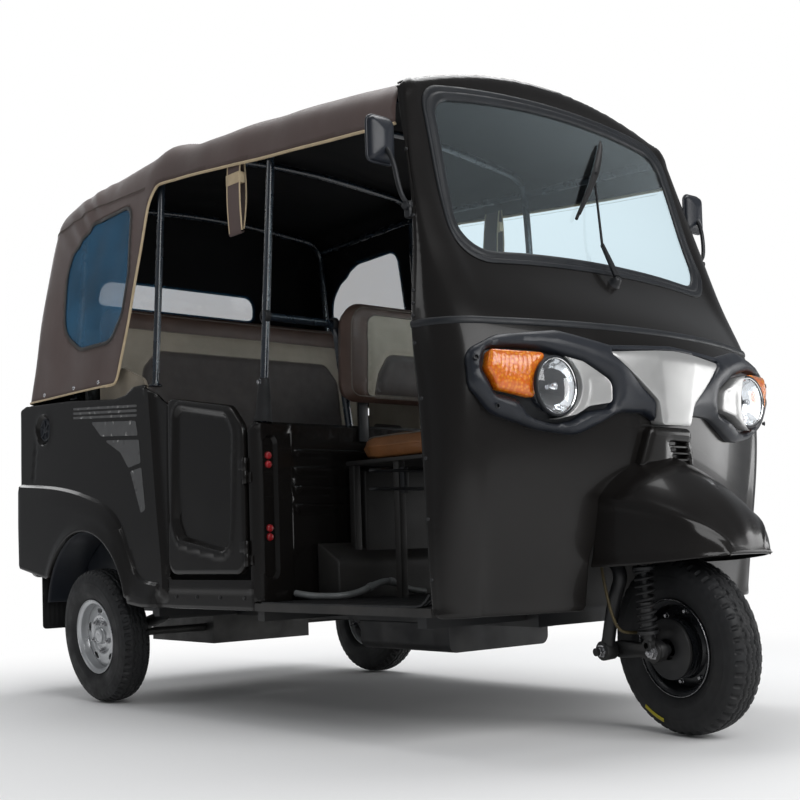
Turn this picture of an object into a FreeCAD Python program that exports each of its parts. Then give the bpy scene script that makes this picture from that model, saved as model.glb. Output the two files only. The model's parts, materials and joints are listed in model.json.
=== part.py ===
import math
import operator
import os

import FreeCAD
import Part
import Sketcher
from FreeCAD import Placement, Rotation, Vector

# Auto rickshaw. Millimetres, +Z up, the front faces -Y, the right-hand side is at -X.
# Stations run backwards from the front axle.

SIZES = [
    # alias, value
    ("front_axle_y", -1292),
    ("wheelbase", 2160),
    ("body_half", 690),
    ("sill_height", 360),
    ("belt_height", 1140),
    ("roof_height", 1990),
    ("partition_station", 1120),
    ("tyre_radius", 247.5),
    ("tyre_width", 118),
    ("rim_radius", 142),
    ("bead_radius", 127),
    ("rear_wheel_x", 655),
    ("camber_deg", 4.5),
    ("steer_rest_deg", 10.6),
    ("steer_rake_deg", 24),
    ("steer_trail", 70),
    ("cowl_wall", 18),
    ("panel_wall", 28),
    ("cloth_wall", 8),
    ("seal_width", 24),
    ("seal_proud", 5),
    ("glass_thickness", 6),
    ("tube_radius", 13),
    ("fit_gap", 0.3),
    ("curved_gap", 1.4),
    ("door_gap", 6),
    ("door_length", 475),
    ("door_wall", 26),
    ("arch_radius", 325),
    ("lamp_radius", 76),
    ("seat_height", 930),
]

doc = FreeCAD.newDocument("AutoRickshaw")
sheet = doc.addObject("Spreadsheet::Sheet", "Dims")


class Size:
    """A length with both its spreadsheet expression and its value."""

    def __init__(self, text, value):
        self.text = text
        self.value = float(value)

    def __add__(self, other):
        other = size(other)
        return Size("(%s + %s)" % (self.text, other.text), self.value + other.value)

    def __sub__(self, other):
        other = size(other)
        return Size("(%s - %s)" % (self.text, other.text), self.value - other.value)

    def __mul__(self, other):
        other = size(other)
        return Size("(%s * %s)" % (self.text, other.text), self.value * other.value)

    def __neg__(self):
        return Size("(0 - %s)" % self.text, -self.value)

    def __radd__(self, other):
        return size(other) + self

    def __rsub__(self, other):
        return size(other) - self

    def __rmul__(self, other):
        return size(other) * self


def size(number):
    if isinstance(number, Size):
        return number
    text = "%.6g" % number
    return Size("(0 - %s)" % text[1:] if number < 0 else text, number)


def val(number):
    return number.value if isinstance(number, Size) else float(number)


D = {}
for row, (alias, value) in enumerate(SIZES, 1):
    sheet.set("A%d" % row, alias)
    sheet.set("B%d" % row, "%g" % value)
    sheet.setAlias("B%d" % row, alias)
    D[alias] = Size("Dims.%s" % alias, value)
doc.recompute()


def front(station):
    """Y of a station measured backwards from the front axle."""
    return D["front_axle_y"] + station


def rear(offset):
    """Y of a place measured backwards from the rear axle."""
    return D["front_axle_y"] + D["wheelbase"] + offset


def mid(offset):
    """Y of a place measured backwards from the partition."""
    return D["front_axle_y"] + D["partition_station"] + offset


def half(inset):
    """X of a place measured inwards from the left body side."""
    return D["body_half"] - inset


def sill(rise):
    return D["sill_height"] + rise


def belt(rise):
    return D["belt_height"] + rise


def roof(drop):
    return D["roof_height"] - drop


NODES = []


def node(thing, label):
    """Marks a document object as a finished sub-part."""
    thing.Label = label
    NODES.append(thing)
    return thing


def place(thing, x, y, z):
    for axis, amount in (("x", x), ("y", y), ("z", z)):
        thing.setExpression("Placement.Base.%s" % axis, size(amount).text)


def box(name, x0, x1, y0, y1, z0, z1):
    """A block between two corners."""
    thing = doc.addObject("Part::Box", name)
    for prop, low, high in (("Length", x0, x1), ("Width", y0, y1), ("Height", z0, z1)):
        thing.setExpression(prop, (size(high) - low).text)
    place(thing, x0, y0, z0)
    return thing


def cylinder(name, radius, height, x, y, z, axis=(0, 0, 1)):
    """A cylinder that starts at a point and runs along an axis."""
    thing = doc.addObject("Part::Cylinder", name)
    thing.Placement = Placement(Vector(0, 0, 0), Rotation(Vector(0, 0, 1), Vector(*axis)))
    thing.setExpression("Radius", size(radius).text)
    thing.setExpression("Height", size(height).text)
    place(thing, x, y, z)
    return thing


def fuse(name, parts):
    thing = doc.addObject("Part::MultiFuse", name)
    thing.Shapes = parts
    thing.Refine = True
    return thing


def cut(name, base, tool):
    thing = doc.addObject("Part::Cut", name)
    thing.Base = base
    thing.Tool = tool if not isinstance(tool, list) else fuse(name + "_tools", tool)
    thing.Refine = True
    return thing


def common(name, base, tool):
    thing = doc.addObject("Part::Common", name)
    thing.Base = base
    thing.Tool = tool
    return thing


def mirror(name, source):
    """The same piece on the other side of the middle plane."""
    thing = doc.addObject("Part::Mirroring", name)
    thing.Source = source
    thing.Normal = Vector(1, 0, 0)
    return thing


def shaped(name, shape):
    thing = doc.addObject("Part::Feature", name)
    thing.Shape = shape
    thing.Placement = Placement(Vector(0, 0, 0), Rotation())
    return thing


PLANES = {
    # axes of the outline, role of the origin plane, True if its normal points backwards
    "xy": ("XY_Plane", False),
    "xz": ("XZ_Plane", True),
    "yz": ("YZ_Plane", False),
}


def rounded(points):
    """Corner points (u, v, radius) as the ends of straight runs: (u, v, radius or None)."""
    runs = []
    count = len(points)
    for i, (u, v, radius) in enumerate(points):
        if not radius:
            runs.append((size(u), size(v), None))
            continue
        here = Vector(val(u), val(v), 0)
        before, after = points[i - 1], points[(i + 1) % count]
        back = (Vector(val(before[0]), val(before[1]), 0) - here).normalize()
        ahead = (Vector(val(after[0]), val(after[1]), 0) - here).normalize()
        reach = radius / math.tan(back.getAngle(ahead) / 2)
        runs.append((size(u) + round(back.x * reach, 4), size(v) + round(back.y * reach, 4), radius))
        runs.append((size(u) + round(ahead.x * reach, 4), size(v) + round(ahead.y * reach, 4), None))
    return runs


def outline(body, name, plane, points, offset=0):
    """A closed sketch of straight runs and rounded corners on one of the body's planes."""
    role, reversed_normal = PLANES[plane]
    sketch = body.newObject("Sketcher::SketchObject", name)
    base = [f for f in body.Origin.OriginFeatures if f.Role == role][0]
    sketch.AttachmentSupport = (base, [""])
    sketch.MapMode = "FlatFace"
    shift = -size(offset) if reversed_normal else size(offset)
    sketch.setExpression("AttachmentOffset.Base.z", shift.text)
    runs = rounded(points)
    count = len(runs)
    edges, pins = [], []
    for i, (u, v, radius) in enumerate(runs):
        nxt = runs[(i + 1) % count]
        a, b = Vector(u.value, v.value, 0), Vector(nxt[0].value, nxt[1].value, 0)
        if radius:
            corner = points_corner(points, runs, i)
            chord = (a + b) * 0.5
            to_corner = (corner - chord).normalize()
            rise = radius - math.sqrt(max(radius**2 - (b - a).Length ** 2 / 4, 0))
            edge = sketch.addGeometry(Part.Arc(a, chord + to_corner * rise, b))
            start = sketch.getPoint(edge, 1)
            first = 1 if (start - a).Length < 1e-4 else 2
            sketch.addConstraint(Sketcher.Constraint("Radius", edge, radius))
        else:
            edge = sketch.addGeometry(Part.LineSegment(a, b))
            first = 1
        edges.append((edge, first))
        pins.append((u, v))
    for (edge, first), (u, v) in zip(edges, pins):
        for kind, amount in (("DistanceX", u), ("DistanceY", v)):
            index = sketch.addConstraint(Sketcher.Constraint(kind, -1, 1, edge, first, amount.value))
            sketch.setExpression("Constraints[%d]" % index, amount.text)
    for i, (edge, first) in enumerate(edges):
        after, after_first = edges[(i + 1) % count]
        sketch.addConstraint(Sketcher.Constraint("Coincident", edge, 3 - first, after, after_first))
    return sketch


def points_corner(points, runs, index):
    """The sharp corner that the rounded run at an index replaces."""
    seen = -1
    for corner in points:
        seen += 1
        if seen == index:
            return Vector(val(corner[0]), val(corner[1]), 0)
        if corner[2]:
            seen += 1
    raise ValueError(index)


def prism(name, plane, points, low, high):
    """A straight block with a rounded outline, between two places on the plane's normal."""
    body = doc.addObject("PartDesign::Body", name)
    start = high if PLANES[plane][1] else low
    sketch = outline(body, name + "_outline", plane, points, start)
    pad = body.newObject("PartDesign::Pad", name + "_pad")
    pad.Profile = sketch
    pad.setExpression("Length", (size(high) - low).text)
    return body


def ring(name, profile, x, y, z, tilt=0):
    """A turned piece about a sideways axle: profile (along the axle, radius, corner radius)."""
    body = doc.addObject("PartDesign::Body", name)
    sketch = outline(body, name + "_profile", "xz", profile)
    turn = body.newObject("PartDesign::Revolution", name + "_turn")
    turn.Profile = sketch
    turn.ReferenceAxis = (sketch, ["H_Axis"])
    turn.Angle = 360
    body.Placement = Placement(Vector(0, 0, 0), Rotation(Vector(0, 1, 0), tilt))
    place(body, x, y, z)
    return body


def tube(path, radius):
    """A round bar along straight runs joined by tangent arcs: path (x, y, z, bend radius)."""
    spots = [Vector(val(x), val(y), val(z)) for x, y, z, bend in path]
    edges, last = [], spots[0]
    for i in range(1, len(spots) - 1):
        here, bend = spots[i], path[i][3]
        back, ahead = (spots[i - 1] - here).normalize(), (spots[i + 1] - here).normalize()
        angle = back.getAngle(ahead)
        reach = bend / math.tan(angle / 2)
        a, b = here + back * reach, here + ahead * reach
        centre = here + (back + ahead).normalize() * (bend / math.sin(angle / 2))
        middle = centre + (here - centre).normalize() * bend
        edges += [Part.LineSegment(last, a).toShape(), Part.Arc(a, middle, b).toShape()]
        last = b
    edges.append(Part.LineSegment(last, spots[-1]).toShape())
    wire = Part.Wire(edges)
    circle = Part.Circle(spots[0], (spots[1] - spots[0]).normalize(), val(radius))
    pipe = Part.BRepOffsetAPI.MakePipeShell(wire)
    pipe.add(Part.Wire([circle.toShape()]))
    pipe.build()
    pipe.makeSolid()
    return pipe.shape()


def tubes(name, paths, radius):
    shape = tube(paths[0], radius)
    for path in paths[1:]:
        shape = shape.fuse(tube(path, radius))
    return shaped(name, shape.removeSplitter())


def loft(sections):
    return Part.makeLoft(sections, True, True)


def largest(shape):
    """The biggest solid of a shape that a cut has split."""
    return sorted(shape.Solids, key=operator.attrgetter("Volume"))[-1]


# ---- Roof: upright cross sections, shared by the cowl's roof and the canopy -----------------

ROOF_SECTIONS = [
    # reference, offset, side inset, edge drop, shoulder drop, crown rise
    (front, 500, 90, 242, 104, 6),
    (mid, 70, 74, 180, 30, 40),
    (rear, -560, 70, 138, 4, 58),
    (rear, -430, 69, 130, -24, 72),
    (rear, -310, 69, 124, -20, 68),
    (rear, 100, 68, 114, 8, 48),
    (rear, 280, 70, 120, 14, 34),
]


ROOF_TURN_RISE, ROOF_TURN = 62, 58


def roof_section(row, inset, drop):
    datum, offset, side, edge, shoulder, crown = row
    y = val(datum(offset))
    w, ze = val(half(side)) - inset, val(roof(edge)) - drop
    zs, zc = val(roof(shoulder)) - inset, val(roof(-crown)) - inset
    low, turn = zs - ROOF_TURN_RISE, ROOF_TURN
    bend = Vector(-w + turn * 0.26, y, zs - ROOF_TURN_RISE * 0.30)
    other = Vector(w - turn * 0.26, y, zs - ROOF_TURN_RISE * 0.30)
    a, b, c = Vector(-w, y, ze), Vector(-w, y, low), Vector(-w + turn, y, zs)
    d, e, f = Vector(w - turn, y, zs), Vector(w, y, low), Vector(w, y, ze)
    return Part.Wire([
        Part.LineSegment(a, b).toShape(), Part.Arc(b, bend, c).toShape(),
        Part.Arc(c, Vector(0, y, zc), d).toShape(), Part.Arc(d, other, e).toShape(),
        Part.LineSegment(e, f).toShape(), Part.LineSegment(f, a).toShape(),
    ])


# ---- Front cowl: plan sections, widest at the waist -------------------------------------

COWL_SECTIONS = [
    # height, side inset, rear edge, side end, corner x inset, corner station, nose station
    (sill(-4), 6, 305, 270, 130, 225, 130),
    (sill(260), -4, 310, 262, 110, 190, 85),
    (belt(-180), -8, 325, 255, 100, 160, 42),
    (belt(0), -6, 342, 305, 130, 178, 73),
    (belt(170), 18, 357, 325, 145, 272, 222),
    (belt(460), 58, 408, 396, 130, 386, 331),
    (roof(120), 100, 492, 474, 160, 462, 430),
    (roof(60), 108, 499, 488, 175, 480, 455),
    (roof(-16), 118, 499.5, 496, 190, 492, 480),
]


def cowl_section(row, outset):
    """One plan outline of the cowl, moved outwards by outset; open cavities run back further."""
    height, side, back, side_end, corner, corner_station, nose = row
    w = val(half(side)) + outset
    c = val(half(corner)) + outset * 0.7
    y_back = val(front(back)) + (120 if outset < 0 else 0)
    y_side, y_corner, y_nose = (
        val(front(side_end)) - outset * 0.5,
        val(front(corner_station)) - outset * 0.8,
        val(front(nose)) - outset,
    )
    z = val(height)
    bow = 0.16 * (w - c)
    mx, my = (w + c) / 2 + bow, (y_side + y_corner) / 2 - min(bow, 0.3 * (y_side - y_corner))
    spots = [
        Vector(-w, y_back, z), Vector(-w, y_side, z), Vector(-mx, my, z), Vector(-c, y_corner, z),
        Vector(0, y_nose, z), Vector(c, y_corner, z), Vector(mx, my, z), Vector(w, y_side, z),
        Vector(w, y_back, z),
    ]
    return Part.Wire([
        Part.LineSegment(spots[0], spots[1]).toShape(),
        Part.Arc(spots[1], spots[2], spots[3]).toShape(),
        Part.Arc(spots[3], spots[4], spots[5]).toShape(),
        Part.Arc(spots[5], spots[6], spots[7]).toShape(),
        Part.LineSegment(spots[7], spots[8]).toShape(),
        Part.LineSegment(spots[8], spots[0]).toShape(),
    ])


def cowl_solid(first, last, outset):
    return loft([cowl_section(row, outset) for row in COWL_SECTIONS[first:last]])


def cowl_cavity(first, last, inset, below, above):
    """The space inside the cowl, run on past its ends so that they stay open."""
    wires = [cowl_section(row, -inset) for row in COWL_SECTIONS[first:last]]
    if below:
        low = wires[0].copy()
        low.translate(Vector(0, 0, -below))
        wires.insert(0, low)
    if above:
        high = wires[-1].copy()
        high.translate(Vector(0, 0, above))
        wires.append(high)
    return loft(wires)


wall = val(D["cowl_wall"])
lower_outer = shaped("lower_cowl_outer", cowl_solid(0, 4, 0))
lower_cavity = shaped("lower_cowl_cavity", cowl_cavity(0, 4, wall, 60, 60))
lower_shell = cut("lower_cowl_shell", lower_outer, lower_cavity)

# Wheel well between the two lower lobes of the cowl.
WELL_HALF, WELL_BACK, WELL_TOP, WELL_WALL = 250, 285, 600, 6
well_block = box("well_block", -WELL_HALF - WELL_WALL, WELL_HALF + WELL_WALL, front(60),
                 front(WELL_BACK + WELL_WALL), sill(-4), WELL_TOP + WELL_WALL)
well_liner = common("well_liner", well_block, lower_outer)
well_space = box("well_space", -WELL_HALF, WELL_HALF, front(-320), front(WELL_BACK), 200, WELL_TOP)

# Steering axis: a raked line through the trail point on the ground.
rake = math.radians(val(D["steer_rake_deg"]))
AXIS = Vector(0, math.sin(rake), math.cos(rake))
FOOT = Vector(0, val(front(0)) - val(D["steer_trail"]), 0)


def on_axis(height):
    """The point of the steering axis at a height."""
    return FOOT + AXIS * (height / AXIS.z)


COLUMN_RADIUS = 22
column_hole = shaped("column_hole", Part.makeCylinder(COLUMN_RADIUS + 0.5, 120, on_axis(560), AXIS))
lower_cowl = node(
    cut("lower_cowl_cut", fuse("lower_cowl_sum", [lower_shell, well_liner]), [well_space, column_hole]),
    "lower_cowl",
)


def roof_arch(inset):
    """The roof's cross section at the front of the canopy, run through the whole cowl."""
    y = val(front(-100))
    arch = Part.Face(roof_section(ROOF_SECTIONS[0], inset, 0))
    arch.translate(Vector(0, y - val(front(ROOF_SECTIONS[0][1])), 0))
    below = val(roof(ROOF_SECTIONS[0][4])) - ROOF_TURN_RISE - inset
    return arch.extrude(Vector(0, 740, 0)).fuse(
        Part.makeBox(1600, 740, below - val(belt(-40)), Vector(-800, y, val(belt(-40)))))


upper_outer = shaped("upper_cowl_outer", cowl_solid(3, 9, 0).common(roof_arch(0)))
upper_cavity = shaped("upper_cowl_cavity", cowl_cavity(3, 9, wall, 0, 0).common(roof_arch(wall)))
upper_shell = cut("upper_cowl_shell", upper_outer, upper_cavity)

# Windscreen opening in front view: bottom edge, corners and arched top.
SCREEN_POINTS = [
    # x inset from body side, height, corner radius
    (118, belt(180), 85),
    (150, roof(130), 110),
]
SCREEN_TOP_RISE, SCREEN_BOTTOM_RISE = 40, 22


def screen_prism(name, inset):
    """The windscreen outline, made smaller all round by an inset, run from front to back."""
    (low_side, low_z, low_r), (top_side, top_z, top_r) = SCREEN_POINTS
    xl, zl = val(half(low_side)) - inset, val(low_z) + inset
    xt, zt = val(half(top_side)) - inset, val(top_z) - inset
    y = val(front(0))
    rt, rl = max(top_r - inset, 20), max(low_r - inset, 20)
    k = 0.3
    spots = {
        "ls": Vector(-xl - (xt - xl) * rl / (zt - zl), y, zl + rl),
        "lsm": Vector(-xl + k * rl, y, zl + k * rl),
        "lb": Vector(-xl + rl, y, zl + 2),
        "b": Vector(0, y, zl + SCREEN_BOTTOM_RISE),
        "rb": Vector(xl - rl, y, zl + 2),
        "rsm": Vector(xl - k * rl, y, zl + k * rl),
        "rs": Vector(xl + (xt - xl) * rl / (zt - zl), y, zl + rl),
        "rt": Vector(xt - (xt - xl) * rt / (zt - zl), y, zt - rt),
        "rtm": Vector(xt - k * rt, y, zt - k * rt),
        "tr": Vector(xt - rt, y, zt),
        "t": Vector(0, y, zt + SCREEN_TOP_RISE),
        "tl": Vector(-xt + rt, y, zt),
        "ltm": Vector(-xt + k * rt, y, zt - k * rt),
        "lt": Vector(-xt + (xt - xl) * rt / (zt - zl), y, zt - rt),
    }

    def arc(a, m, b):
        return Part.Arc(spots[a], spots[m], spots[b]).toShape()

    def line(a, b):
        return Part.LineSegment(spots[a], spots[b]).toShape()

    wire = Part.Wire([
        arc("ls", "lsm", "lb"), arc("lb", "b", "rb"), arc("rb", "rsm", "rs"), line("rs", "rt"),
        arc("rt", "rtm", "tr"), arc("tr", "t", "tl"), arc("tl", "ltm", "lt"), line("lt", "ls"),
    ])
    return Part.Face(wire).extrude(Vector(0, 560, 0))


seal_width = val(D["seal_width"])
opening = shaped("screen_opening", screen_prism("screen_opening", 0))
upper_cowl = node(cut("upper_cowl_cut", upper_shell, opening), "upper_cowl")

proud = val(D["seal_proud"])
seal_band = shaped("seal_band", cowl_solid(3, 9, proud).cut(cowl_cavity(3, 9, wall, 0, 0)))
seal_ring = shaped("seal_ring", screen_prism("ring_outer", 0.6).cut(screen_prism("ring_inner", seal_width)))
windscreen_seal = node(common("windscreen_seal_cut", seal_band, seal_ring), "windscreen_seal")
glass_band = shaped("glass_band", cowl_solid(3, 9, -3).cut(
    cowl_cavity(3, 9, 3 + val(D["glass_thickness"]), 0, 0)))
glass_field = shaped("glass_field", screen_prism("glass_field", seal_width + 0.3))
windscreen = node(common("windscreen_cut", glass_band, glass_field), "windscreen")


# ---- Lamp fascia and nose trim: front-view outlines on the cowl --------------------------

def on_cowl(name, points, inner, outer):
    """A pad on the cowl with a rounded front-view outline, between two outsets."""
    block = prism(name + "_block", "xz", points, front(-80), front(330))
    band = shaped(name + "_band", cowl_solid(0, 5, outer).cut(cowl_solid(0, 5, inner)))
    return common(name + "_pad_on_cowl", block, band)


gap = val(D["fit_gap"])
loose = val(D["curved_gap"])
SNUG = 0.8
FASCIA = [
    # x from the middle, height, corner radius; right-hand half from the middle outwards
    (0, belt(-48), 0),
    (-235, belt(-62), 60),
    (-400, belt(-30), 90),
    (-600, belt(-52), 60),
    (-672, belt(-92), 30),
    (-668, belt(-190), 30),
    (-600, belt(-272), 60),
    (-392, belt(-316), 90),
    (-200, belt(-238), 60),
    (-58, belt(-262), 12),
]
fascia_points = FASCIA + [(-x, z, r) for x, z, r in FASCIA[:0:-1]]
fascia_pad = on_cowl("fascia", fascia_points, loose, 40)
LAMP_X, LAMP_STATION, LAMP_RISE = 436, 66, -178
LAMP_DEPTH = 150


def lamp_bore(name, side):
    return cylinder(name, D["lamp_radius"] + gap, LAMP_DEPTH + 60, side * LAMP_X,
                    front(LAMP_STATION + LAMP_DEPTH + 10), belt(LAMP_RISE), (0, -1, 0))


SIGNAL = [
    (-545, belt(-50), 20), (-626, belt(-56), 25), (-640, belt(-130), 20), (-612, belt(-190), 25),
    (-522, belt(-178), 10), (-508, belt(-110), 10),
]
V_PANEL = [
    (-232, belt(-80), 12), (0, belt(-70), 0), (232, belt(-80), 12), (62, belt(-268), 10),
    (-62, belt(-268), 10),
]


def widened(points, by):
    """An outline made larger all round about its own middle."""
    cx = sum(p[0] for p in points) / len(points)
    cz = sum(val(p[1]) for p in points) / len(points)
    return [(x + math.copysign(by, x - cx), z + math.copysign(by, val(z) - cz), r) for x, z, r in points]


signal_pad = on_cowl("signal", SIGNAL, loose, 46)
signal_hole = on_cowl("signal_hole", widened(SIGNAL, gap), -1, 60)
centre_pad = on_cowl("centre", V_PANEL, loose, 46)
centre_hole = on_cowl("centre_hole", widened(V_PANEL, gap), -1, 60)
fascia_holes = [
    lamp_bore("fascia_bore_right", -1), lamp_bore("fascia_bore_left", 1), signal_hole,
    mirror("signal_hole_left", signal_hole), centre_hole,
]
headlamp_fascia = node(cut("fascia_cut", fascia_pad, fascia_holes), "headlamp_fascia")
centre_panel = node(centre_pad, "centre_panel")
node(signal_pad, "turn_signal_right")
node(mirror("turn_signal_left_mirror", signal_pad), "turn_signal_left")


def headlamp(name):
    """Round lamp: a barrel with a domed lens in front, seated on the cowl."""
    barrel = cylinder(name + "_barrel", D["lamp_radius"], LAMP_DEPTH, -LAMP_X,
                      front(LAMP_STATION + LAMP_DEPTH), belt(LAMP_RISE), (0, -1, 0))
    dome = doc.addObject("Part::Sphere", name + "_dome")
    dome.Radius = 172
    place(dome, -LAMP_X, front(LAMP_STATION - 18 + 172), belt(LAMP_RISE))
    front_part = common(name + "_front", barrel, dome)
    seat = shaped(name + "_seat", cowl_solid(0, 5, loose))
    return cut(name + "_seated", front_part, seat)


lamp_right = headlamp("headlamp")
node(lamp_right, "headlamp_right")
node(mirror("headlamp_left_mirror", lamp_right), "headlamp_left")

NOSE_VENT = [(-92, belt(-276), 14), (92, belt(-276), 14), (118, belt(-388), 16), (-118, belt(-388), 16)]
vent_pad = on_cowl("nose_vent", NOSE_VENT, SNUG, 34)
VENT_SLOTS = [
    # rise of the slot's lower edge below the belt
    -318, -336, -354, -372,
]
vent_slots = [
    box("vent_slot_%d" % i, -6, 88, front(-60), front(35), belt(rise), belt(rise + 9))
    for i, rise in enumerate(VENT_SLOTS, 1)
]
nose_vent = node(cut("nose_vent_cut", vent_pad, vent_slots), "nose_vent")

# Front mudguard: upright cross sections of a hood fixed to the cowl over the front wheel.
MUDGUARD = [
    # station, half width, lip height, shoulder height, ridge height
    (-222, 96, 504, 519, 540),
    (-182, 146, 498, 560, 612),
    (-112, 190, 490, 608, 686),
    (-20, 226, 482, 650, 750),
    (60, 244, 478, 672, 790),
    (170, 252, 474, 690, 830),
]


def hood_section(row, inset, drop):
    station, w, lip, shoulder, ridge = row
    y = val(front(station))
    w, shoulder, ridge, lip = w - inset, shoulder - inset * 0.6, ridge - inset, lip - drop
    a, b = Vector(-w, y, lip), Vector(-w, y, shoulder)
    c, d = Vector(w, y, shoulder), Vector(w, y, lip)
    return Part.Wire([
        Part.LineSegment(a, b).toShape(), Part.Arc(b, Vector(0, y, ridge), c).toShape(),
        Part.LineSegment(c, d).toShape(), Part.LineSegment(d, a).toShape(),
    ])


hood_outer = shaped("hood_outer", loft([hood_section(row, 0, 0) for row in MUDGUARD]))
hood_inner_rows = [(MUDGUARD[0][0] + 12,) + MUDGUARD[0][1:]] + MUDGUARD[1:]
hood_rear = (MUDGUARD[-1][0] + 60,) + MUDGUARD[-1][1:]
hood_inner = shaped("hood_inner", loft([hood_section(row, 7, 40) for row in hood_inner_rows + [hood_rear]]))
hood_shell = cut("hood_shell", hood_outer, hood_inner)
hood_seat = shaped("hood_seat", cowl_solid(0, 5, SNUG))
vent_seat = shaped("vent_seat", cowl_solid(0, 5, 34 + SNUG).common(
    Part.makeBox(240, 260, 130, Vector(-120, val(front(-60)), val(belt(-390))))))
front_mudguard = node(cut("mudguard_cut", hood_shell, [hood_seat, vent_seat]), "front_mudguard")

# ---- Mirrors and wiper -------------------------------------------------------------------

MIRROR_ARM = [
    (-half(66), front(392), belt(330), 0), (-half(20), front(380), belt(345), 25),
    (-half(-6), front(398), belt(470), 25), (-half(-14), front(418), belt(512), 0),
]
mirror_arm = tubes("mirror_arm", [MIRROR_ARM], 7)
mirror_foot = box("mirror_foot", -half(-2), -half(50), front(378), front(400), belt(322), belt(350))
mirror_head = prism("mirror_head", "xz", [
    (-half(34), belt(468), 20), (-half(-58), belt(461), 20), (-half(-64), belt(586), 24),
    (-half(30), belt(590), 24),
], front(410), front(446))
mirror_clear = shaped("mirror_clear", cowl_solid(3, 7, gap))
mirror_sum = fuse("mirror_sum", [mirror_arm, mirror_foot, mirror_head])
mirror_right = cut("mirror_right_cut", mirror_sum, mirror_clear)
node(mirror_right, "mirror_right")
node(mirror("mirror_left_mirror", mirror_right), "mirror_left")


def cowl_nose(height):
    """Station of the cowl's middle line at a height above the belt."""
    rows = COWL_SECTIONS[3:]
    for low, high in zip(rows, rows[1:]):
        z0, z1 = val(low[0]), val(high[0])
        if z0 <= height <= z1:
            return low[6] + (high[6] - low[6]) * (height - z0) / (z1 - z0)
    return rows[-1][6]


def on_screen(x, height, outset):
    """A point in front of the windscreen, its outset measured forwards."""
    z = val(height)
    return Vector(x, val(front(cowl_nose(z) - outset)) + x * x * 0.00017, z)


WIPER_PATH = [on_screen(0, belt(165), 26), on_screen(-4, belt(215), 34), on_screen(30, belt(470), 25)]
wiper_arm = tube([(p.x, p.y, p.z, 20) for p in WIPER_PATH], 5)
BLADE_PATH = [on_screen(-8, belt(330), 24), on_screen(66, belt(610), 24)]
blade = tube([(p.x, p.y, p.z, 0) for p in BLADE_PATH], 7)
boss_seat = Vector(0, val(front(cowl_nose(val(belt(165))))) + 8, val(belt(162)))
boss = Part.makeCylinder(15, 34, boss_seat, Vector(0, -1, 0.4))
wiper_form = boss.fuse([wiper_arm, blade]).cut(cowl_solid(3, 9, gap)).removeSplitter()
wiper = node(shaped("wiper_shape", wiper_form), "wiper")

# ---- Floor, chassis and partition --------------------------------------------------------

FLOOR_HALF = [
    # right-hand half of the floor in plan, from the front to the back
    (-half(36), front(299), 0), (-half(36), front(306), 0), (-half(2), front(306), 0), (-half(2), mid(7), 0),
    (-half(D["panel_wall"] + gap), mid(7), 0), (-half(D["panel_wall"] + gap), mid(680), 0),
]
floor_points = FLOOR_HALF + [(-x, y, r) for x, y, r in FLOOR_HALF[::-1]]
floor_plate = prism("floor_plan", "xy", floor_points, sill(0), sill(24))
TREAD_RISE = 3
floor_tread = box("floor_tread", -half(90), half(90), mid(50), rear(-345), sill(23), sill(24 + TREAD_RISE))
floor_pan = node(fuse("floor_sum", [floor_plate, floor_tread]), "floor_pan")

RAIL_X, RAIL_WIDTH, RAIL_HEIGHT = 260, 60, 50
rails = []
for side_name, side in (("right", -1), ("left", 1)):
    x0 = side * RAIL_X - RAIL_WIDTH / 2
    rails.append(box("rail_" + side_name, x0, x0 + RAIL_WIDTH, front(295), rear(560),
                     sill(-RAIL_HEIGHT - gap), sill(-gap)))
CROSS_MEMBERS = [
    # reference, offset, length along the vehicle
    (front, 300, 50), (mid, -20, 50), (rear, -420, 60), (rear, 520, 40),
]
for i, (datum, offset, length) in enumerate(CROSS_MEMBERS, 1):
    reach = RAIL_X + 20
    rails.append(box("cross_member_%d" % i, -reach, reach, datum(offset), datum(offset + length),
                     sill(-RAIL_HEIGHT - gap), sill(-gap)))
OUTRIGGERS = [
    # reference, offset
    (front, 345), (mid, -20), (rear, -420),
]
for i, (datum, offset) in enumerate(OUTRIGGERS, 1):
    rails.append(box("outrigger_%d" % i, -half(20), half(20), datum(offset), datum(offset + 36),
                     sill(-32), sill(-gap)))
chassis_frame = node(fuse("chassis_sum", rails), "chassis_frame")

PARTITION_TOP = sill(590)
plate = prism("partition_plate", "xz", [
    (-half(2), sill(24) + gap, 0), (half(2), sill(24) + gap, 0), (half(2), PARTITION_TOP, 14),
    (-half(2), PARTITION_TOP, 14),
], mid(-6), mid(6))
PARTITION_RIBS = [
    # rise of the rib's middle above the sill
    194, 255, 322, 380, 440, 497, 536,
]
ribs = [
    box("partition_rib_%d" % i, -half(150), half(150), mid(-18), mid(-6), sill(rise - 13), sill(rise + 13))
    for i, rise in enumerate(PARTITION_RIBS, 1)
]
edges_flange = [
    box("partition_flange_right", -half(2), -half(150), mid(-14), mid(-6), sill(24) + gap, PARTITION_TOP),
    box("partition_flange_left", half(150), half(2), mid(-14), mid(-6), sill(24) + gap, PARTITION_TOP),
]
HINGE_SIDE, HINGE_STATION, KNUCKLE = -6, 32, 9
DOOR_HINGES = [
    # rise of the door's knuckle above the sill
    180, 440,
]
knuckles = []
for i, rise in enumerate(DOOR_HINGES, 1):
    knuckles.append(cylinder("pillar_knuckle_%d" % i, KNUCKLE, 40, -half(HINGE_SIDE), mid(HINGE_STATION),
                             sill(rise - 40.5)))
    knuckles.append(box("pillar_leaf_%d" % i, -half(-4), -half(6), mid(0), mid(HINGE_STATION),
                        sill(rise - 36), sill(rise - 6)))
right_knuckles = fuse("right_knuckles", knuckles)
left_knuckles = mirror("left_knuckles", right_knuckles)
partition_parts = [plate] + ribs + edges_flange + [right_knuckles, left_knuckles]
partition = node(fuse("partition_sum", partition_parts), "partition")

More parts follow.
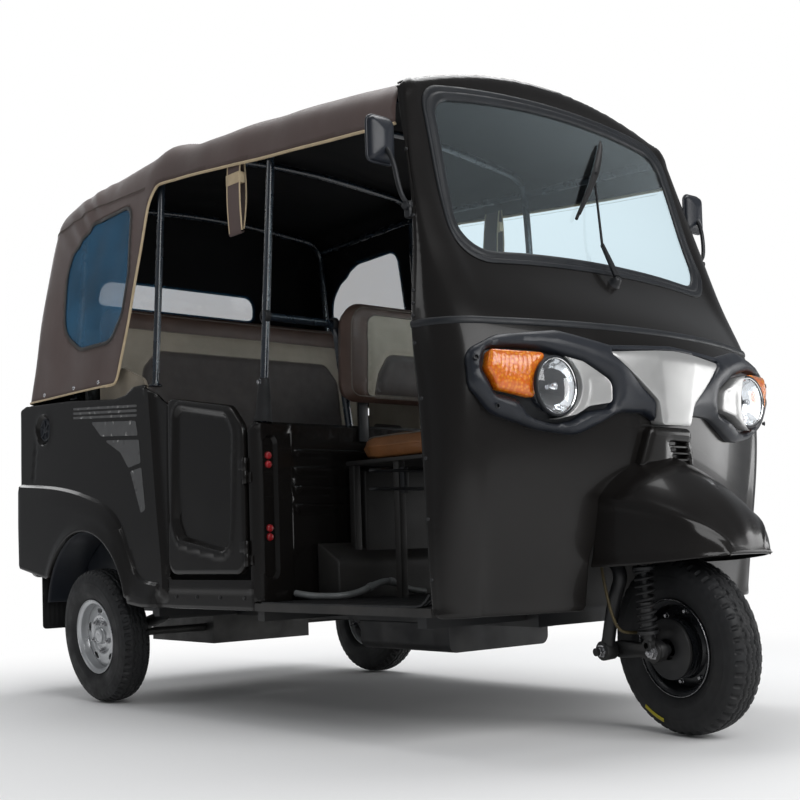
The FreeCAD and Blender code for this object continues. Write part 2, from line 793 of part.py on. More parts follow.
# ---- Tube frame: posts, guard rails and canopy bows ---------------------------------------

RAIL_FOOT_GAP = 2.2
BOW_BEND = 90


def bow(datum, offset, base_inset, base_z, top_inset, drop, crown):
    """A hoop over the cabin: up from both body sides, across under the cloth."""
    y = datum(offset)
    return [
        (-half(base_inset), y, base_z, 0), (-half(top_inset), y, roof(drop), BOW_BEND),
        (0, y, roof(crown), 4000),
        (half(top_inset), y, roof(drop), BOW_BEND), (half(base_inset), y, base_z, 0),
    ]


BOWS = [
    # reference, offset, base inset, base height, top inset, shoulder drop, crown drop
    (mid, 0, 50, PARTITION_TOP + 1, 108, 64, -12),
    (rear, -370, 52, belt(3), 100, 4, -46),
    (rear, 240, 52, belt(18), 116, 64, 20),
]
frame_paths = [bow(*row) for row in BOWS]
SIDE_BARS = [
    # runs on the left-hand side: a roof rail, then a guard rail behind the driver
    [(half(120), front(512), roof(160), 0), (half(101), mid(0), roof(120), 900),
     (half(101), rear(-370), roof(80), 900), (half(112), rear(240), roof(105), 0)],
    [(half(66), mid(0), belt(150), 0), (half(345), mid(0), belt(150), 40),
     (half(393), mid(0), PARTITION_TOP + RAIL_FOOT_GAP, 0)],
]
for side in (-1, 1):
    frame_paths += [[(side * x, y, z, bend) for x, y, z, bend in bar] for bar in SIDE_BARS]
tube_frame = node(tubes("tube_frame_shape", frame_paths, D["tube_radius"]), "tube_frame")

# ---- Seats and dashboard -------------------------------------------------------------------

SEAT = D["seat_height"]
driver_base = fuse("driver_base_sum", [
    box("driver_base_box", -half(255), half(255), mid(-330), mid(-18 - gap), sill(24) + gap, sill(210)),
    box("driver_base_riser", -half(330), half(330), mid(-300), mid(-40), sill(210), SEAT - 100),
])
node(driver_base, "driver_seat_base")
node(prism("driver_cushion", "xy", [
    (-half(320), mid(-500), 70), (-half(320), mid(-40), 40),
    (half(320), mid(-40), 40), (half(320), mid(-500), 70),
], SEAT - 100 + gap, SEAT - 15), "driver_seat_cushion")
node(prism("driver_back", "xz", [
    (-half(285), sill(640), 60), (half(285), sill(640), 60),
    (half(300), sill(965), 80), (-half(300), sill(965), 80),
], mid(-100), mid(-13 - gap)), "driver_backrest")

inner = half(D["panel_wall"] + gap)
bulkhead = fuse("bulkhead_sum", [
    prism("bench_front", "yz", [
        (rear(-300), sill(24) + gap, 0), (rear(-280), sill(24) + gap, 0), (rear(-280), SEAT - 160, 0),
        (rear(60), SEAT - 160, 0), (rear(60), SEAT - 140, 0), (rear(-300), SEAT - 140, 0),
    ], -inner, inner),
    box("bench_back", -inner, inner, rear(100), rear(118), SEAT - 160, SEAT + 480),
    box("bench_shelf", -inner, inner, rear(40), rear(108), SEAT - 160, SEAT - 140),
    box("luggage_deck", -inner, inner, rear(110), rear(596), SEAT - 100, SEAT - 84),
])
node(bulkhead, "rear_bulkhead")
node(prism("bench_cushion", "xy", [
    (-half(60), rear(-330), 50), (-half(60), rear(20), 20), (half(60), rear(20), 20), (half(60), rear(-330), 50),
], SEAT - 140 + gap, SEAT), "passenger_cushion")
node(prism("bench_back_cushion", "xz", [
    (-half(70), SEAT + 12, 30), (half(70), SEAT + 12, 30),
    (half(70), SEAT + 530, 60), (-half(70), SEAT + 530, 60),
], rear(0), rear(100) - gap), "passenger_backrest")

dash_box = box("dash_box", -half(20), half(20), front(60), front(200), belt(-170), belt(-30))
dash_space = shaped("dash_space", cowl_cavity(0, 4, wall + loose, 60, 60))
node(common("dashboard_cut", dash_box, dash_space), "dashboard")

# ---- Body sides, doors, rear end -----------------------------------------------------------

PANEL = D["panel_wall"]
DOOR_FRONT, DOOR_SILL = 44, 108
door_rear = D["door_length"] + DOOR_FRONT
g = D["door_gap"]
QUARTER = [
    (mid(8), sill(0), 0), (mid(8), sill(DOOR_SILL), 0), (mid(door_rear), sill(DOOR_SILL), 10),
    (mid(door_rear - 14), sill(700), 60), (mid(door_rear + 60), sill(770), 40),
    (rear(-240), belt(-28), 30), (rear(585), belt(22), 20), (rear(640), belt(8), 30),
    (rear(640), sill(140), 30), (rear(380), sill(96), 0), (rear(-240), sill(34), 0),
    (mid(680), sill(0), 0),
]
quarter_block = prism("quarter_block", "yz", QUARTER, -half(0), -half(PANEL))
arch_y, arch_z = rear(65), sill(-50)
flare = cylinder("arch_flare", D["arch_radius"] + 22, 60, -half(-30), arch_y, arch_z, (1, 0, 0))
house = cylinder("wheel_house", D["arch_radius"] + 6, 132, -half(0), arch_y, arch_z, (1, 0, 0))
house_low = box("house_low", -half(-60), -half(160), rear(-380), rear(520), -100, sill(30))
arch_space = cylinder("arch_space", D["arch_radius"], 200, -half(-50), arch_y, arch_z, (1, 0, 0))
upper_arch = cut("upper_arch", fuse("arch_sum", [flare, house]), house_low)
quarter_right = cut("quarter_right_cut", fuse("quarter_sum", [quarter_block, upper_arch]), arch_space)
node(quarter_right, "quarter_panel_right")
node(mirror("quarter_left_mirror", quarter_right), "quarter_panel_left")

DOOR = [
    (mid(DOOR_FRONT), sill(DOOR_SILL) + g, 30), (mid(DOOR_FRONT - 2), sill(582), 20),
    (mid(114), sill(655), 30), (mid(door_rear - 50), sill(714), 30),
    (mid(door_rear - 14) - g, sill(700), 30), (mid(door_rear) - g, sill(DOOR_SILL) + g, 30),
]
door_right = prism("door_right_block", "yz", DOOR, -half(0), -half(D["door_wall"]))
door_knuckles = []
for i, rise in enumerate(DOOR_HINGES, 1):
    door_knuckles.append(cylinder("door_knuckle_%d" % i, KNUCKLE, 50, -half(HINGE_SIDE), mid(HINGE_STATION),
                                  sill(rise)))
    door_knuckles.append(box("door_leaf_%d" % i, -half(-8), -half(4), mid(HINGE_STATION),
                             mid(DOOR_FRONT + 20), sill(rise + 5), sill(rise + 45)))
hinge_bar = fuse("door_hinges", door_knuckles)
door_whole = fuse("door_right_sum", [door_right, hinge_bar])
node(door_whole, "door_right")
node(mirror("door_left_mirror", door_whole), "door_left")

HATCH_SIDE, HATCH_LOW, HATCH_HIGH = 190, 190, 600
rear_wall_in = box("rear_wall", -inner, inner, rear(612), rear(634), sill(100), belt(22))
hatch_hole = box("hatch_hole", -half(HATCH_SIDE), half(HATCH_SIDE), rear(590), rear(660),
                 sill(HATCH_LOW), sill(HATCH_HIGH))
wall_frame = cut("rear_wall_cut", rear_wall_in, hatch_hole)
hatch_plate = prism("hatch_plate", "xz", [
    (-half(HATCH_SIDE) + g, sill(HATCH_LOW) + g, 30), (half(HATCH_SIDE) - g, sill(HATCH_LOW) + g, 30),
    (half(HATCH_SIDE) - g, sill(HATCH_HIGH) - g, 0), (-half(HATCH_SIDE) + g, sill(HATCH_HIGH) - g, 0),
], rear(614), rear(640))
HATCH_AXIS_Y, HATCH_AXIS_Z = rear(650), sill(HATCH_HIGH + 4)
HATCH_KNUCKLE = 8
HATCH_KNUCKLES = [
    # middle of the hinge from the middle plane
    -320, 320,
]
hatch_knuckles, wall_knuckles = [], []
for i, x in enumerate(HATCH_KNUCKLES, 1):
    hatch_knuckles.append(cylinder("hatch_knuckle_%d" % i, HATCH_KNUCKLE, 40, x, HATCH_AXIS_Y, HATCH_AXIS_Z,
                                   (1, 0, 0)))
    hatch_knuckles.append(box("hatch_leaf_%d" % i, x + 4, x + 36, rear(639), rear(652),
                              HATCH_AXIS_Z - 40, HATCH_AXIS_Z - 3))
    wall_knuckles.append(cylinder("wall_knuckle_%d" % i, HATCH_KNUCKLE, 40, x - 40.5, HATCH_AXIS_Y, HATCH_AXIS_Z,
                                  (1, 0, 0)))
    wall_knuckles.append(box("wall_leaf_%d" % i, x - 36, x - 4, rear(633), rear(652),
                             HATCH_AXIS_Z + 2, HATCH_AXIS_Z + 40))
node(fuse("rear_panel_sum", [wall_frame] + wall_knuckles), "rear_panel")
node(fuse("rear_hatch_sum", [hatch_plate] + hatch_knuckles), "rear_hatch")
PLATE_HOLE_X, PLATE_HOLE_RADIUS = 90, 3.5
bumper_bar = prism("bumper_bar", "xz", [
    (-half(90), sill(100), 12), (half(90), sill(100), 12),
    (half(90), sill(168), 12), (-half(90), sill(168), 12),
], rear(634) + gap, rear(668))
plate_holes = [
    cylinder("plate_hole_%s" % name, PLATE_HOLE_RADIUS, 60, x, rear(625), sill(134), (0, 1, 0))
    for name, x in (("right", -PLATE_HOLE_X), ("left", PLATE_HOLE_X))
]
node(cut("rear_bumper_cut", bumper_bar, plate_holes), "rear_bumper")
tail_right = prism("tail_lamp_block", "xz", [
    (-half(40), sill(600), 14), (-half(40), sill(770), 14),
    (-half(122), sill(770), 14), (-half(122), sill(600), 14),
], rear(634) + gap, rear(672))
node(tail_right, "tail_lamp_right")
node(mirror("tail_left_mirror", tail_right), "tail_lamp_left")
flap_right = prism("flap_block", "xz", [
    (-half(-20), sill(-100), 10), (-half(-20), sill(130), 0),
    (-half(120), sill(130), 0), (-half(120), sill(-100), 10),
], rear(416), rear(421))
flap = cut("flap_right_cut", flap_right, shaped("flap_seat", Part.makeBox(
    val(PANEL) + 2 * gap, 200, 400, Vector(-val(half(0)) - gap, val(rear(330)), val(sill(60))))))
node(flap, "mudflap_right")
node(mirror("flap_left_mirror", flap), "mudflap_left")

# ---- Canopy ---------------------------------------------------------------------------------

TAIL_SECTIONS = [
    # height, side inset, rear edge, corner radius
    (belt(28), 0, 600, 60),
    (roof(490), 22, 572, 100),
    (roof(180), 52, 530, 130),
    (roof(95), 70, 480, 130),
    (roof(20), 110, 380, 130),
    (roof(-8), 190, 290, 130),
]


def tail_section(row, inset):
    height, side, back, corner = row
    z, w = val(height), val(half(side)) - inset
    y0, y1 = val(rear(-340 if inset == 0 else -420)), val(rear(back)) - inset
    r = corner - inset
    k = r * (1 - math.sqrt(0.5))
    a, b, c = Vector(-w, y0, z), Vector(-w, y1 - r, z), Vector(-w + k, y1 - k, z)
    d, e, f = Vector(-w + r, y1, z), Vector(w - r, y1, z), Vector(w - k, y1 - k, z)
    g1, h = Vector(w, y1 - r, z), Vector(w, y0, z)
    return Part.Wire([
        Part.LineSegment(a, b).toShape(), Part.Arc(b, c, d).toShape(), Part.LineSegment(d, e).toShape(),
        Part.Arc(e, f, g1).toShape(), Part.LineSegment(g1, h).toShape(), Part.LineSegment(h, a).toShape(),
    ])


def tail_solid(inset):
    rows = [tail_section(row, inset) for row in TAIL_SECTIONS]
    if inset:
        low = rows[0].copy()
        low.translate(Vector(0, 0, -40))
        rows = [low] + rows
        rows[-1].translate(Vector(0, 0, -inset))
    return loft(rows)


cloth = val(D["cloth_wall"])
first_row = ROOF_SECTIONS[0]
roof_inner_rows = [(first_row[0], first_row[1] - 60) + first_row[2:]] + ROOF_SECTIONS[1:]
roof_outer = loft([roof_section(row, 0, 0) for row in ROOF_SECTIONS])
roof_inner = loft([roof_section(row, cloth, 60) for row in roof_inner_rows])
tail_outer, tail_inner = tail_solid(0), tail_solid(cloth)
canopy_shell = roof_outer.fuse(tail_outer).cut(roof_inner.fuse(tail_inner))
side_gap = Part.Face(Part.makePolygon([
    Vector(-1000, val(rear(-500)), val(roof(130))), Vector(-1000, val(rear(-336)), val(roof(118))),
    Vector(-1000, val(rear(-236)), val(belt(26))), Vector(-1000, val(rear(-500)), val(belt(26))),
    Vector(-1000, val(rear(-500)), val(roof(130)))])).extrude(Vector(2000, 0, 0))
canopy_shape = largest(canopy_shell.cut(side_gap))
canopy_form = shaped("canopy_form", canopy_shape)

WINDOW = [
    # quarter window in side view
    (rear(-272), roof(168), 40), (rear(60), roof(168), 60), (rear(210), roof(240), 60),
    (rear(222), roof(450), 50), (rear(60), roof(670), 60), (rear(-175), roof(680), 40),
]
window_block = prism("window_block", "yz", WINDOW, -half(-60), -half(150))
window_hole_left = mirror("window_hole_left", window_block)
REAR_WINDOW = [
    (-half(330), roof(420), 40), (half(330), roof(420), 40), (half(330), roof(308), 52),
    (-half(330), roof(308), 52),
]
rear_window_block = prism("rear_window_block", "xz", REAR_WINDOW, rear(400), rear(640))
node(cut("canopy_cut", canopy_form, [window_block, window_hole_left, rear_window_block]), "canopy")
film_band = shaped("film_band", tail_solid(2).cut(tail_solid(6)))
quarter_window = common("quarter_window_cut", film_band, window_block)
node(quarter_window, "quarter_window_right")
node(mirror("quarter_window_left_mirror", quarter_window), "quarter_window_left")
node(common("rear_window_cut", film_band, rear_window_block), "rear_window")

# ---- Steered front end ----------------------------------------------------------------------


def steered(name, shape):
    """A piece built straight ahead, then turned about the steering axis to its parked angle."""
    thing = doc.addObject("Part::Feature", name)
    thing.Shape = shape
    turn = Placement(Vector(0, 0, 0), Rotation(AXIS, -val(D["steer_rest_deg"])), FOOT)
    thing.Placement = turn.multiply(shape.Placement)
    return thing


half_width = D["tyre_width"] * 0.5
R, RIM_R, BEAD = D["tyre_radius"], D["rim_radius"], D["bead_radius"]
TYRE_HALF = [
    # along the axle from the middle, radius, corner radius; from the tread to the bead
    (half_width * 0.55, R, 14), (half_width * 0.86, R - 14, 10), (half_width, R - 55, 20),
    (half_width - 6, RIM_R + 12, 20), (half_width * 0.72, RIM_R - 3, 0), (half_width * 0.72, BEAD + gap, 0),
]
TYRE = [(-u, v, r) for u, v, r in TYRE_HALF[::-1]] + TYRE_HALF
tyre_probe = ring("tyre_probe", TYRE, 0, 0, 0)
doc.recompute()


def lift_for(turn, height):
    """How far an axle rises so that its turned tyre just touches the ground."""
    shape = tyre_probe.Shape.copy()
    shape.Placement = turn.multiply(Placement(Vector(0, 0, height), Rotation()).multiply(shape.Placement))
    return -shape.optimalBoundingBox(False, False).ZMin


y_axle, r_tyre = val(front(0)), val(D["tyre_radius"])
steer_turn = Placement(Vector(0, 0, 0), Rotation(AXIS, -val(D["steer_rest_deg"])),
                       FOOT + Vector(0, -y_axle, 0))
FRONT_LIFT = round(lift_for(steer_turn, r_tyre), 3)
camber_turn = Placement(Vector(0, 0, 0), Rotation(Vector(0, 1, 0), val(D["camber_deg"])),
                        Vector(0, 0, r_tyre))
REAR_LIFT = round(lift_for(camber_turn, r_tyre), 3)
axle_z = r_tyre + FRONT_LIFT
print("lifts", FRONT_LIFT, REAR_LIFT)
ARM_X = -128
column = Part.makeCylinder(COLUMN_RADIUS, 455, on_axis(535), AXIS)
crown = Part.makeBox(190, 56, 26, Vector(-150, on_axis(520).y - 30, 520))
strut = tube([
    (ARM_X, on_axis(520).y + 5, 530, 0), (ARM_X - 10, y_axle + 120, 400, 60),
    (ARM_X - 12, y_axle + 174, 246, 0),
], 20)
pivot_boss = Part.makeCylinder(28, 40, Vector(ARM_X - 32, y_axle + 174, 246), Vector(1, 0, 0))
link_bore = Part.makeCylinder(12.3, 80, Vector(ARM_X - 60, y_axle + 174, 246), Vector(1, 0, 0))
shock_ear = Part.makeBox(36, 60, 30, Vector(ARM_X - 18, y_axle - 40, 516)).fuse(
    Part.makeBox(36, on_axis(520).y - y_axle + 10, 22, Vector(ARM_X - 18, y_axle - 20, 524)))
fork_shape = column.fuse([crown, strut, pivot_boss, shock_ear]).cut(link_bore).removeSplitter()
node(steered("steering_fork_shape", fork_shape), "steering_fork")

STUB_RADIUS = 16
arm_beam = Part.makeBox(20, 190, 44, Vector(ARM_X + 10, y_axle - 8, 226))
LINK_PIN_RADIUS = 12
arm_pin = Part.makeCylinder(LINK_PIN_RADIUS, 58, Vector(ARM_X - 36, y_axle + 174, 246), Vector(1, 0, 0))
stub = Part.makeCylinder(STUB_RADIUS, 128, Vector(ARM_X + 12, y_axle, axle_z), Vector(1, 0, 0))
hub_plate = Part.makeCylinder(86, 8, Vector(ARM_X + 60, y_axle, axle_z), Vector(1, 0, 0))
shock_pin = Part.makeCylinder(9, 46, Vector(ARM_X - 14, y_axle + 8, 262), Vector(1, 0, 0))
link_shape = arm_beam.fuse([arm_pin, stub, hub_plate, shock_pin]).removeSplitter()
node(steered("link_arm_shape", link_shape), "link_arm")

shock_body = Part.makeCylinder(30, 170, Vector(ARM_X - 2, y_axle + 4, 310)).fuse([
    Part.makeCylinder(13, 240, Vector(ARM_X - 2, y_axle + 4, 275)),
    Part.makeCylinder(19, 20, Vector(ARM_X - 13, y_axle + 8, 262), Vector(1, 0, 0))])
shock_shape = shock_body.cut(fork_shape.fuse(arm_beam)).cut(
    Part.makeCylinder(9 + gap, 60, Vector(ARM_X - 30, y_axle + 8, 262), Vector(1, 0, 0)))
node(steered("front_shock_shape", largest(shock_shape)), "front_shock")

BAR_REACH = 300
bar_mid = on_axis(935)
bar_shape = tube([
    (-BAR_REACH, bar_mid.y + 60, bar_mid.z + 20, 0), (-150, bar_mid.y + 20, bar_mid.z + 12, 60),
    (150, bar_mid.y + 20, bar_mid.z + 12, 60), (BAR_REACH, bar_mid.y + 60, bar_mid.z + 20, 0),
], 12).fuse([
    Part.makeCylinder(34, 60, on_axis(920), AXIS),
    Part.makeCylinder(17, 120, Vector(-BAR_REACH, bar_mid.y + 60, bar_mid.z + 20), Vector(150, -40, -8)),
    Part.makeCylinder(17, 120, Vector(BAR_REACH, bar_mid.y + 60, bar_mid.z + 20), Vector(-150, -40, -8)),
])
bar_shape = bar_shape.cut(Part.makeCylinder(COLUMN_RADIUS + gap, 500, on_axis(500), AXIS)).removeSplitter()
node(steered("handlebar_shape", bar_shape), "handlebar")

BRAKE_CABLE = [
    (-151, y_axle + 125, 533, 0), (-192, y_axle + 112, 533, 18), (-192, y_axle + 74, 300, 42),
    (ARM_X + 60 - gap, y_axle + 62, 300, 0),
]
CABLE_RADIUS = 5
node(steered("brake_cable_shape", tube(BRAKE_CABLE, CABLE_RADIUS)), "brake_cable")

# ---- Wheels ---------------------------------------------------------------------------------

RIM = [
    # along the axle (outer side positive), radius, corner radius
    (half_width * -0.72 - 6, RIM_R - 4, 0), (half_width * -0.72 - 0.5, RIM_R - 4, 0),
    (half_width * -0.72 - 0.5, BEAD, 0), (half_width * 0.72 + 0.5, BEAD, 0),
    (half_width * 0.72 + 0.5, RIM_R - 4, 0), (half_width * 0.72 + 6, RIM_R - 4, 0),
    (half_width * 0.72, BEAD - 7, 0), (8, BEAD - 7, 0), (8, 62, 0), (14, 40, 0), (14, 16.3, 0), (2, 16.3, 0),
    (2, 62, 0), (0, 96, 0), (0, BEAD - 7, 0), (half_width * -0.72, BEAD - 7, 0),
]
RIM_HOLES, RIM_HOLE_CIRCLE = 8, 86


def wheel(name, x, y, z, tilt, side):
    """Tyre and drilled steel rim about a sideways axle; side is the outer side, -1 or 1."""
    tyre = ring(name + "_tyre_body", TYRE, x, y, z, tilt)
    rim = ring(name + "_rim_body", [(side * size(u), v, r) for u, v, r in RIM], 0, 0, 0)
    holes = []
    for i in range(RIM_HOLES):
        turn = 2 * math.pi * i / RIM_HOLES
        hole = doc.addObject("Part::Cylinder", "%s_hole_%d" % (name, i + 1))
        hole.Radius, hole.Height = 11, 60
        spot = Vector(-30, RIM_HOLE_CIRCLE * math.cos(turn), RIM_HOLE_CIRCLE * math.sin(turn))
        hole.Placement = Placement(spot, Rotation(Vector(0, 0, 1), Vector(1, 0, 0)))
        holes.append(hole)
    drilled = cut(name + "_rim_drilled", rim, holes)
    drilled.Placement = Placement(Vector(0, 0, 0), Rotation(Vector(0, 1, 0), tilt))
    place(drilled, x, y, z)
    return tyre, drilled


camber = val(D["camber_deg"])
rear_axle_z = D["tyre_radius"] + REAR_LIFT
for side_name, side in (("right", -1), ("left", 1)):
    tyre, rim = wheel("rear_" + side_name, side * D["rear_wheel_x"], rear(0), rear_axle_z, side * camber, side)
    node(tyre, "rear_tyre_" + side_name)
    node(rim, "rear_rim_" + side_name)
front_tyre, front_rim = wheel("front", 0, front(0), size(axle_z), 0, 1)
for thing, label in ((front_tyre, "front_tyre"), (front_rim, "front_rim")):
    doc.recompute()
    node(steered(label + "_steered", thing.Shape), label)

# ---- Rear running gear ----------------------------------------------------------------------

drum_tilt = math.radians(camber)
ARM_SIDE, ARM_REACH, CARRIER_END = 562, 320, 112
PIVOT_SIDE = RAIL_X + RAIL_WIDTH / 2 + gap
for side_name, side in (("right", -1), ("left", 1)):
    xw = side * val(D["rear_wheel_x"])
    zw, yw = val(rear_axle_z), val(rear(0))
    inward = Vector(-side * math.cos(drum_tilt), 0, math.sin(drum_tilt))
    centre = Vector(xw, yw, zw)
    knee = Vector(side * ARM_SIDE, yw - ARM_REACH, val(sill(-26)))
    shape = Part.makeCylinder(92, 34, centre + inward * 6, inward).fuse([
        Part.makeCylinder(STUB_RADIUS, 60, centre - inward * 14, inward),
        Part.makeCylinder(40, CARRIER_END - 38, centre + inward * 38, inward),
        Part.makeCylinder(24, ARM_SIDE + 22 - PIVOT_SIDE, Vector(side * PIVOT_SIDE, knee.y, knee.z),
                          Vector(side, 0, 0)),
        tube([(knee.x, knee.y, knee.z, 0), (side * ARM_SIDE, yw + 8, zw + 8, 0)], 22),
    ])
    node(shaped("trailing_arm_%s_shape" % side_name, shape.removeSplitter()), "trailing_arm_" + side_name)

ENGINE_SIDE = RAIL_X - RAIL_WIDTH / 2 - gap
SHAFT_REACH = D["rear_wheel_x"] - CARRIER_END - 3
engine = fuse("engine_sum", [
    box("engine_box", -ENGINE_SIDE, ENGINE_SIDE, rear(-70), rear(400), D["tyre_radius"] - 60, sill(200)),
    cylinder("drive_shaft_right", 15, SHAFT_REACH, 0, rear(0), rear_axle_z, (-1, 0, 0)),
    cylinder("drive_shaft_left", 15, SHAFT_REACH, 0, rear(0), rear_axle_z, (1, 0, 0)),
])
node(engine, "engine_block")
node(prism("tank_block", "xz", [
    (-225, sill(-150), 30), (225, sill(-150), 30), (225, sill(-51), 10), (-225, sill(-51), 10),
], mid(-380), mid(60)), "fuel_tank")

# ---- Export --------------------------------------------------------------------------------

doc.recompute()
bad = []
for thing in doc.Objects:
    if "Invalid" in thing.State or "Error" in thing.State:
        bad.append("%s: %s" % (thing.Name, thing.State))
for thing in NODES:
    if thing.Shape.isNull() or not thing.Shape.isValid() or len(thing.Shape.Solids) != 1:
        bad.append("%s: bad shape, %d solids" % (thing.Label, len(thing.Shape.Solids)))
if bad:
    raise RuntimeError("; ".join(bad))
os.makedirs("parts", exist_ok=True)
for thing in NODES:
    thing.Shape.exportStep("parts/%s.step" % thing.Label)
    print(thing.Label, round(thing.Shape.Volume / 1e6, 3))
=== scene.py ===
import json
import math

import bmesh
import bpy
import numpy as np
from mathutils import Matrix, Vector, geometry


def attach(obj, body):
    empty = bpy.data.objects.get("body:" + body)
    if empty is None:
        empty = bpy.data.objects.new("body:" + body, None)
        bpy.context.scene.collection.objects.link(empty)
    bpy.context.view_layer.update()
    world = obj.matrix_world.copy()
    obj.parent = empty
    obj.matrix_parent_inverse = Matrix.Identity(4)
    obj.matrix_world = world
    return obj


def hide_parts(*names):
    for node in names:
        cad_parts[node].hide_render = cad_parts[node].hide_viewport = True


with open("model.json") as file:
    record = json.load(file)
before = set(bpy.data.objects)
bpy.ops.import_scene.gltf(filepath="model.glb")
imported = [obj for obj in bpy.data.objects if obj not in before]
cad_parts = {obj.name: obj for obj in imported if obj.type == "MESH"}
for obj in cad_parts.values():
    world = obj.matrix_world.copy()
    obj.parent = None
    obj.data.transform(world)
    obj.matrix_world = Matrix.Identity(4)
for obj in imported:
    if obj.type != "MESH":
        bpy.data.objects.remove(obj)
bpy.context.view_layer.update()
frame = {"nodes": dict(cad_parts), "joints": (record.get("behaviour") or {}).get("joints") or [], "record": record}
scene = bpy.context.scene
nodes = frame["nodes"]
joints = {joint["name"]: joint for joint in frame["joints"]}

# ---- Datums, in metres: heights and stations the pieces are placed from ------------------

WHEELBASE, PARTITION_STATION = 2.16, 1.12
REAR_AXLE = joints["rear_wheel_right_spin"]["pos_m"][1]
FRONT_AXLE = REAR_AXLE - WHEELBASE
# The body's half width, then the heights of its sill, belt line and roof.
HALF, SILL, BELT, ROOF = 0.69, 0.36, 1.14, 1.99
X, Y, Z, FORWARD = (1, 0, 0), (0, 1, 0), (0, 0, 1), (0, -1, 0)
SIDES = (("right", -1), ("left", 1))


def front(station):
    """The y of a place given by its distance behind the front axle."""
    return FRONT_AXLE + station


def mid(offset):
    """The y of a place given by its distance behind the partition."""
    return FRONT_AXLE + PARTITION_STATION + offset


def rear(offset):
    """The y of a place given by its distance behind the rear axle."""
    return REAR_AXLE + offset


def mm(*rows):
    """Rows given in millimetres, as metres."""
    return [tuple(value / 1000 for value in row) for row in rows]


# ---- Small numeric tools -----------------------------------------------------------------

BATCH = 4000  # points compared with an outline in one go


def ease(t):
    """A smooth step from 0 to 1, flat at both ends."""
    t = np.clip(t, 0, 1)
    return t * t * (3 - 2 * t)


def bump(d, width):
    """A smooth hump, 1 at d = 0 and 0 beyond the width."""
    return ease(1 - np.abs(d) / width)


def unit(v):
    """Vectors brought to length 1."""
    v = np.asarray(v, float)
    return v / np.maximum(np.linalg.norm(v, axis=-1, keepdims=True), 1e-12)


def cubic(knots, values, at):
    """Natural cubic spline through values (rows at the knots), evaluated at the given places."""
    knots, values, at = np.asarray(knots, float), np.asarray(values, float), np.asarray(at, float)
    n = len(knots)
    h = np.diff(knots)
    shape = (-1,) + (1,) * (values.ndim - 1)
    system, right = np.eye(n), np.zeros(values.shape)
    for i in range(1, n - 1):
        system[i, i - 1:i + 2] = h[i - 1], 2 * (h[i - 1] + h[i]), h[i]
        right[i] = 6 * ((values[i + 1] - values[i]) / h[i] - (values[i] - values[i - 1]) / h[i - 1])
    second = np.linalg.solve(system, right.reshape(n, -1)).reshape(values.shape)
    k = np.clip(np.searchsorted(knots, at) - 1, 0, n - 2)
    a = ((knots[k + 1] - at) / h[k]).reshape(shape)
    b = ((at - knots[k]) / h[k]).reshape(shape)
    step = h[k].reshape(shape)
    return (a * values[k] + b * values[k + 1]
            + ((a ** 3 - a) * second[k] + (b ** 3 - b) * second[k + 1]) * step ** 2 / 6)


def blurred(points, spread):
    """Rows smoothed along the first axis, with both ends kept."""
    points = np.asarray(points, float)
    reach = int(3 * spread + 1)
    weights = np.exp(-0.5 * (np.arange(-reach, reach + 1) / spread) ** 2)
    weights /= weights.sum()
    head = 2 * points[0] - points[reach:0:-1]
    tail = 2 * points[-1] - points[-2:-reach - 2:-1]
    padded = np.concatenate([head, points, tail])
    return sum(w * padded[i:i + len(points)] for i, w in enumerate(weights))


def looped(line):
    """A closed outline written as a line that ends where it starts."""
    return np.vstack([line, line[:1]])


def run_along(points):
    """The length along a polyline up to each of its points."""
    return np.concatenate([[0], np.cumsum(np.linalg.norm(np.diff(points, axis=0), axis=1))])


def resampled(points, count):
    """A polyline resampled to a count of evenly spread points."""
    run = run_along(points)
    at = np.linspace(0, run[-1], count)
    return np.stack([np.interp(at, run, points[:, i]) for i in range(points.shape[1])], 1)


def spaced(points, step, closed=False):
    """A polyline resampled at an even step."""
    points = np.asarray(points, float)
    if closed:
        points = looped(points)
    count = max(int(round(run_along(points)[-1] / step)), 3)
    made = resampled(points, count + 1)
    return made[:-1] if closed else made


def around(count):
    """Evenly spread angles round a circle."""
    return np.linspace(0, 2 * math.pi, count, endpoint=False)


def circle(turn, radius):
    """Points on a circle round the origin at the given angles."""
    return radius * np.stack([np.cos(turn), np.sin(turn)], 1)


def rounded(corners, step=0.006, closed=True):
    """An outline with round corners from rows of (u, v, radius)."""
    corners = [tuple(c) + (0,) * (3 - len(c)) for c in corners]
    made = []
    n = len(corners)
    for i, (u, v, r) in enumerate(corners):
        here = np.array([u, v])
        if not closed and i in (0, n - 1) or r <= 0:
            made.append(here)
            continue
        before, after = np.array(corners[i - 1][:2]), np.array(corners[(i + 1) % n][:2])
        a, b = unit(before - here), unit(after - here)
        half = math.acos(max(-1, min(1, float(a @ b)))) / 2
        if abs(half - math.pi / 2) < 1e-3:
            made.append(here)
            continue
        cut = min(r / math.tan(half), 0.48 * np.linalg.norm(before - here),
                  0.48 * np.linalg.norm(after - here))
        r = cut * math.tan(half)
        centre = here + unit(a + b) * (r / math.sin(half))
        p, q = here + a * cut - centre, here + b * cut - centre
        turn = math.atan2(p[0] * q[1] - p[1] * q[0], float(p @ q))
        for t in np.linspace(0, 1, 9):
            c, s = math.cos(turn * t), math.sin(turn * t)
            made.append(centre + np.array([p[0] * c - p[1] * s, p[0] * s + p[1] * c]))
    return spaced(np.array(made), step, closed)


def rect(low, high, low_r, high_r, step):
    """A rectangle's outline, with one corner radius below and another above."""
    (x0, z0), (x1, z1) = low, high
    return rounded([(x0, z0, low_r), (x1, z0, low_r), (x1, z1, high_r), (x0, z1, high_r)], step)


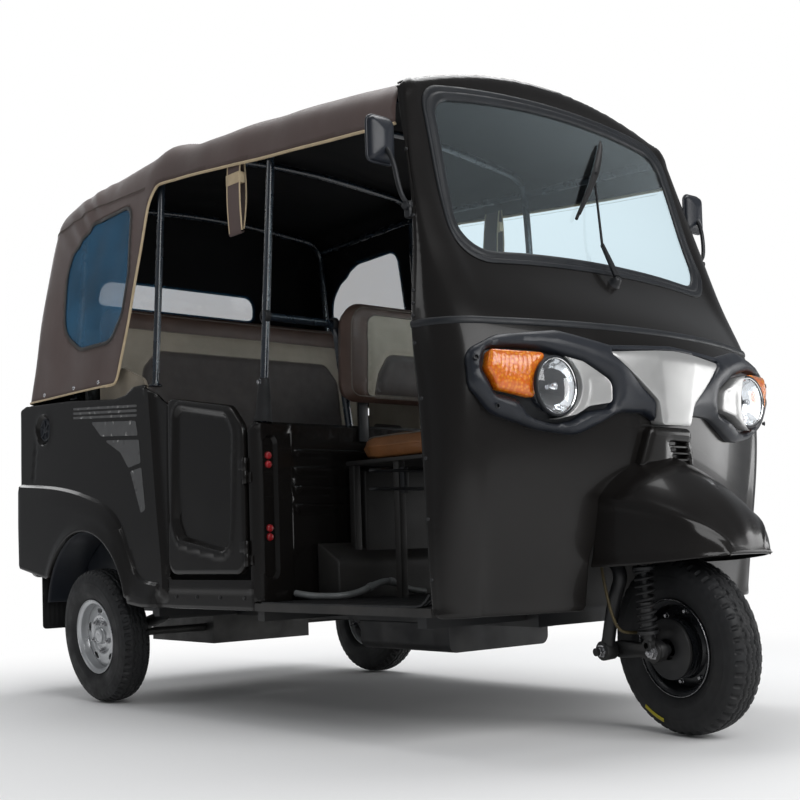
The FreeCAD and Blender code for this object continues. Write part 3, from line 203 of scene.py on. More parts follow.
def distance(points, line, closed=True):
    """Distance of each point from a polyline."""
    line = np.asarray(line, float)
    a = line if closed else line[:-1]
    b = np.roll(line, -1, 0) if closed else line[1:]
    best = np.full(len(points), 1e9)
    ab = b - a
    size = np.maximum((ab ** 2).sum(1), 1e-18)
    for start in range(0, len(points), BATCH):
        p = points[start:start + BATCH, None, :]
        t = np.clip(((p - a) * ab).sum(2) / size, 0, 1)
        best[start:start + BATCH] = np.sqrt((((a + t[..., None] * ab) - p) ** 2).sum(2)).min(1)
    return best


def inside(points, outline):
    """Which points lie within an outline."""
    a, b = outline, np.roll(outline, -1, 0)
    found = np.zeros(len(points), bool)
    for start in range(0, len(points), BATCH):
        x, y = points[start:start + BATCH, 0, None], points[start:start + BATCH, 1, None]
        across = (a[:, 1] > y) != (b[:, 1] > y)
        rise = np.where(np.abs(b[:, 1] - a[:, 1]) < 1e-15, 1e-15, b[:, 1] - a[:, 1])
        at = a[:, 0] + (y - a[:, 1]) * (b[:, 0] - a[:, 0]) / rise
        found[start:start + BATCH] = (across & (x < at)).sum(1) % 2 == 1
    return found


def depth_in(points, outline):
    """Distance from an outline, positive inside it."""
    d = distance(points, outline)
    return np.where(inside(points, outline), d, -d)


def moved_in(outline, by):
    """An outline shifted inwards along its own normals."""
    ahead, behind = np.roll(outline, -1, 0), np.roll(outline, 1, 0)
    along = unit(ahead - behind)
    area = (outline[:, 0] * ahead[:, 1] - ahead[:, 0] * outline[:, 1]).sum()
    normal = np.stack([-along[:, 1], along[:, 0]], 1) * (1 if area > 0 else -1)
    return outline + normal * by


# ---- Meshes ------------------------------------------------------------------------------

def outward(points, faces):
    """The faces, with each separate shell that is closed, or nearly so, turned to face outwards."""
    spot = np.unique(np.round(points, 6), axis=0, return_inverse=True)[1].reshape(-1)
    sizes = np.array([len(f) for f in faces])
    corners = np.fromiter((i for f in faces for i in f), int, sizes.sum())
    start = np.cumsum(sizes) - sizes
    following = np.arange(len(corners)) + 1
    following[start + sizes - 1] = start
    a, b = spot[corners], spot[corners[following]]
    label = np.arange(spot.max() + 1)
    while True:
        low, joined = np.minimum(label[a], label[b]), label.copy()
        np.minimum.at(joined, label[a], low)
        np.minimum.at(joined, label[b], low)
        joined = joined[joined]
        if (joined == label).all():
            break
        label = joined
    shell = label[a]
    n = len(label)
    many = np.maximum(np.bincount(shell, minlength=n), 1)
    middle = np.stack([np.bincount(shell, points[corners, k], n) / many for k in range(3)], 1)[shell]
    here, after = points[corners] - middle, points[corners[following]] - middle
    first = (points[corners[start]])[np.repeat(np.arange(len(faces)), sizes)] - middle
    cross = np.cross(here - first, after - first)
    volume = np.bincount(shell, (first * cross).sum(1) / 6, n)
    area = np.bincount(shell, np.linalg.norm(cross, axis=1) / 2, n)
    edges = np.minimum(a, b) * n + np.maximum(a, b)
    _, place, times = np.unique(edges, return_inverse=True, return_counts=True)
    single = np.bincount(shell, times[place.reshape(-1)] == 1, n) > 0
    turn = volume < np.where(single, -0.03, -1e-5) * area ** 1.5
    return [f[::-1] if turn[s] else f for f, s in zip(faces, shell[start])]


class Form:
    """Points and faces gathered for one piece."""

    def __init__(self):
        self.points, self.faces, self.slots, self.count = [], [], [], 0

    def add(self, points, faces, slot=0):
        points = np.asarray(points, float).reshape(-1, 3)
        self.points.append(points)
        base = self.count
        self.faces.extend([tuple(int(i) + base for i in f) for f in faces])
        self.slots.extend([slot] * len(faces))
        self.count += len(points)
        return self

    def grid(self, points, round_u=False, round_v=False, slot=0, flip=False):
        points = np.asarray(points, float)
        nu, nv = points.shape[:2]
        faces = []
        for i in range(nu if round_u else nu - 1):
            for j in range(nv if round_v else nv - 1):
                k, m = (i + 1) % nu, (j + 1) % nv
                face = (i * nv + j, k * nv + j, k * nv + m, i * nv + m)
                faces.append(face[::-1] if flip else face)
        return self.add(points.reshape(-1, 3), faces, slot)

    def make(self, name, body, materials, slot=None, replaces=(), sharp=50, padded=None, turned=True):
        """One mesh object riding on its body; turned=False keeps the faces of a hollow as they are."""
        mesh = bpy.data.meshes.new(name)
        points = np.vstack(self.points)
        mesh.from_pydata(points.tolist(), [], outward(points, self.faces) if turned else self.faces)
        for m in materials if isinstance(materials, (list, tuple)) else [materials]:
            mesh.materials.append(m)
        mesh.polygons.foreach_set("material_index", self.slots)
        mesh.polygons.foreach_set("use_smooth", [True] * len(self.faces))
        mesh.update()
        mesh.validate()
        if sharp:
            mesh.set_sharp_from_angle(angle=math.radians(sharp))
        obj = bpy.data.objects.new(name, mesh)
        scene.collection.objects.link(obj)
        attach(obj, body)
        if replaces:
            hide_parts(*replaces)
        return obj


def frames(path, closed=False):
    """Side and up directions carried along a path without twist."""
    path = np.asarray(path, float)
    if closed:
        along = unit(np.roll(path, -1, 0) - np.roll(path, 1, 0))
    else:
        along = unit(np.gradient(path, axis=0))
    side = np.zeros_like(path)
    first = np.cross(along[0], [0, 0, 1.0])
    side[0] = unit(first if np.linalg.norm(first) > 0.05 else np.cross(along[0], [1.0, 0, 0]))
    for i in range(1, len(path)):
        side[i] = unit(side[i - 1] - along[i] * float(side[i - 1] @ along[i]))
    return along, side, np.cross(along, side)


def smooth_path(points, step=0.02, loops=2):
    """A path with its corners eased, evenly resampled."""
    points = np.asarray(points, float)
    for _ in range(loops):
        a, b = points[:-1], points[1:]
        cut = np.stack([a * 0.75 + b * 0.25, a * 0.25 + b * 0.75], 1).reshape(-1, points.shape[1])
        points = np.vstack([points[:1], cut, points[-1:]])
    return spaced(points, step)


def tube(form, path, radius, sides=14, closed=False, capped=True):
    """A round bar along a path, with one radius or a radius at each point."""
    path = np.asarray(path, float)
    radius = np.broadcast_to(np.asarray(radius, float), (len(path),))
    _, side, up = frames(path, closed)
    turn = around(sides)
    ring = np.cos(turn)[None, :, None] * side[:, None] + np.sin(turn)[None, :, None] * up[:, None]
    points = path[:, None] + ring * radius[:, None, None]
    form.grid(points, round_u=closed, round_v=True, flip=True)
    if capped and not closed:
        for end, order in ((0, 1), (-1, -1)):
            form.add(points[end], [tuple(range(sides))[::order]])
    return form


SMALL_END = 0.004  # a turned shape that ends on a smaller radius than this is closed there


def lathe(form, profile, centre, axis, sides=48, flip=False):
    """A surface turned about an axis; profile rows are (distance along, radius)."""
    axis = unit(axis)
    side = unit(np.cross(axis, [0, 0, 1.0]) if abs(axis[2]) < 0.9 else np.cross(axis, [1.0, 0, 0]))
    up = np.cross(axis, side)
    profile = np.asarray(profile, float)
    turn = around(sides)
    ring = np.cos(turn)[:, None] * side + np.sin(turn)[:, None] * up
    points = (np.asarray(centre, float) + profile[:, None, :1] * axis
              + profile[:, None, 1:2] * ring[None])
    form.grid(points, round_v=True, flip=flip)
    for row in (0, -1):
        if 1e-6 < profile[row, 1] < SMALL_END:
            form.add(points[row], [tuple(range(sides))])
    return form


def block(form, low, high, bevel=0.004):
    """A box with rounded edges: a box grid pushed in at its edges and corners."""
    low, high = np.minimum(low, high).astype(float), np.maximum(low, high).astype(float)
    bevel = min(bevel, 0.45 * float((high - low).min()))
    arc = (1 - np.cos(np.linspace(0, math.pi / 2, 4))) * bevel
    cuts = [np.concatenate([low[k] + arc, (high[k] - arc)[::-1]]) for k in range(3)]
    core_low, core_high = low + bevel, high - bevel
    for k in range(3):
        a, b = [i for i in range(3) if i != k]
        for end in (low[k], high[k]):
            ua, ub = np.meshgrid(cuts[a], cuts[b], indexing="ij")
            points = np.zeros(ua.shape + (3,))
            points[..., a], points[..., b], points[..., k] = ua, ub, end
            core = np.clip(points, core_low, core_high)
            away = points - core
            length = np.linalg.norm(away, axis=-1, keepdims=True)
            points = core + away / np.maximum(length, 1e-12) * bevel
            form.grid(points, flip=(end == high[k]) == (k == 1))
    return form


class Surface:
    """Anything with a lift(u, v, h) that gives the points at height h above (u, v)."""

    def raised(self, uv, h):
        return self.lift(uv[:, 0], uv[:, 1], np.broadcast_to(h, len(uv)))


class Skin(Surface):
    """A curved surface held as a grid of points over (u, v)."""

    def __init__(self, us, vs, points, outward=1):
        self.us, self.vs, self.points, self.outward = np.asarray(us), np.asarray(vs), points, outward

    def at(self, u, v):
        u = np.clip(u, self.us[0], self.us[-1] - 1e-9)
        v = np.clip(v, self.vs[0], self.vs[-1] - 1e-9)
        i = np.clip(np.searchsorted(self.us, u, side="right") - 1, 0, len(self.us) - 2)
        j = np.clip(np.searchsorted(self.vs, v, side="right") - 1, 0, len(self.vs) - 2)
        s = ((u - self.us[i]) / (self.us[i + 1] - self.us[i]))[..., None]
        t = ((v - self.vs[j]) / (self.vs[j + 1] - self.vs[j]))[..., None]
        p = self.points
        return ((1 - s) * (1 - t) * p[i, j] + s * (1 - t) * p[i + 1, j]
                + (1 - s) * t * p[i, j + 1] + s * t * p[i + 1, j + 1])

    def on(self, uv):
        return self.at(uv[:, 0], uv[:, 1])

    def normal(self, u, v):
        reach = 0.006
        du = self.at(u + reach, v) - self.at(u - reach, v)
        dv = self.at(u, v + reach) - self.at(u, v - reach)
        return unit(np.cross(du, dv)) * self.outward

    def facing(self, uv):
        return self.normal(uv[:, 0], uv[:, 1])

    def lift(self, u, v, h):
        return self.at(u, v) + self.normal(u, v) * np.asarray(h, float)[..., None]


class Flat(Surface):
    """A plane: origin, the directions of u and v, and the outward direction."""

    def __init__(self, origin, along_u, along_v, out):
        self.origin, self.u, self.v, self.out = (np.asarray(x, float) for x in (origin, along_u, along_v, out))

    def lift(self, u, v, h):
        u, v, h = (np.asarray(x, float)[..., None] for x in (u, v, h))
        return self.origin + u * self.u + v * self.v + h * self.out


def plane_x(x, out):
    """The upright plane at x, facing towards +x or -x; u is y and v is z."""
    return Flat((x, 0, 0), Y, Z, (out, 0, 0))


def plane_y(y, out):
    """The upright plane at y, facing towards +y or -y; u is x and v is z."""
    return Flat((0, y, 0), X, Z, (0, out, 0))


def plane_z(z):
    """The level plane at z, facing up; u is x and v is y."""
    return Flat((0, 0, z), X, Y, Z)


def panel(form, outline, surface, height=0.0, holes=(), lines=(), step=0.012, thickness=0.003,
          edge=0.003, back_slot=0, flip=False, back=True):
    """A pressed sheet: an outline with holes on a surface, raised by a height or
    a height function, with a rounded rim."""
    loops = [spaced(outline, step * 0.6, True)] + [spaced(h, step * 0.6, True) for h in holes]
    seeds = []
    for k, loop in enumerate(loops):
        for share in (0.3, 1.0, 2.2) if edge > 0 else ():
            seeds.append(moved_in(loop, edge * share * (1 if k == 0 else -1)))
    for line in lines:
        seeds.append(spaced(line, step * 0.6, False))
    low, high = loops[0].min(0), loops[0].max(0)
    nu, nv = (np.ceil((high - low) / step)).astype(int) + 1
    gu, gv = np.meshgrid(np.linspace(low[0], high[0], nu), np.linspace(low[1], high[1], nv), indexing="ij")
    gu[:, 1::2] += step * 0.5
    interior = np.stack([gu.ravel(), gv.ravel()], 1)

    def kept(points, margin):
        ok = depth_in(points, loops[0]) > margin
        for loop in loops[1:]:
            ok &= depth_in(points, loop) < -margin
        return points[ok]

    rows = [kept(s, edge * 0.25) for s in seeds if len(s)]
    taken = np.vstack(loops + rows)
    interior = kept(interior, edge * 2.2 + step * 0.3)
    cells = {}
    size = step * 0.55
    for p in taken:
        cells.setdefault((int(p[0] // size), int(p[1] // size)), []).append(p)
    free = []
    for p in interior:
        i, j = int(p[0] // size), int(p[1] // size)
        near = [q for a in (-1, 0, 1) for b in (-1, 0, 1) for q in cells.get((i + a, j + b), ())]
        if not any((p[0] - q[0]) ** 2 + (p[1] - q[1]) ** 2 < size * size for q in near):
            free.append(p)
    points = np.vstack([taken] + ([np.array(free)] if free else []))
    edges, base = [], 0
    for loop in loops:
        n = len(loop)
        edges += [(base + i, base + (i + 1) % n) for i in range(n)]
        base += n
    made = geometry.delaunay_2d_cdt([Vector(p) for p in points.tolist()], edges, [], 0, 1e-6)
    uv = np.array([tuple(p) for p in made[0]])
    tris = np.array([f for f in made[2] if len(f) == 3])
    centres = uv[tris].mean(1)
    ok = inside(centres, loops[0])
    for loop in loops[1:]:
        ok &= ~inside(centres, loop)
    tris = tris[ok]
    used = np.unique(tris)
    again = np.full(len(uv), -1)
    again[used] = np.arange(len(used))
    uv, tris = uv[used], again[tris]
    d = distance(uv, loops[0])
    for loop in loops[1:]:
        d = np.minimum(d, distance(uv, loop))
    plain = np.broadcast_to(height(uv) if callable(height) else height, len(uv)).astype(float)
    h = plain
    if edge > 0:
        t = np.clip(1 - d / edge, 0, 1)
        h = plain - edge * (1 - np.sqrt(np.maximum(0, 1 - t ** 2)))
    top = surface.raised(uv, h)
    order = [tuple(t[::-1]) if flip else tuple(t) for t in tris.tolist()]
    if not back:
        return form.add(top, order)
    low_h = np.minimum(h, plain) - thickness
    under = surface.raised(uv, low_h)
    n = len(uv)
    count = {}
    for a, b, c in order:
        for e in ((a, b), (b, c), (c, a)):
            count[e] = count.get(e, 0) + 1
    rim = [e for e in count if (e[1], e[0]) not in count]
    form.add(np.vstack([top, under]), order)
    start = form.count - 2 * n
    for a, b, c in order:
        form.faces.append((start + n + c, start + n + b, start + n + a))
        form.slots.append(back_slot)
    for a, b in rim:
        form.faces.append((start + b, start + a, start + n + a, start + n + b))
        form.slots.append(0)
    return form


# ---- Materials ---------------------------------------------------------------------------

class Shade:
    """A principled material built up node by node, on coordinates fixed to the object."""

    def __init__(self, name, colour, rough=0.5, metal=0.0, **sockets):
        self.material = bpy.data.materials.new(name)
        self.material.use_nodes = True
        self.nodes, self.links = self.material.node_tree.nodes, self.material.node_tree.links
        self.shader = self.nodes["Principled BSDF"]
        self.shader.inputs["Base Color"].default_value = (*colour, 1)
        self.shader.inputs["Roughness"].default_value = rough
        self.shader.inputs["Metallic"].default_value = metal
        for key, value in sockets.items():
            self.shader.inputs[key.replace("_", " ")].default_value = value
        self.colour, self.rough = colour, rough
        self.place = self.nodes.new("ShaderNodeTexCoord").outputs["Object"]
        self.tint = self.relief = None

    def node(self, kind, inputs=None, **settings):
        made = self.nodes.new(kind)
        for key, value in settings.items():
            setattr(made, key, value)
        for key, value in (inputs or {}).items():
            if isinstance(value, bpy.types.NodeSocket):
                self.links.new(value, made.inputs[key])
            else:
                made.inputs[key].default_value = value
        return made

    def noise(self, scale, detail=3.0, stretch=None):
        place = self.place
        if stretch:
            place = self.node("ShaderNodeMapping", {"Vector": place, "Scale": stretch}).outputs["Vector"]
        return self.node("ShaderNodeTexNoise", {"Vector": place, "Scale": scale, "Detail": detail,
                                                "Roughness": 0.5}).outputs["Fac"]

    def ramp(self, fac, low, high, start=0.0, end=1.0):
        return self.node("ShaderNodeMapRange", {"Value": fac, "From Min": start, "From Max": end,
                                                "To Min": low, "To Max": high}).outputs["Result"]

    def blend(self, fac, low, high):
        """Colours low to high by a factor."""
        made = self.node("ShaderNodeMix", data_type="RGBA")
        for index, value in ((6, low), (7, high)):
            if isinstance(value, bpy.types.NodeSocket):
                self.links.new(value, made.inputs[index])
            else:
                made.inputs[index].default_value = (*value[:3], 1)
        self.links.new(fac, made.inputs[0])
        return made.outputs[2]

    def varied(self, scale=4.0, amount=0.15, shift=(1, 1, 1)):
        """Slow variation of colour over the surface."""
        low = tuple(c * (1 - amount) for c in self.colour)
        high = tuple(c * (1 + amount) * s for c, s in zip(self.colour, shift))
        self.tint = self.blend(self.ramp(self.noise(scale, 4.0), 0, 1, 0.3, 0.7), low, high)
        self.links.new(self.tint, self.shader.inputs["Base Color"])
        return self

    def over(self, fac, colour):
        """Lays another colour over the present one by a factor."""
        self.tint = self.blend(fac, self.tint if self.tint else self.colour, colour)
        self.links.new(self.tint, self.shader.inputs["Base Color"])
        return self

    def dusty(self, colour=(0.09, 0.08, 0.07), amount=0.25, top=0.9, bottom=0.2):
        """Road dust that thins out with height, laid in patches."""
        where = self.node("ShaderNodeSeparateXYZ", {"Vector": self.place}).outputs["Z"]
        low = self.ramp(where, 1.0, 0.0, bottom, top)
        patch = self.ramp(self.noise(7.0, 6.0), 0, 1, 0.35, 0.75)
        fac = self.node("ShaderNodeMath", {0: low, 1: patch}, operation="MULTIPLY").outputs[0]
        fac = self.node("ShaderNodeMath", {0: fac, 1: amount}, operation="MULTIPLY").outputs[0]
        return self.over(fac, colour)

    def rough_by(self, scale, spread):
        """Slow variation of roughness over the surface."""
        fac = self.ramp(self.noise(scale, 5.0), self.rough - spread, self.rough + spread, 0.3, 0.7)
        self.links.new(fac, self.shader.inputs["Roughness"])
        return self

    def bumped(self, fac, strength=0.3, distance=0.001):
        settings = {"Height": fac, "Strength": strength, "Distance": distance}
        if self.relief:
            settings["Normal"] = self.relief
        self.relief = self.node("ShaderNodeBump", settings).outputs["Normal"]
        self.links.new(self.relief, self.shader.inputs["Normal"])
        return self

    def grain(self, scale, strength=0.25, distance=0.0006):
        """Leather or moulded grain."""
        cells = self.node("ShaderNodeTexVoronoi", {"Vector": self.place, "Scale": scale},
                          feature="DISTANCE_TO_EDGE").outputs["Distance"]
        return self.bumped(self.ramp(cells, 0, 1, 0, 0.35), strength, distance)

    def weave(self, scale=900.0, strength=0.3, distance=0.0004):
        """Fine crossed threads over x + y and z."""
        parts = self.node("ShaderNodeSeparateXYZ", {"Vector": self.place}).outputs
        flat = self.node("ShaderNodeMath", {0: parts["X"], 1: parts["Y"]}, operation="ADD").outputs[0]
        waves = []
        for source in (flat, parts["Z"]):
            turned = self.node("ShaderNodeMath", {0: source, 1: scale}, operation="MULTIPLY").outputs[0]
            waves.append(self.node("ShaderNodeMath", {0: turned}, operation="SINE").outputs[0])
        both = self.node("ShaderNodeMath", {0: waves[0], 1: waves[1]}, operation="MULTIPLY").outputs[0]
        return self.bumped(both, strength, distance)


def shades():
    """Every material by its key."""
    made = {}

    def keep(key, shade):
        made[key] = shade.material

    paint = Shade("body_paint", (0.007, 0.0062, 0.0058), 0.23, Specular_IOR_Level=0.2,
                  Coat_Weight=0.16, Coat_Roughness=0.03)
    paint.varied(3.0, 0.12).dusty((0.034, 0.03, 0.026), 0.16, 0.8, 0.1).rough_by(9.0, 0.03)
    keep("paint", paint.bumped(paint.noise(260.0, 2.0), 0.05, 0.0004))
    matt = Shade("inner_paint", (0.0105, 0.01, 0.0098), 0.48, Specular_IOR_Level=0.3)
    keep("inner", matt.varied(5.0, 0.2).dusty((0.06, 0.055, 0.05), 0.3, 1.0, 0.3).rough_by(14.0, 0.08))
    trim = Shade("trim_black", (0.0085, 0.011, 0.0165), 0.4, Specular_IOR_Level=0.42)
    keep("trim", trim.varied(6.0, 0.12).rough_by(18.0, 0.06).grain(900.0, 0.12, 0.0002))
    silver = Shade("silver_trim", (0.4, 0.4, 0.395), 0.36, 0.55)
    keep("silver", silver.varied(9.0, 0.05).rough_by(30.0, 0.05).bumped(silver.noise(1400.0, 2.0), 0.06, 0.0002))
    seal = Shade("seal_rubber", (0.0055, 0.0072, 0.01), 0.5, Specular_IOR_Level=0.4)
    keep("seal", seal.varied(8.0, 0.2).rough_by(22.0, 0.1).bumped(seal.noise(500.0, 3.0), 0.08, 0.0003))
    glass = Shade("screen_glass", (0.72, 0.88, 0.95), 0.015, IOR=1.5, Transmission_Weight=1.0)
    glass.links.new(glass.ramp(glass.noise(5.0, 5.0), 0.004, 0.03, 0.4, 0.8),
                    glass.shader.inputs["Roughness"])
    keep("glass", glass)
    lens = Shade("lamp_glass", (0.96, 0.98, 1.0), 0.01, IOR=1.45, Transmission_Weight=1.0)
    keep("lens", lens.bumped(lens.noise(90.0, 1.0), 0.05, 0.0006))
    chrome = Shade("lamp_bowl", (0.9, 0.91, 0.92), 0.17, 1.0)
    keep("chrome", chrome.rough_by(30.0, 0.04))
    amber = Shade("amber_lens", (0.93, 0.27, 0.012), 0.16, Transmission_Weight=0.25, IOR=1.49,
                  Subsurface_Weight=0.25, Subsurface_Scale=0.02, Coat_Weight=0.6, Coat_Roughness=0.04)
    cells = amber.node("ShaderNodeTexVoronoi", {"Vector": amber.place, "Scale": 110.0}).outputs["Distance"]
    amber.tint = amber.blend(amber.ramp(cells, 0, 1, 0.1, 0.6), (0.98, 0.36, 0.02), (0.74, 0.16, 0.006))
    amber.links.new(amber.tint, amber.shader.inputs["Base Color"])
    keep("amber", amber.bumped(cells, 0.35, 0.002))
    red = Shade("red_lens", (0.45, 0.012, 0.012), 0.14, Coat_Weight=0.6, Coat_Roughness=0.05)
    cells = red.node("ShaderNodeTexVoronoi", {"Vector": red.place, "Scale": 140.0}).outputs["Distance"]
    keep("red", red.varied(30.0, 0.25).bumped(cells, 0.3, 0.0015))
    plug = Shade("red_plug", (0.3, 0.006, 0.01), 0.4, Coat_Weight=0.3)
    keep("plug", plug.varied(40.0, 0.2).rough_by(60.0, 0.08))
    iron = Shade("black_metal", (0.0075, 0.0085, 0.0105), 0.45, 0.2, Specular_IOR_Level=0.5)
    iron.varied(7.0, 0.25).dusty((0.07, 0.062, 0.05), 0.35, 0.75, 0.1).rough_by(16.0, 0.1)
    keep("iron", iron.bumped(iron.noise(180.0, 4.0), 0.12, 0.0006))
    pole = Shade("frame_paint", (0.007, 0.012, 0.019), 0.27, Specular_IOR_Level=0.55, Coat_Weight=0.3)
    keep("pole", pole.varied(9.0, 0.12).rough_by(20.0, 0.06).bumped(pole.noise(300.0, 2.0), 0.05, 0.0003))
    floor_paint = Shade("floor_paint", (0.013, 0.0125, 0.012), 0.55)
    floor_paint.varied(6.0, 0.25).dusty((0.08, 0.07, 0.06), 0.3, 0.9, 0.3).rough_by(11.0, 0.12)
    keep("floor_paint", floor_paint.bumped(floor_paint.noise(220.0, 4.0), 0.2, 0.0008))
    cloth = Shade("canopy_cloth", (0.086, 0.056, 0.05), 0.56, Sheen_Weight=0.12, Specular_IOR_Level=0.35)
    cloth.varied(2.5, 0.1, (1.0, 0.98, 0.98)).rough_by(8.0, 0.07)
    cloth.bumped(cloth.noise(7.0, 3.0, (1, 1, 0.35)), 0.22, 0.01)
    keep("cloth", cloth.weave(1500.0, 0.22, 0.0003))
    lining = Shade("canopy_lining", (0.0045, 0.0045, 0.005), 0.85, Specular_IOR_Level=0.2)
    keep("lining", lining.varied(6.0, 0.2).weave(1500.0, 0.3, 0.0003))
    piping = Shade("beige_piping", (0.52, 0.41, 0.26), 0.6)
    keep("piping", piping.varied(30.0, 0.12).weave(2600.0, 0.4, 0.0003))
    seam = Shade("seam_tape", (0.035, 0.034, 0.033), 0.6)
    keep("seam", seam.varied(20.0, 0.2).weave(2600.0, 0.4, 0.0003))
    film = Shade("window_film", (0.045, 0.175, 0.32), 0.07, Specular_IOR_Level=0.6, Alpha=0.4)
    film.varied(6.0, 0.25)
    keep("film", film.bumped(film.noise(5.0, 1.0, (1, 1, 0.5)), 0.1, 0.006))
    brown = Shade("seat_brown", (0.06, 0.034, 0.025), 0.46, Specular_IOR_Level=0.4)
    keep("brown", brown.varied(14.0, 0.14).rough_by(40.0, 0.08).grain(420.0, 0.35, 0.0006))
    beige = Shade("seat_beige", (0.27, 0.235, 0.185), 0.5, Specular_IOR_Level=0.4)
    keep("beige", beige.varied(12.0, 0.1).rough_by(40.0, 0.08).grain(420.0, 0.35, 0.0006))
    tan = Shade("seat_tan", (0.2, 0.082, 0.028), 0.44, Specular_IOR_Level=0.45)
    keep("tan", tan.varied(14.0, 0.12).rough_by(40.0, 0.08).grain(380.0, 0.35, 0.0006))
    panel_cloth = Shade("seat_centre", (0.04, 0.032, 0.029), 0.62)
    keep("centre", panel_cloth.varied(16.0, 0.15).rough_by(30.0, 0.07).weave(1900.0, 0.4, 0.0004))
    thread = Shade("thread", (0.1, 0.085, 0.07), 0.7)
    keep("thread", thread.varied(60.0, 0.2).weave(3500.0, 0.4, 0.0003))
    tyre = Shade("tyre_rubber", (0.0075, 0.008, 0.0092), 0.62, Specular_IOR_Level=0.4)
    tyre.varied(12.0, 0.25).dusty((0.035, 0.032, 0.028), 0.3, 0.6, 0.0).rough_by(20.0, 0.12)
    keep("tyre", tyre.bumped(tyre.noise(420.0, 4.0), 0.15, 0.0005))
    rim = Shade("rim_silver", (0.5, 0.51, 0.52), 0.33, 0.75)
    keep("rim", rim.varied(12.0, 0.08).rough_by(18.0, 0.08).bumped(rim.noise(500.0, 3.0), 0.08, 0.0003))
    rim_black = Shade("rim_black", (0.0095, 0.0105, 0.0125), 0.3, 0.2, Specular_IOR_Level=0.6)
    keep("rim_black", rim_black.varied(12.0, 0.2).rough_by(25.0, 0.08))
    cast = Shade("engine_metal", (0.065, 0.064, 0.062), 0.55, 0.6)
    keep("cast", cast.varied(9.0, 0.3).rough_by(15.0, 0.12).bumped(cast.noise(150.0, 5.0), 0.3, 0.0012))
    steel = Shade("bright_steel", (0.42, 0.42, 0.43), 0.25, 1.0)
    keep("steel", steel.varied(30.0, 0.1).rough_by(60.0, 0.1))
    rubber = Shade("rubber", (0.0075, 0.0075, 0.0082), 0.68, Specular_IOR_Level=0.35)
    keep("rubber", rubber.varied(15.0, 0.25).rough_by(20.0, 0.1).bumped(rubber.noise(300.0, 4.0), 0.15, 0.0006))
    cable = Shade("cable_guard", (0.06, 0.045, 0.018), 0.45, 0.4)
    keep("cable", cable.varied(50.0, 0.2).rough_by(70.0, 0.1))
    label = Shade("yellow_label", (0.42, 0.36, 0.012), 0.5)
    keep("label", label.varied(60.0, 0.1).rough_by(60.0, 0.08))
    pipe = Shade("grey_pipe", (0.22, 0.23, 0.23), 0.42, 0.2)
    keep("pipe", pipe.varied(30.0, 0.15).rough_by(40.0, 0.08))
    stripe = Shade("decal_grey", (0.075, 0.075, 0.075), 0.35, Coat_Weight=0.3)
    keep("decal", stripe.varied(30.0, 0.1).rough_by(40.0, 0.05))
    return made


M = shades()

# ---- Front cowl --------------------------------------------------------------------------

COWL = [
    # height, side inset, rear edge, side end, corner x inset, corner station, nose station
    (SILL - 0.004, 0.006, 0.305, 0.27, 0.13, 0.225, 0.13),
    (SILL + 0.26, -0.004, 0.31, 0.262, 0.11, 0.19, 0.085),
    (BELT - 0.18, -0.008, 0.325, 0.255, 0.1, 0.16, 0.042),
    (BELT, -0.006, 0.342, 0.305, 0.13, 0.178, 0.073),
    (BELT + 0.17, 0.018, 0.357, 0.325, 0.145, 0.272, 0.222),
    (BELT + 0.46, 0.058, 0.408, 0.396, 0.13, 0.386, 0.331),
    (ROOF - 0.12, 0.1, 0.492, 0.474, 0.16, 0.462, 0.43),
    (ROOF - 0.06, 0.108, 0.499, 0.488, 0.175, 0.48, 0.455),
    (ROOF + 0.016, 0.118, 0.4995, 0.496, 0.19, 0.492, 0.48), ]


def arc_through(a, b, c, count):
    """Points of the circle through three points, from a to c."""
    (ax, ay), (bx, by), (cx, cy) = a, b, c
    d = 2 * (ax * (by - cy) + bx * (cy - ay) + cx * (ay - by))
    aa, bb, cc = ax ** 2 + ay ** 2, bx ** 2 + by ** 2, cx ** 2 + cy ** 2
    ux = (aa * (by - cy) + bb * (cy - ay) + cc * (ay - by)) / d
    uy = (aa * (cx - bx) + bb * (ax - cx) + cc * (bx - ax)) / d
    r = math.hypot(ax - ux, ay - uy)
    t0, tb, t1 = (math.atan2(p[1] - uy, p[0] - ux) for p in (a, b, c))
    tau = 2 * math.pi
    sweep, part = (t1 - t0) % tau, (tb - t0) % tau
    if part > sweep:
        sweep -= tau
    t = t0 + sweep * np.linspace(0, 1, count)
    return np.stack([ux + r * np.cos(t), uy + r * np.sin(t)], 1)


def cowl_plan(row):
    """One plan outline of the cowl from its left rear edge round the nose, x from -w to w."""
    _, side, back, side_end, corner, corner_station, nose = row
    w, c = HALF - side, HALF - corner
    y_side, y_corner, y_nose = front(side_end), front(corner_station), front(nose)
    bow = 0.16 * (w - c)
    middle = ((w + c) / 2 + bow, (y_side + y_corner) / 2 - min(bow, 0.3 * (y_side - y_corner)))
    whole = arc_through((-c, y_corner), (0, y_nose), (c, y_corner), 241)
    half = np.vstack([
        whole[120:],
        arc_through((c, y_corner), middle, (w, y_side), 61)[1:],
        np.linspace((w, y_side), (w, front(back)), 13)[1:], ])
    line = np.vstack([(half * [-1, 1])[:0:-1], half])
    return blurred(line, 5)


plans = np.array([cowl_plan(row) for row in COWL])
heights = [row[0] for row in COWL]
waist = plans[3]
cowl_u = run_along(waist)
cowl_u -= cowl_u[-1] / 2
COWL_END = cowl_u[-1]


def cowl_wall(zs):
    """Rows of the cowl's wall at heights: [column, height, xyz]."""
    xy = cubic(heights, plans, zs)
    z = np.broadcast_to(np.asarray(zs)[:, None, None], xy.shape[:2] + (1,))
    return np.concatenate([xy, z], 2).transpose(1, 0, 2)


wall_zs = np.arange(SILL - 0.01, ROOF + 0.018, 0.006)
COWL_SKIN = Skin(cowl_u, wall_zs, cowl_wall(wall_zs))


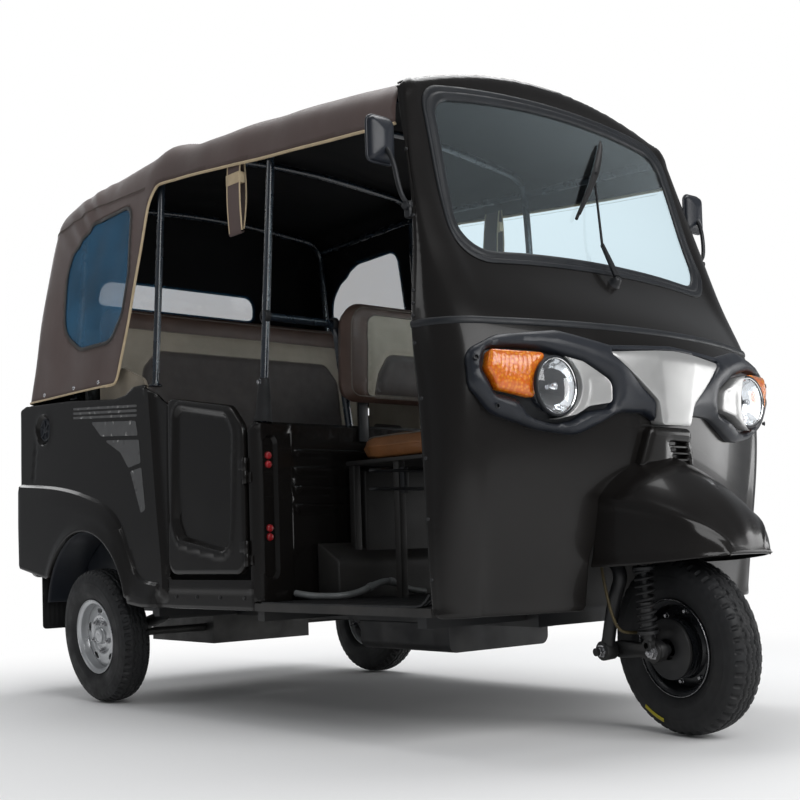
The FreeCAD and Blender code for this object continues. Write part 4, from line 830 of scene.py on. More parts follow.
def cowl_at(x, z):
    """The (u, v) of the cowl seen from the front at x and a height."""
    x, z = np.atleast_1d(np.asarray(x, float)), np.atleast_1d(np.asarray(z, float))
    rows = cubic(heights, plans[:, :, 0], z)
    u = np.array([np.interp(a, np.maximum.accumulate(r), cowl_u) for a, r in zip(x, rows)])
    return np.stack([u, z], 1)


def on_cowl(outline):
    return cowl_at(outline[:, 0], outline[:, 1])


# The roof's cross section at the front of the canopy, as height over x.
ARCH_HALF, ARCH_SHOULDER, ARCH_CROWN = HALF - 0.09, ROOF - 0.104, ROOF - 0.014
BEND_WIDE, BEND_HIGH = 0.058, 0.062  # the bend from the roof down into its side


def roof_arch():
    w, zs = ARCH_HALF, ARCH_SHOULDER
    bend = arc_through((w, zs - BEND_HIGH), (w - BEND_WIDE * 0.26, zs - BEND_HIGH * 0.3), (w - BEND_WIDE, zs), 20)
    top = arc_through((w - BEND_WIDE, zs), (0, ARCH_CROWN), (-w + BEND_WIDE, zs), 121)
    return np.vstack([top[60::-1], bend[-2::-1], [[w, zs - 0.3]]])


arch_line = roof_arch()


def arch_height(x):
    line = arch_line[:-1]
    return np.interp(np.abs(x), line[:, 0], line[:, 1])


def upper_skin():
    """The cowl's upper wall turned over at the top into its cap, which runs back to the canopy."""
    zs = np.arange(BELT - 0.012, ROOF + 0.014, 0.004)
    wall = cowl_wall(zs)
    reach = 0.06
    vs = np.arange(zs[0], zs[-1] + reach, 0.004)
    points = np.zeros((len(cowl_u), len(vs), 3))
    tops = []
    for i, column in enumerate(wall):
        above = np.nonzero(column[:, 2] > arch_height(column[:, 0]) - 0.002)[0]
        stop = above[0] if len(above) and abs(column[above[0], 0]) < ARCH_HALF - 0.004 else len(zs) - 1
        tops.append(zs[stop])
        head = column[:stop + 1]
        end = np.array([head[-1, 0], front(0.512), arch_height(head[-1, 0]) - 0.001])
        extra = len(vs) - len(head)
        run = np.minimum(np.arange(1, extra + 1) * 0.004 / max(end[1] - head[-1, 1], 0.004), 1.0)[:, None]
        tail = head[-1] * (1 - run) + end * run
        line = np.vstack([head, tail])
        points[i] = blurred(line, 2.2)
    return Skin(cowl_u, vs, points), np.array(tops)


UPPER_SKIN, upper_tops = upper_skin()


def upper_top(u):
    return np.interp(u, cowl_u, upper_tops)


def screen_outline(inset):
    """The windscreen opening in front view, made smaller by an inset."""
    xl, zl = HALF - 0.118 - inset, BELT + 0.18 + inset
    xt, zt = HALF - 0.15 - inset, ROOF - 0.13 - inset
    top = arc_through((-xt, zt), (0, zt + 0.04), (xt, zt), 15)
    low = arc_through((xl, zl), (0, zl + 0.022), (-xl, zl), 15)
    corners = [(*p, 0.0) for p in top[2:-2]]
    line = ([(-xl, zl, max(0.125 - inset, 0.02)), (-xt, zt, max(0.11 - inset, 0.02))] + corners
            + [(xt, zt, max(0.11 - inset, 0.02)), (xl, zl, max(0.125 - inset, 0.02))]
            + [(*p, 0.0) for p in low[3:-3]])
    return rounded(line, 0.01)


def sheer(u):
    """Distance from the cowl's rear edges."""
    return COWL_END - np.abs(u)


def rear_lip(u):
    """The rolled lip down the cowl's rear edges."""
    return 0.003 * bump(sheer(u) - 0.008, 0.01) - 0.0022 * bump(sheer(u) - 0.021, 0.006)


def lip_lines(low, high):
    """Lines that let the mesh follow the rolled lip between two heights."""
    return [np.stack([np.full(60, s * (COWL_END - d)), np.linspace(low, high, 60)], 1)
            for s in (-1, 1) for d in (0.004, 0.012, 0.018, 0.024)]


def upper_height(uv):
    u, v = uv[:, 0], uv[:, 1]
    brow = 0.003 * bump(v - upper_top(u) + 0.03, 0.03) * (np.abs(u) < 0.75)
    return rear_lip(u) + brow


def cowl_pieces():
    top_u = np.linspace(-COWL_END, COWL_END, 121)
    outline = np.vstack([
        np.stack([top_u, np.full_like(top_u, BELT - 0.002)], 1),
        np.stack([top_u, upper_top(top_u) + np.where(np.abs(top_u) > 0.735, 0.004, 0.044)], 1)[::-1], ])
    hole = on_cowl(screen_outline(0.004))
    form = Form()
    panel(form, outline, UPPER_SKIN, upper_height, [hole], lip_lines(BELT, 1.84), step=0.015,
          thickness=0.0028, edge=0.0025, back_slot=1)
    form.make("upper_cowl_skin", "vehicle", [M["paint"], M["inner"]], "body_paint", ["upper_cowl"])

    def lower_height(uv):
        return rear_lip(uv[:, 0]) + 0.0025 * bump(uv[:, 1] - SILL - 0.006, 0.012)

    half_well = 0.256
    left, right = cowl_at(-half_well, 0.4)[0, 0], cowl_at(half_well, 0.4)[0, 0]
    bottom = SILL - 0.003
    outline = rounded([
        (-COWL_END, bottom, 0.035), (left, bottom, 0.02), (left, 0.6, 0.11), (right, 0.6, 0.11),
        (right, bottom, 0.02), (COWL_END, bottom, 0.035), (COWL_END, BELT + 0.002, 0),
        (-COWL_END, BELT + 0.002, 0), ], 0.01)
    form = Form()
    panel(form, outline, COWL_SKIN, lower_height, lines=lip_lines(SILL, BELT), step=0.015,
          thickness=0.0028, edge=0.0025, back_slot=1)
    # Wheel well: the two inner walls, the back and the roof, as one bent sheet.
    well = rounded([(-half_well, SILL - 0.002, 0), (-half_well, 0.6, 0.05), (half_well, 0.6, 0.05),
                    (half_well, SILL - 0.002, 0)], 0.02, closed=False)
    depth = np.linspace(0, 1, 12)
    rows = []
    for x, z in well:
        uv = cowl_at(x, z)
        lead = COWL_SKIN.raised(uv, -0.004)[0]
        rows.append(np.stack([np.full(12, x), lead[1] + (front(0.288) - lead[1]) * depth, np.full(12, z)], 1))
    form.grid(np.array(rows), slot=1)
    back = np.array([[[x, front(0.288), z] for z in np.linspace(SILL - 0.002, 0.6, 8)]
                     for x in np.linspace(-half_well, half_well, 12)])
    form.grid(back, slot=1, flip=True)
    form.make("lower_cowl_skin", "vehicle", [M["paint"], M["inner"]], "body_paint", ["lower_cowl"])

    # Screws down both rear edges.
    form = Form()
    for s in (-1, 1):
        for z in (0.46, 0.62, 0.78, 0.94, 1.09, 1.165, 1.2, 1.235, 1.45, 1.65):
            spot = UPPER_SKIN if z > BELT else COWL_SKIN
            uv = np.array([[s * (COWL_END - 0.01), z]])
            lathe(form, mm((-2, 5.5), (1.2, 5.2), (2.6, 3.6), (3, 0.1)),
                  spot.raised(uv, 0.002)[0], spot.facing(uv)[0], 12)
    form.make("cowl_screws", "vehicle", M["iron"], "black_metal")

    # Rubber strip over the joint at the waist.
    form = Form()
    turn = np.linspace(-math.pi / 2, math.pi / 2, 11)
    us = np.linspace(-COWL_END + 0.001, COWL_END - 0.001, 200)
    rows = []
    for t in turn:
        v = np.full_like(us, BELT + 0.002) + 0.0105 * np.sin(t)
        rows.append(COWL_SKIN.lift(us, v, -0.001 + 0.0062 * np.cos(t) * np.ones_like(us)))
    form.grid(np.array(rows).transpose(1, 0, 2))
    form.make("belt_strip", "vehicle", M["seal"], "seal")


def screen_pieces():
    middle = screen_outline(0.0)
    inner = screen_outline(0.037)
    uv_out, uv_in = on_cowl(middle), on_cowl(spaced(inner, 0.01, True))
    # Pair each outer point with the nearest inner one along the ring.
    near = np.array([uv_in[np.argmin(((uv_in - p) ** 2).sum(1))] for p in uv_out])
    near = 0.5 * near + 0.25 * (np.roll(near, 1, 0) + np.roll(near, -1, 0))
    form = Form()
    # Share of the way from the outer ring to the inner one, and height over the cowl.
    profile = [(-0.1, -0.004), (-0.1, 0.0025), (0.02, 0.005), (0.12, 0.0056), (0.22, 0.0046), (0.3, 0.0022),
               (0.36, 0.002), (0.44, 0.0046), (0.56, 0.0056), (0.72, 0.005), (0.88, 0.003), (1.0, -0.001),
               (1.0, -0.009)]
    rows = []
    for share, h in profile:
        uv = uv_out * (1 - share) + near * share
        rows.append(UPPER_SKIN.raised(uv, h))
    form.grid(np.array(rows), round_v=True)
    form.make("screen_seal", "vehicle", M["seal"], "seal", ["windscreen_seal"], sharp=60)
    form = Form()
    panel(form, on_cowl(screen_outline(0.032)), UPPER_SKIN, -0.0035, step=0.03, thickness=0.005, edge=0)
    form.make("screen_glass", "vehicle", M["glass"], "glass", ["windscreen"])


cowl_pieces()
screen_pieces()

# ---- Nose: lamp bezel, lamps, silver V, vent and mudguard ---------------------------------

LAMP_X, LAMP_Z, LAMP_Y = 0.436, BELT - 0.178, front(0.066)
LID_R = 0.0835  # inner radius of the silver piece round a lamp


def from_belt(rows, side=1):
    """Front-view outline rows given as x, rise from the waist and corner radius."""
    rows = [(side * x, BELT + z, r) for x, z, r in rows]
    return rows if side > 0 else rows[::-1]


# Front-view outlines on the nose: x, height over the belt line, corner radius.
EYE = mm((540, -78, 20), (606, -82, 20), (620, -135, 20), (592, -194, 20), (524, -212, 30), (490, -258, 50),
         (420, -274, 50), (366, -264, 30), (322, -240, 20), (238, -228, 20), (232, -158, 35),
         (335, -108, 30), (400, -94, 40), (470, -80, 40))
EYELID = mm((430, -98, 10), (345, -112, 20), (247, -160, 25), (244, -214, 12), (322, -226, 20),
            (368, -250, 20), (436, -266, 10))
BLINKER = mm((448, -94, 10), (602, -88, 12), (614, -135, 14), (588, -188, 14), (486, -210, 10),
             (484, -180, 20), (470, -130, 30))
VEE = mm((-236, -78, 6), (-236, -86, 6), (-150, -150, 60), (-78, -205, 40), (-63, -268, 10), (63, -268, 10),
         (78, -205, 40), (150, -150, 60), (236, -86, 6), (236, -78, 6), (0, -68, 0))
BEZEL = mm((0, -48), (235, -60, 60), (400, -28, 120), (575, -46, 80), (648, -86, 40), (650, -180, 50),
           (600, -246, 80), (470, -290, 120), (352, -306, 100), (205, -240, 70), (110, -238, 40), (55, -262, 12))


def bezel():
    half = [tuple(row) + (0,) * (3 - len(row)) for row in BEZEL]
    both = [(-x, z, r) for x, z, r in half] + half[:0:-1]
    outline = on_cowl(rounded(from_belt(both), 0.008))
    eyes = [on_cowl(rounded(from_belt(EYE, s), 0.006)) for s in (-1, 1)]
    vee = on_cowl(rounded(from_belt(VEE), 0.006))

    def height(uv):
        x = COWL_SKIN.on(uv)[:, 0]
        rim = np.minimum(distance(uv, eyes[0]), distance(uv, eyes[1]))
        out = distance(uv, outline)
        crown = 0.012 * ease(np.minimum(out, rim + 0.01) / 0.045)
        dip = 0.01 * bump(np.abs(x) - 0.16, 0.12) * ease((BELT - 0.1 - uv[:, 1]) / 0.1)
        return 0.03 + crown - dip

    form = Form()
    panel(form, outline, COWL_SKIN, height, eyes + [vee], step=0.01, thickness=0.04, edge=0.014)
    form.make("lamp_bezel", "vehicle", M["trim"], "trim_black", ["headlamp_fascia"], sharp=42)
    # Dark beds behind the lamps, and two fixing eyes a side.
    form = Form()
    for s in (-1, 1):
        panel(form, on_cowl(rounded(from_belt(EYE, s), 0.01)), COWL_SKIN,
              0.008, step=0.02, thickness=0.004, edge=0, back=False)
        for x, z in ((0.632, -0.112), (0.59, -0.232)):
            uv = cowl_at(s * x, BELT + z)
            p = COWL_SKIN.raised(uv, 0.04)[0]
            lathe(form, mm((1.5, 7.5), (3, 6.8), (2.6, 5), (-4, 4.6), (-4, 0.1)),
                  p, COWL_SKIN.facing(uv)[0], 20)
    form.make("lamp_beds", "vehicle", M["seal"], "trim_black")


def vee_plate():
    outline = on_cowl(rounded(from_belt(VEE), 0.006))

    def height(uv):
        x = np.abs(COWL_SKIN.on(uv)[:, 0])
        drop = np.clip((BELT - 0.078 - uv[:, 1]) / 0.19, 0, 1)
        flat_half = 0.088 - 0.03 * drop
        wing = np.clip(x - flat_half, 0, 1)
        top = np.clip((uv[:, 1] - (BELT - 0.098)) / 0.022, 0, 1)
        side = np.clip((x - flat_half + 0.01) / 0.01, 0, 1)
        return 0.047 - 0.1 * wing - 0.007 * top * top - 0.0015 * ease(side)

    creases = []
    for s in (-1, 1):
        line = np.array([(s * (0.088 - 0.03 * t), BELT - 0.078 - 0.19 * t) for t in np.linspace(0.05, 0.98, 30)])
        creases.append(on_cowl(line))
    form = Form()
    panel(form, outline, COWL_SKIN, height, lines=creases, step=0.008, thickness=0.04, edge=0.004)
    form.make("nose_vee", "vehicle", M["silver"], "silver", ["centre_panel"], sharp=28)


def blinkers():
    for name, s in SIDES:
        outline = on_cowl(rounded(from_belt(BLINKER, s), 0.004))

        def height(uv):
            ribs = 0.0007 * np.cos(uv[:, 0] * 2 * math.pi / 0.0125)
            return 0.046 + 0.006 * ease(distance(uv, outline) / 0.035) + ribs * (distance(uv, outline) > 0.012)

        form = Form()
        panel(form, outline, COWL_SKIN, height, step=0.004, thickness=0.04, edge=0.009)
        form.make("blinker_" + name, "vehicle", M["amber"], "amber", ["turn_signal_" + name])


def lamps():
    turn = around(96)
    for name, s in SIDES:
        centre = np.array([s * LAMP_X, LAMP_Y, LAMP_Z])
        # Reflector: a bowl of fluted facets round the bulb, with its barrel behind.
        form = Form()
        rows = []
        for r in np.linspace(0.01, 0.0715, 22):
            facet = 0.0011 * np.abs(np.sin(turn * 9)) * ease((r - 0.012) / 0.03) + 0.0006 * math.sin(r * 420)
            deep = 0.052 * (1 - (r / 0.0715) ** 2) + facet
            rows.append(np.stack([centre[0] + r * np.cos(turn), centre[1] + 0.002 + deep,
                                  centre[2] + r * np.sin(turn)], 1))
        form.grid(np.array(rows), round_v=True, flip=True)
        lathe(form, mm((4, 71.5), (6, 74.2), (-30, 75.5), (-50, 70), (-64, 30), (-66, 10)), centre, FORWARD, 64)
        form.make("lamp_bowl_" + name, "vehicle", M["chrome"], "lamp", ["headlamp_" + name])
        form = Form()
        lathe(form, mm((-50, 11), (-40, 11), (-36, 7.5), (-14, 7.2), (-6, 6), (-4, 0.1)), centre, FORWARD, 24)
        lathe(form, mm((-20, 8.6), (-2, 9.2), (0.5, 7), (1, 0.1)), centre, FORWARD, 24)
        form.make("lamp_bulb_" + name, "vehicle", M["steel"], "lamp")
        form = Form()
        profile = [(0.0165 - 0.0125 * (r / 0.0735) ** 2, max(r, 0.0001)) for r in np.linspace(0, 0.0735, 16)]
        inner = [(0.0135 - 0.0125 * (r / 0.0735) ** 2, max(r, 0.0001)) for r in np.linspace(0.0725, 0, 16)]
        lathe(form, profile + inner, centre, FORWARD, 96)
        form.make("lamp_lens_" + name, "vehicle", M["lens"], "lamp")
        form = Form()
        ring = mm((-6, 80), (2, 81.2), (5.5, 80.2), (7, 77.5), (6, 74.5), (3, 73.2), (-6, 73.4))
        lathe(form, ring, centre, FORWARD, 96, flip=True)
        form.make("lamp_ring_" + name, "vehicle", M["seal"], "trim_black")
        # Silver piece on the inner side of the lamp.
        middle = np.array([s * LAMP_X, LAMP_Z])
        lid = rounded(from_belt(EYELID, s), 0.005)
        lid = lid[~inside(lid, middle + circle(turn, LID_R))]
        away = unit(lid - middle)
        gap = np.linalg.norm(lid - middle, axis=1)
        lid = np.where((gap < LID_R)[:, None], middle + away * LID_R, lid)
        # Close the outline along the lamp's own circle.
        step = np.linalg.norm(np.roll(lid, -1, 0) - lid, axis=1)
        k = int(np.argmax(step))
        lid = np.roll(lid, -k - 1, 0)
        t0 = math.atan2(*(lid[-1] - middle)[::-1])
        t1 = math.atan2(*(lid[0] - middle)[::-1])
        sweep = (t1 - t0) % (2 * math.pi)
        if sweep > math.pi:
            sweep -= 2 * math.pi
        arc = t0 + sweep * np.linspace(0, 1, 26)[1:-1]
        lid = np.vstack([lid, middle + circle(arc, LID_R)])
        outline = on_cowl(lid)

        def height(uv):
            p = COWL_SKIN.on(uv)
            r = np.hypot(p[:, 0] - s * LAMP_X, p[:, 2] - LAMP_Z)
            step_down = 0.0032 * ease((r - 0.105) / 0.012) * ease((BELT - 0.15 - p[:, 2]) / 0.012 + 0.2)
            return 0.047 - 0.078 * np.clip(r - LID_R, 0, 0.12) - step_down

        form = Form()
        panel(form, outline, COWL_SKIN, height, step=0.008, thickness=0.032, edge=0.004)
        form.make("lamp_eyelid_" + name, "vehicle", M["silver"], "silver", sharp=35)


def nose_vent():
    corners = mm((-90, -274, 20), (90, -274, 20), (122, -388, 10), (-122, -388, 10))
    outline = on_cowl(rounded(from_belt(corners), 0.006))
    slots = []
    for k in range(4):
        z = -0.3135 - 0.018 * k
        left = 0.01 * k
        slots.append(on_cowl(rounded(from_belt([(left, z - 0.009, 0.003),
                (0.08 + 0.005 * k, z - 0.009, 0.003),
                                                (0.08 + 0.005 * k, z, 0.003), (left - 0.008, z, 0.003)]), 0.004)))

    def height(uv):
        x = COWL_SKIN.on(uv)[:, 0]
        blister = ease((x + 0.03) / 0.04) * ease((0.11 - x) / 0.02)
        window = ease((BELT - 0.298 - uv[:, 1]) / 0.014)
        return 0.026 + 0.004 * ease(distance(uv, outline) / 0.02) - 0.006 * blister * window

    form = Form()
    panel(form, outline, COWL_SKIN, height, slots, step=0.006, thickness=0.03, edge=0.008)
    form.make("vent_panel", "vehicle", M["paint"], "body_paint", ["nose_vent"], sharp=40)


# Station, half width, and the heights of the lip, the shoulder and the ridge.
HOOD = mm((-222, 96, 504, 519, 540), (-182, 146, 498, 560, 612), (-112, 190, 490, 608, 686),
          (-20, 226, 482, 650, 750), (60, 244, 478, 672, 790), (170, 252, 474, 690, 830))


def hood_line(row):
    """Half of one cross section from the ridge down to the lip."""
    _, w, lip, shoulder, ridge = row
    top = arc_through((w, shoulder), (0, ridge), (-w, shoulder), 81)[:41][::-1]
    side = np.linspace((w, shoulder), (w + 0.002, lip), 24)[1:]
    return spaced(blurred(np.vstack([top, side]), 3.0), 0.004)


def mudguard():
    stations = [row[0] for row in HOOD]
    fine = cubic(stations, np.array([row[1:] for row in HOOD]), np.linspace(stations[0], stations[-1], 60))
    count = 46
    lines = []
    for station, row in zip(np.linspace(stations[0], stations[-1], 60), fine):
        half = hood_line((station,) + tuple(row))
        half = resampled(half, count)
        lines.append(np.stack([half[:, 0], np.full(count, front(station)), half[:, 1]], 1))
    lines = np.array(lines)
    # The nose of the hood turns down to the lip.
    first = lines[0].copy()
    first[:, 2] = np.minimum(first[:, 2], 0.504)
    first[:, 0] *= 0.96
    lines = np.vstack([first[None], lines])
    columns = []
    for j in range(count):
        column = lines[:, j]
        uv = cowl_at(column[:, 0], column[:, 2])
        wall_y = COWL_SKIN.on(uv)[:, 1]
        deep = column[:, 1] - wall_y
        over = np.nonzero(deep > 0.001)[0]
        stop = over[0] if len(over) else len(column) - 1
        kept_part = column[:stop + 1].copy()
        if len(over) and stop > 0:
            share = (0.001 - deep[stop - 1]) / (deep[stop] - deep[stop - 1])
            kept_part[-1] = column[stop - 1] + share * (column[stop] - column[stop - 1])
        columns.append(resampled(blurred(kept_part, 1.6), 70))
    half = np.array(columns)
    both = np.concatenate([(half * [-1, 1, 1])[:0:-1], half])
    us = np.linspace(-0.38, 0.38, len(both))
    vs = np.linspace(0, 0.42, 70)
    skin = Skin(us, vs, both)
    outline = rect((-0.38, 0.0), (0.38, 0.42), 0.02, 0.0, 0.008)
    outline = np.clip(outline, [-0.3799, 0.0001], [0.3799, 0.4199])

    def height(uv):
        side = 0.38 - np.abs(uv[:, 0])
        roll = 0.0035 * bump(side - 0.006, 0.012) + 0.0035 * bump(uv[:, 1] - 0.006, 0.012)
        crease = 0.004 * bump(np.abs(uv[:, 0]) - 0.232, 0.03) * ease(uv[:, 1] / 0.1)
        spine = 0.003 * bump(uv[:, 0], 0.1) * ease(uv[:, 1] / 0.12)
        return roll + crease + spine - 0.004

    form = Form()
    panel(form, outline, skin, height, step=0.01, thickness=0.004, edge=0.002, back_slot=1)
    form.make("mudguard_hood", "vehicle", [M["paint"], M["inner"]], "body_paint", ["front_mudguard"])


# ---- Mirrors and wiper --------------------------------------------------------------------

def mirrors():
    for name, s in SIDES:
        arm = smooth_path([(s * (HALF - 0.058), front(0.396), BELT + 0.336),
                           (s * (HALF - 0.03), front(0.384), BELT + 0.342),
                           (s * (HALF - 0.004), front(0.384), BELT + 0.372), (s * (HALF + 0.006),
                                   front(0.398), BELT + 0.47),
                           (s * (HALF + 0.014), front(0.43), BELT + 0.512)], 0.006, 3)
        form = Form()
        tube(form, arm, 0.0068, 16)
        foot = np.array([s * (HALF - 0.04), front(0.388), BELT + 0.336])
        lathe(form, mm((-4, 15), (6, 14.6), (12, 10.5), (26, 9.8), (30, 0.1)), foot, (s, -0.35, 0), 24)
        lathe(form, mm((-8, 10.5), (8, 10.5), (14, 6.8), (14.5, 0.1)),
              arm[-1] + np.array([0, -0.004, 0]), (0, 0.2, 1), 20)
        block(form, foot - [0.012, 0.014, 0.03], foot + [0.012, 0.01, 0.016], 0.005)
        form.make("mirror_arm_" + name, "vehicle", M["iron"], "trim_black")
        x0, x1 = sorted((s * (HALF - 0.032), s * (HALF + 0.061)))
        z0, z1 = BELT + 0.462, BELT + 0.59
        outline = rect((x0, z0), (x1, z1), 0.018, 0.022, 0.005)
        shell = plane_y(front(0.442), -1)

        def dome(uv):
            return 0.006 + 0.023 * np.sqrt(np.clip(distance(uv, outline) / 0.04, 0, 1))

        form = Form()
        panel(form, outline, shell, dome, step=0.006, thickness=0.004, edge=0.006)
        rim = spaced(outline, 0.005, True)
        tube(form, np.stack([rim[:, 0], np.full(len(rim), front(0.441)), rim[:, 1]], 1), 0.0042, 10, closed=True)
        form.make("mirror_shell_" + name, "vehicle", M["trim"], "trim_black", ["mirror_" + name])
        form = Form()
        panel(form, moved_in(outline, 0.003), plane_y(front(0.4425), 1),
              lambda uv: 0.0022 * ease(distance(uv,
                      outline) / 0.05), step=0.01, thickness=0.002, edge=0.0008, flip=True)
        form.make("mirror_glass_" + name, "vehicle", M["chrome"], "glass")


def on_screen(x, z, h):
    uv = cowl_at(x, z)
    return UPPER_SKIN.raised(uv, h)[0]


def wiper():
    pivot = on_screen(0.0, BELT + 0.166, 0.0)
    out = UPPER_SKIN.normal(*cowl_at(0.0, BELT + 0.166).T)[0]
    form = Form()
    lathe(form, mm((-4, 21), (2, 20.5), (5, 17), (10, 16.5), (22, 12.5), (26, 9.5), (27.5, 0.1)), pivot, out, 32)
    head = on_screen(0.0, BELT + 0.172, 0.024)
    knee = on_screen(0.006, BELT + 0.285, 0.026)
    tip = on_screen(0.062, BELT + 0.524, 0.02)
    for a, b, w0, w1, h in ((head, knee, 0.013, 0.005, 0.006), (knee, tip, 0.004, 0.0026, 0.0035)):
        rows = []
        ts = np.linspace(0, 1, 14)
        along = unit(b - a)
        side = unit(np.cross(along, out))
        for t in ts:
            p, w = a + (b - a) * t, w0 + (w1 - w0) * t
            turn = around(14)
            rows.append(p + side * (w * np.sign(np.cos(turn)) * np.abs(np.cos(turn)) ** 0.6)[:, None]
                        + out * (h * np.sign(np.sin(turn)) * np.abs(np.sin(turn)) ** 0.6)[:, None])
        form.grid(np.array(rows), round_v=True, flip=True)
        for end, order in ((0, 1), (-1, -1)):
            form.add(rows[end], [tuple(range(14))[::order]])
    form.make("wiper_arm", "vehicle", M["iron"], "trim_black", ["wiper"])
    # Blade: a carrier with two bows and the rubber lip that lies on the glass.
    x0, z0, x1, z1 = -0.055, BELT + 0.372, 0.186, BELT + 0.672
    t = np.linspace(0, 1, 40)
    lip = np.array([on_screen(x0 + (x1 - x0) * k, z0 + (z1 - z0) * k, 0.0055) for k in t])
    spine = np.array([on_screen(x0 + (x1 - x0) * k, z0 + (z1 - z0) * k,
                                0.0095 + 0.01 * math.sin(math.pi * k)) for k in t])
    form = Form()
    tube(form, lip, 0.0052, 8)
    tube(form, spine[2:-2], 0.0046 + 0.0054 * np.sin(math.pi * t[2:-2]) * ease((t[2:-2] - 0.1) / 0.5), 10)
    for k in (0.06, 0.3, 0.7, 0.94):
        i = int(k * 39)
        tube(form, [lip[i], spine[i]], 0.0032, 8)
    tube(form, [spine[19] - out * 0.004, spine[20] + out * 0.01], 0.0075, 14)
    form.make("wiper_blade", "vehicle", M["rubber"], "trim_black")


bezel()
vee_plate()
blinkers()
lamps()
nose_vent()
mudguard()
mirrors()
wiper()

# ---- Canopy: one curved sheet of coated cloth ----------------------------------------------

ROOF_ROWS = np.array([
    # y, half width, skirt height, shoulder height, crown height
    (front(0.5), 0.6, -0.242, -0.104, -0.012),
    (mid(0.07), 0.616, -0.18, -0.032, 0.032),
    (rear(-0.56), 0.62, -0.138, -0.01, 0.048),
    (rear(-0.44), 0.621, -0.13, 0.02, 0.066),
    (rear(-0.4), 0.621, -0.129, 0.022, 0.068),
    (rear(-0.34), 0.621, -0.127, 0.004, 0.06),
    (rear(0.1), 0.622, -0.114, -0.014, 0.044),
    (rear(0.28), 0.62, -0.12, -0.03, 0.026),
    (rear(0.36), 0.616, -0.12, -0.06, -0.02),
    (rear(0.44), 0.606, -0.12, -0.11, -0.085),
    (rear(0.6), 0.59, -0.12, -0.2, -0.18), ])
ROOF_ROWS[:, 2:] += ROOF
roof_fine_y = np.linspace(ROOF_ROWS[0, 0], ROOF_ROWS[-1, 0], 320)
roof_fine = blurred(np.stack([np.interp(roof_fine_y, ROOF_ROWS[:, 0],
                                        ROOF_ROWS[:, k]) for k in range(1, 5)], 1), 2.6)

TAIL = np.array([
    # height, side inset from the body side, rear edge, corner radius
    (BELT + 0.026, 0.0, 0.598, 0.075), (1.32, 0.01, 0.568, 0.085), (1.5, 0.02, 0.54, 0.095),
    (1.75, 0.044, 0.492, 0.105), (1.85, 0.058, 0.466, 0.11), (1.96, 0.072, 0.42, 0.11), ])
HEM, HEM_V = BELT + 0.026, 0.0015  # the hem's height, and where it lies on the sheet
CORNER = 0.11 * math.pi / 2
SIDE_END, REAR_RUN = rear(0.47), 0.53
CANOPY_U = REAR_RUN + CORNER + (SIDE_END - front(0.492))
CANOPY_V, V_ROWS = 1.42, 119


def roof_at(y):
    """Half width, skirt, shoulder and crown heights of the roof at y."""
    return [np.interp(y, roof_fine_y, roof_fine[:, k]) for k in range(4)]


def roof_height(x, y):
    half_width, _, shoulder, crown = roof_at(y)
    share = np.abs(x) / (half_width - BEND_WIDE)
    sag = 0.0045 * np.sin(np.clip((y - front(0.5)) / (mid(0.0) - front(0.5)), 0, 1) * math.pi)
    return crown + (shoulder - crown) * share ** 2 - sag * (1 - share ** 2)


def tail_plan(u, z):
    """Plan point of the canopy's wall at a height; u runs from the middle of the back to the front left."""
    inset, back, radius = (np.interp(z, TAIL[:, 0], TAIL[:, k]) for k in (1, 2, 3))
    w = HALF - inset
    if u > REAR_RUN + CORNER:
        y = SIDE_END - (u - REAR_RUN - CORNER)
        blend_to = float(ease((y - rear(-0.25)) / (SIDE_END - rear(-0.25))))
        y = y + (rear(back) - radius - SIDE_END) * blend_to
        front_w = float(np.interp(y, roof_fine_y, roof_fine[:, 0]))
        share = float(ease((y - rear(-0.55)) / 0.2))
        return np.array([w * share + front_w * (1 - share) if y < rear(-0.33) else w, y])
    if u > REAR_RUN:
        t = (u - REAR_RUN) / CORNER * math.pi / 2
        return np.array([w - radius + radius * math.sin(t), rear(back) - radius + radius * math.cos(t)])
    bow = 0.012 * (1 - (u / REAR_RUN) ** 2) * math.sin(math.pi * min(max((z - HEM) / 0.75, 0), 1))
    return np.array([(w - radius) * u / REAR_RUN, rear(back) - bow * 0.5])


def spine_at(u):
    """Where the sheet's column at u reaches the middle line of the roof."""
    knots = [0, REAR_RUN, REAR_RUN + CORNER, REAR_RUN + CORNER + 0.45, CANOPY_U]
    ys = [rear(0.2), rear(0.16), rear(0.1), rear(-0.04), front(0.492)]
    return float(np.interp(u, knots, ys))


def canopy_column(u):
    wall_end = tail_plan(u, 1.9)
    y = wall_end[1]
    shoulder = roof_at(y)[2]
    behind = u < REAR_RUN + CORNER
    top = float(min(shoulder - 0.012, 1.9) if behind else shoulder - 0.05)
    zs = np.arange(HEM, top, 0.012)
    wall = np.array([[*tail_plan(u, z), z] for z in zs])
    last, goal = wall[-1, :2], np.array([0.0, spine_at(u)])
    if not behind and y < rear(-0.33):
        last = np.array([float(roof_at(y)[0]), y])
    t = np.linspace(0, 1, 60)[1:]
    reach = np.linalg.norm(goal - last)
    plan = last + (goal - last) * t[:, None]
    inset = BEND_WIDE / max(reach, 0.1)
    plan = plan[t > inset * 0.6]
    over = np.stack([plan[:, 0], plan[:, 1], [float(roof_height(p[0], p[1])) for p in plan]], 1)
    line = spaced(np.vstack([wall, over]), 0.0125)
    line = blurred(line, 2.6)
    return spaced(line, np.linalg.norm(np.diff(line, axis=0), axis=1).sum() / (V_ROWS - 1))[:V_ROWS]


canopy_us = np.concatenate([np.arange(0, REAR_RUN + CORNER, 0.016),
                            np.arange(REAR_RUN + CORNER, CANOPY_U, 0.022), [CANOPY_U]])
canopy_vs = np.linspace(0, CANOPY_V, V_ROWS)


